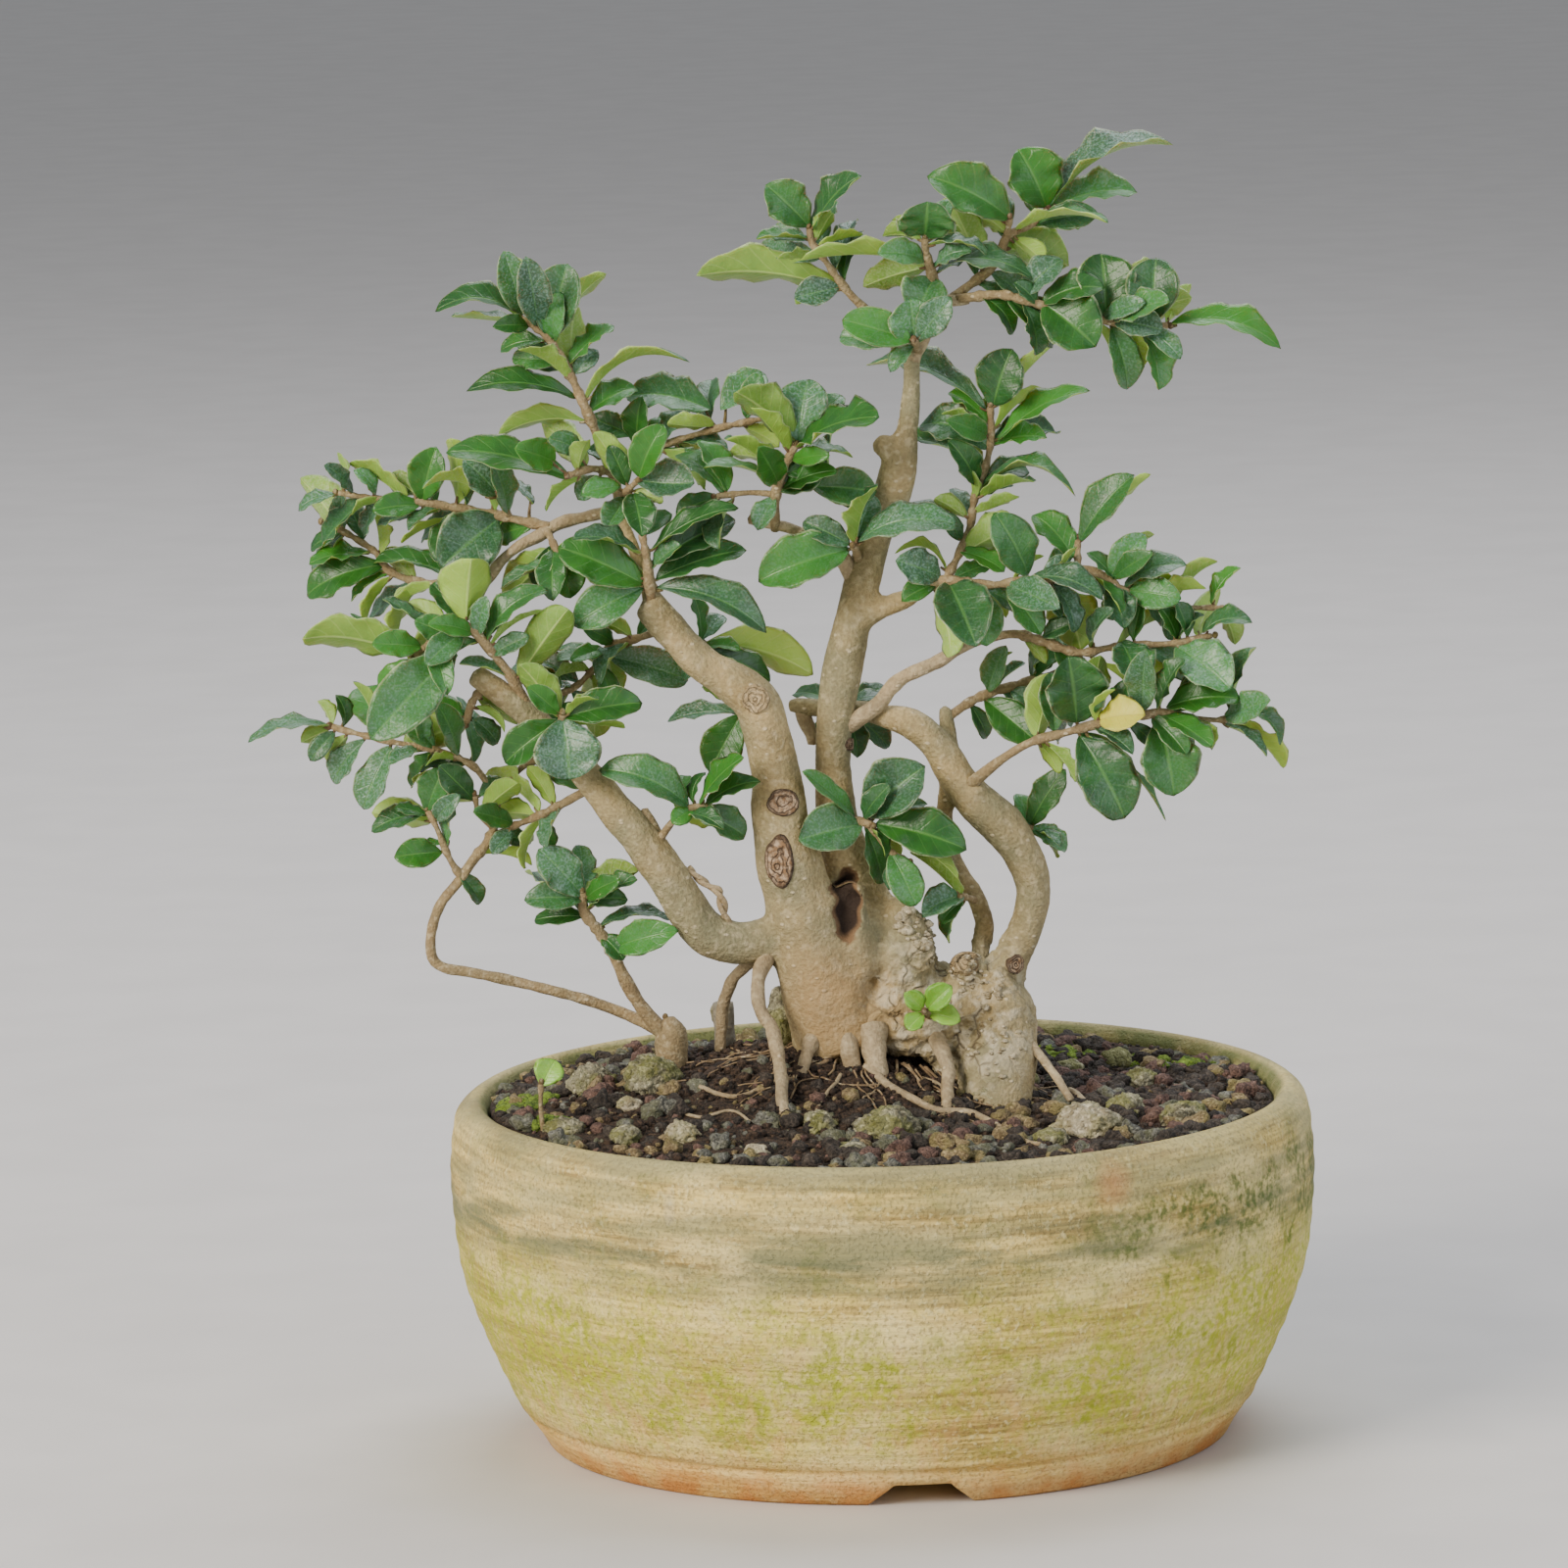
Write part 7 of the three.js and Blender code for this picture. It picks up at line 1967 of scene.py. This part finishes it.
@dataclass
class Pot:
    """The thrown pot: full belly, incised line over the foot, rolled lip and drain notches."""

    segments: int = 180
    wobble: float = 0.45
    ridge: float = 0.13
    ridge_pitch: float = 6.5

    def outline(self) -> np.ndarray:
        """Gives the section's points, radius and height, from the drain hole out, up, in and down.

        Returns:
            The points, one a row.
        """
        belly = np.array([[94.2, 10.6, 0], [98.5, 20, 0], [104, 33, 0], [108.2, 47, 0], [109.9, 66, 0],
                          [109.2, 78, 0], [107.8, 84.6, 0], [103.6, 88, 0], [99.9, 84.6, 0], [101, 76, 0]])
        line, _ = curve_through(belly, np.ones(len(belly)), 1.6)
        foot = [[DRAIN_HOLE_RADIUS, 3], [72, 3], [74.4, 0.6], [75.4, 0], [86, 0], [87.2, 0.7], [89.5, 4.2],
                [92.6, 8.6], [92.2, 9.1], [92.2, 9.6], [92.8, 10.0]]
        inside = [[100.2, 68], [99, 57], [98, 48], [92, 36], [86, 24], [80, 13], [60, 12.2],
                  [DRAIN_HOLE_RADIUS, 10.5]]
        return np.vstack([foot, line[:, :2], inside])

    def build(self) -> Piece:
        """Turns the section, works the throwing ridges and cuts the notches.

        Returns:
            The pot.
        """
        section = self.outline()
        points, faces = [], []
        count = len(section)
        for k in range(self.segments):
            angle = 2 * math.pi * k / self.segments
            aim = Vector((math.cos(angle), math.sin(angle), 0))
            for radius, height in section:
                reach = radius
                if radius > 87 and height > 1:
                    lean = noise.noise(Vector((aim.x * 1.6, aim.y * 1.6, height * 0.03)))
                    ridge = math.sin(2 * math.pi * height / self.ridge_pitch + 3 * lean)
                    tool = noise.noise(Vector((aim.x * 0.8, aim.y * 0.8, height * 0.9)))
                    reach += self.wobble * (lean - 0.4) + self.ridge * (ridge + tool)
                points.append((POT_X + reach * aim.x, reach * aim.y, height))
        for k in range(self.segments):
            for i in range(count):
                a, b = k * count + i, k * count + (i + 1) % count
                c, d = (b + count) % len(points), (a + count) % len(points)
                faces.append((a, d, c, b))
        draft = Draft()
        draft.add(np.array(points), faces)
        pot = draft.make("thrown_pot_fine", [])
        for i in range(NOTCH_COUNT):
            self.cut(pot, math.radians(NOTCH_FROM_FRONT) + 2 * math.pi * i / NOTCH_COUNT)
        pot.data.shade_smooth()
        return pot

    @staticmethod
    def cut(pot: Piece, turn: float) -> None:
        """Cuts one drain notch.

        Args:
            pot: the pot, changed in place.
            turn: the notch's angle from the front.
        """
        wide, narrow = NOTCH_BOTTOM / 2, NOTCH_TOP / 2
        right = [(wide + 1, -1), (narrow + 1.6, NOTCH_HEIGHT - 1.2), (narrow + 0.8, NOTCH_HEIGHT - 0.3),
                 (narrow, NOTCH_HEIGHT)]
        left = [(-x, z) for x, z in reversed(right)]
        shape = [left[-1], *right, *left[:-1]]
        points = [(x, y, z) for y in (-64, -100) for x, z in shape]
        n = len(shape)
        faces: Faces = [tuple(range(n)), tuple(range(2 * n - 1, n - 1, -1))]
        faces += [((k + 1) % n, k, k + n, (k + 1) % n + n) for k in range(n)]
        draft = Draft()
        draft.add(np.array(points, dtype=float), faces)
        wedge = draft.make("notch_wedge", [], smooth=False)
        wedge.data.transform(Matrix.Rotation(turn, 4, "Z"))
        wedge.data.transform(Matrix.Translation((POT_X * MM, 0, 0)))
        form = bmesh.new()
        form.from_mesh(wedge.data)
        bmesh.ops.recalc_face_normals(form, faces=form.faces)
        form.to_mesh(wedge.data)
        form.free()
        cutter = pot.modifiers.new("notch", "BOOLEAN")
        cutter.operation, cutter.solver, cutter.object = "DIFFERENCE", "EXACT", wedge
        mesh = worked(pot)
        pot.modifiers.clear()
        pot.data = mesh
        bpy.data.objects.remove(wedge)

    def dress(self, pot: Piece) -> None:
        """Gives the pot its clay and ties it to the frame.

        Args:
            pot: the pot.
        """
        pot.data.materials.clear()
        pot.data.materials.append(Wardrobe.of(CLAY))
        tie(pot, "pot")


@dataclass
class Soil:
    """The soil mound with its crumbs, gravel, hair roots and moss."""

    radius: float = 100.3
    rings: int = 70
    spokes: int = 200
    depth: float = 60.0
    grains: int = 2900
    crumbs: int = 3600
    hair_roots: int = 40
    seed: int = 11

    def surface(self, x: float, y: float) -> float:
        """Gives the height of the crumbly surface.

        Args:
            x: the place across, in millimetres.
            y: the place in depth.

        Returns:
            The height in millimetres.
        """
        edge = min(1.0, (101 - math.hypot(x - POT_X, y)) / 12)
        coarse = noise.noise(Vector((x * 0.12, y * 0.12, 3)))
        fine = noise.noise(Vector((x * 0.45, y * 0.45, 7)))
        return soil_height(x, y) + edge * (0.9 * coarse + 0.8 * fine)

    def build(self) -> Draft:
        """Draws the mound as one closed body.

        Returns:
            The draft.
        """
        draft = Draft()
        points = [(POT_X, 0.0, self.surface(POT_X, 0))]
        for i in range(1, self.rings + 1):
            reach = self.radius * i / self.rings - (0.9 if i == self.rings else 0)
            for k in range(self.spokes):
                angle = 2 * math.pi * k / self.spokes
                x, y = POT_X + reach * math.cos(angle), reach * math.sin(angle)
                points.append((x, y, self.surface(x, y) - (0.8 if i == self.rings else 0)))
        for k in range(self.spokes):
            angle = 2 * math.pi * k / self.spokes
            points.append((POT_X + 97 * math.cos(angle), 97 * math.sin(angle), self.depth))
        points.append((POT_X, 0.0, self.depth))
        draft.add(np.array(points), disc_faces(self.rings + 1, self.spokes))
        return draft

    def build_gravel(self) -> Draft:
        """Scatters the gravel: small and dark on the mound, larger and mixed beside it.

        Returns:
            The draft.
        """
        draft = Draft()
        chance = random.Random(self.seed)
        zero = np.zeros(3)
        fine, middling, coarse = (
            [ball(zero, form, cuts, rough, k * shift) for k in range(FORM_COUNT)]
            for form, cuts, rough, shift in GRAVEL_FORMS)
        for _ in range(self.grains):
            x, y = spot_round(chance, POT_X, 0.0, INSIDE_WALL - 0.5)
            reach = math.hypot(x - POT_X, y)
            mound = math.exp(-((x - MOUND_X - 4) / 46) ** 2 - (y / 42) ** 2)
            if chance.random() < 0.6 * mound:
                continue
            size = 0.7 + 3.4 * chance.random() ** 3.0 * (1 - 0.7 * mound)
            size = min(size, INSIDE_WALL + 0.3 - reach) if reach > 95 else size
            if size < 0.5:
                continue
            forms = coarse if size > 2.9 else middling if size > 1.3 else fine
            points, faces = chance.choice(forms)
            spin = np.array(Matrix.Rotation(chance.uniform(0, 6.28), 3, "Z")
                            @ Matrix.Rotation(chance.uniform(-0.9, 0.9), 3, "X"))
            lift = self.surface(x, y) + size * chance.uniform(-0.1, 0.3)
            # At the right, beside the trunk, nearly all of it is black, and at the left more of it is pale: partly
            # damp dark gravel, partly painted shade at the right and painted light at the left.
            kind = chance.choices(range(4), (0.62, 0.14, 0.12, 0.12) if x > 58 else (0.34, 0.16, 0.26, 0.24))[0]
            draft.add(points @ spin.T * size + np.array([x, y, lift]), faces, kind)
        for x, z, depth, wide, tall, kind in WEDGED_STONES:
            points, faces = ball(zero, (wide / 2, wide * 0.42, tall / 2), 4, 0.3, x)
            spot = seen(x, z, depth) if depth > -900 else on_soil(x, z) + np.array([0, 0, tall * 0.2])
            draft.add(points + spot, faces, int(kind))
        return draft

    def build_crumbs(self) -> Draft:
        """Scatters crumbs of dark soil, thickest on the mound.

        Returns:
            The draft.
        """
        draft = Draft()
        chance = random.Random(self.seed + 5)
        forms = [ball(np.zeros(3), (1, 0.9, 0.8), 1, 0.6, k * 1.7) for k in range(FORM_COUNT)]
        for _ in range(self.crumbs):
            if chance.random() < 0.6:
                x, y = chance.gauss(MOUND_X + 6, 30), chance.gauss(-4, 30)
            else:
                x, y = spot_round(chance, POT_X, 0.0, INSIDE_WALL - 1)
            size = 0.5 + 1.3 * chance.random() ** 2
            if math.hypot(x - POT_X, y) + size > INSIDE_WALL:
                continue
            points, faces = chance.choice(forms)
            lift = self.surface(x, y) + size * chance.uniform(-0.2, 0.5)
            draft.add(points * size + np.array([x, y, lift]), faces)
        return draft

    def build_hair_roots(self) -> Draft:
        """Draws fine roots that run down the mound from the trunk's foot.

        Returns:
            The draft.
        """
        draft = Draft()
        chance = random.Random(self.seed + 1)
        for _ in range(self.hair_roots):
            angle = chance.uniform(math.pi, 2 * math.pi)
            x = 22 + 26 * math.cos(angle) * chance.uniform(0.7, 1.1)
            y = 14 * math.sin(angle) * chance.uniform(0.8, 1.2)
            heading = angle + chance.uniform(-0.7, 0.7)
            points = []
            for step in range(chance.randint(5, 11)):
                lift = 0.2 + 0.8 * chance.random() if step else 2.0
                points.append([x, y, self.surface(x, y) + lift])
                heading += chance.uniform(-0.55, 0.55)
                x += 4.2 * math.cos(heading)
                y += 4.2 * math.sin(heading)
                if math.hypot(x - POT_X, y) > 93:
                    break
            points[-1][2] -= 2.0
            thick = chance.uniform(0.2, 0.42)
            radii = np.linspace(thick, 0.16, len(points))
            if len(points) > 2:
                draft.limb(np.array(points), radii, 1.4, 6)
        return draft

    def build_moss(self) -> Draft:
        """Draws small moss cushions at the left rim, the right and the back.

        Returns:
            The draft.
        """
        draft = Draft()
        chance = random.Random(self.seed + 2)
        for x, y, spread, count in MOSS_PATCHES:
            for _ in range(count):
                px, py = spot_round(chance, x, y, spread)
                size = chance.uniform(0.8, 2.4)
                if math.hypot(px - POT_X, py) + size > INSIDE_WALL - 0.2:
                    continue
                centre = np.array([px, py, self.surface(px, py) + 0.2 * size])
                draft.add(*ball(centre, (size, size, size * 0.75), 3, 0.5, px + py))
        return draft

    def dress(self, drafts: dict[str, tuple[Draft, list[Finish]]]) -> None:
        """Makes the pieces, gives them their finishes and ties them to the frame.

        Args:
            drafts: each piece's draft and finishes, by name.
        """
        for name, (draft, finishes) in drafts.items():
            tie(draft.make(name, finishes), "soil")


@dataclass
class Stone:
    """A larger stone, rough and pitted, half sunk in the soil."""

    number: int
    row: list[float]
    cuts: int = 5
    rough: float = 0.2
    pits: float = 0.09

    def build(self) -> Draft:
        """Draws the stone.

        Returns:
            The draft.
        """
        x, z, width, height, turn = self.row
        centre = on_soil(x, z - height * 0.2)
        points, faces = ball(np.zeros(3), (1, 1, 1), self.cuts, self.rough, turn * 3)
        for i, point in enumerate(points):
            place = Vector(point) * (width / 2)
            pit = abs(noise.noise(place * 0.55 + Vector((turn, 0, 0)))) + 0.6 * abs(noise.noise(place * 1.3))
            points[i] *= 1 + self.pits * noise.noise(place * 0.9) + self.pits * (0.5 - 2 * pit)
        points = points * np.array([width / 2, width * 0.45, height / 2]) * 1.04
        spin = np.array(Matrix.Rotation(turn, 3, "Z"))
        draft = Draft()
        draft.add(points @ spin.T + centre + np.array([0, width * 0.2, height * 0.12]), faces)
        return draft

    def dress(self, draft: Draft) -> Piece:
        """Makes the piece and ties it to the frame."""
        finish = PALE_STONE if self.number in (5, 8) else MOSSY_STONE
        return tie(draft.make(f"stone_{self.number}_fine", [finish]), f"stone_{self.number}")


# Studio


@dataclass
class Studio:
    """The floor, the soft lights and the camera at the photograph's angle."""

    floor_size: float = 16.0
    air: str = "dfe3ea"
    air_strength: float = 0.48

    def build(self) -> None:
        """Lays the floor, hangs the lights and sets the camera."""
        mesh = bpy.data.meshes.new("floor")
        half = self.floor_size / 2
        corners = [(-half, -half, 0), (half, -half, 0), (half, half, 0), (-half, half, 0)]
        mesh.from_pydata(corners, [], [(0, 1, 2, 3)])
        mesh.materials.append(Wardrobe.of(FloorFinish("floor_board_pale_matt")))
        show("floor", mesh)
        world = bpy.data.worlds.new("studio_air")
        world.use_nodes = True
        air = world.node_tree.nodes["Background"].inputs
        air["Color"].default_value, air["Strength"].default_value = srgb(self.air), self.air_strength
        bpy.context.scene.world = world
        for name, place, power, size, tint in LIGHTS:
            data = bpy.data.lights.new(name, "AREA")
            data.energy, data.size, data.color = power, size, srgb(tint)[:3]
            lamp = show(name, data)
            lamp.location = place
            lamp.rotation_euler = (Vector((0.0, 0.0, 0.15)) - Vector(place)).to_track_quat("-Z", "Y").to_euler()
        self.set_camera()

    @staticmethod
    def set_camera() -> None:
        """Sets the camera where the photograph was taken from."""
        data = bpy.data.cameras.new("camera")
        data.lens, data.sensor_width = CAMERA_LENS, CAMERA_SENSOR
        camera = show("camera", data)
        rise = math.radians(CAMERA_ELEVATION)
        back = Vector((0, -math.cos(rise), math.sin(rise)))
        target = Vector((VIEW_X, 0, VIEW_Z)) * MM
        aim = (-back).to_track_quat("-Z", "Y").to_matrix().to_4x4()
        roll = Matrix.Rotation(math.radians(CAMERA_ROLL), 4, "Z")
        camera.matrix_world = Matrix.Translation(target + back * CAMERA_DISTANCE * MM) @ aim @ roll
        bpy.context.scene.camera = camera


def main() -> None:
    """Builds each sub-assembly in turn, dresses it and logs it."""
    logging.basicConfig(level=logging.INFO, format="%(message)s")
    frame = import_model()
    log.info("frame: %d nodes", len(frame["nodes"]))
    # Noise vectors are seeded from the clock unless a seed is set.
    noise.seed_set(NOISE_SEED)
    Studio().build()
    pot = Pot()
    pot.dress(pot.build())
    log.info("pot")
    soil = Soil()
    soil.dress({
        "soil_mound_fine": (soil.build(), [SOIL]),
        "gravel_fine": (soil.build_gravel(), GRAVEL),
        "soil_crumbs_fine": (soil.build_crumbs(), [SOIL]),
        "hair_roots_fine": (soil.build_hair_roots(), [HAIR_ROOT]),
        "moss_fine": (soil.build_moss(), [MOSS]),
    })
    log.info("soil, gravel, hair roots and moss")
    for number, row in enumerate(STONES, start=1):
        stone = Stone(number, row)
        stone.dress(stone.build())
        log.info("stone %d", number)
    trunk = Trunk()
    trunk.build()
    trunk.dress({
        "roots_and_thin_branches_fine": (trunk.build_fine_branches(), [ROOT_BARK]),
        "healed_cuts_fine": (trunk.build_cuts(), [CUT_WOOD, PALE_CUT]),
        "lime_crumbs_fine": (trunk.build_lime(), [LIME]),
    })
    log.info("trunk, branches, roots and cuts")
    stub = CutStub()
    stub.dress(stub.build())
    log.info("cut stub")
    stems = [SIDE_STEM, *SPRAYS, SEEDLING]
    clearance = Clearance()
    for number, stem in enumerate(stems):
        for rows in stem.twigs:
            clearance.take_limb(rows[1:], number)
    for number, stem in enumerate(stems):
        stem.place_all(clearance, number)
    for number, stem in enumerate(stems):
        young = stem.name in ("trunk_sprout", "weed_seedling")
        leafy = LeafyStem(stem, number, young, (1,) if stem.name == "right_low_spray" else ())
        piece = leafy.dress(leafy.build(clearance))
        log.info("%s: %d faces", piece.name, len(piece.data.polygons))


if __name__ == "__main__":
    main()
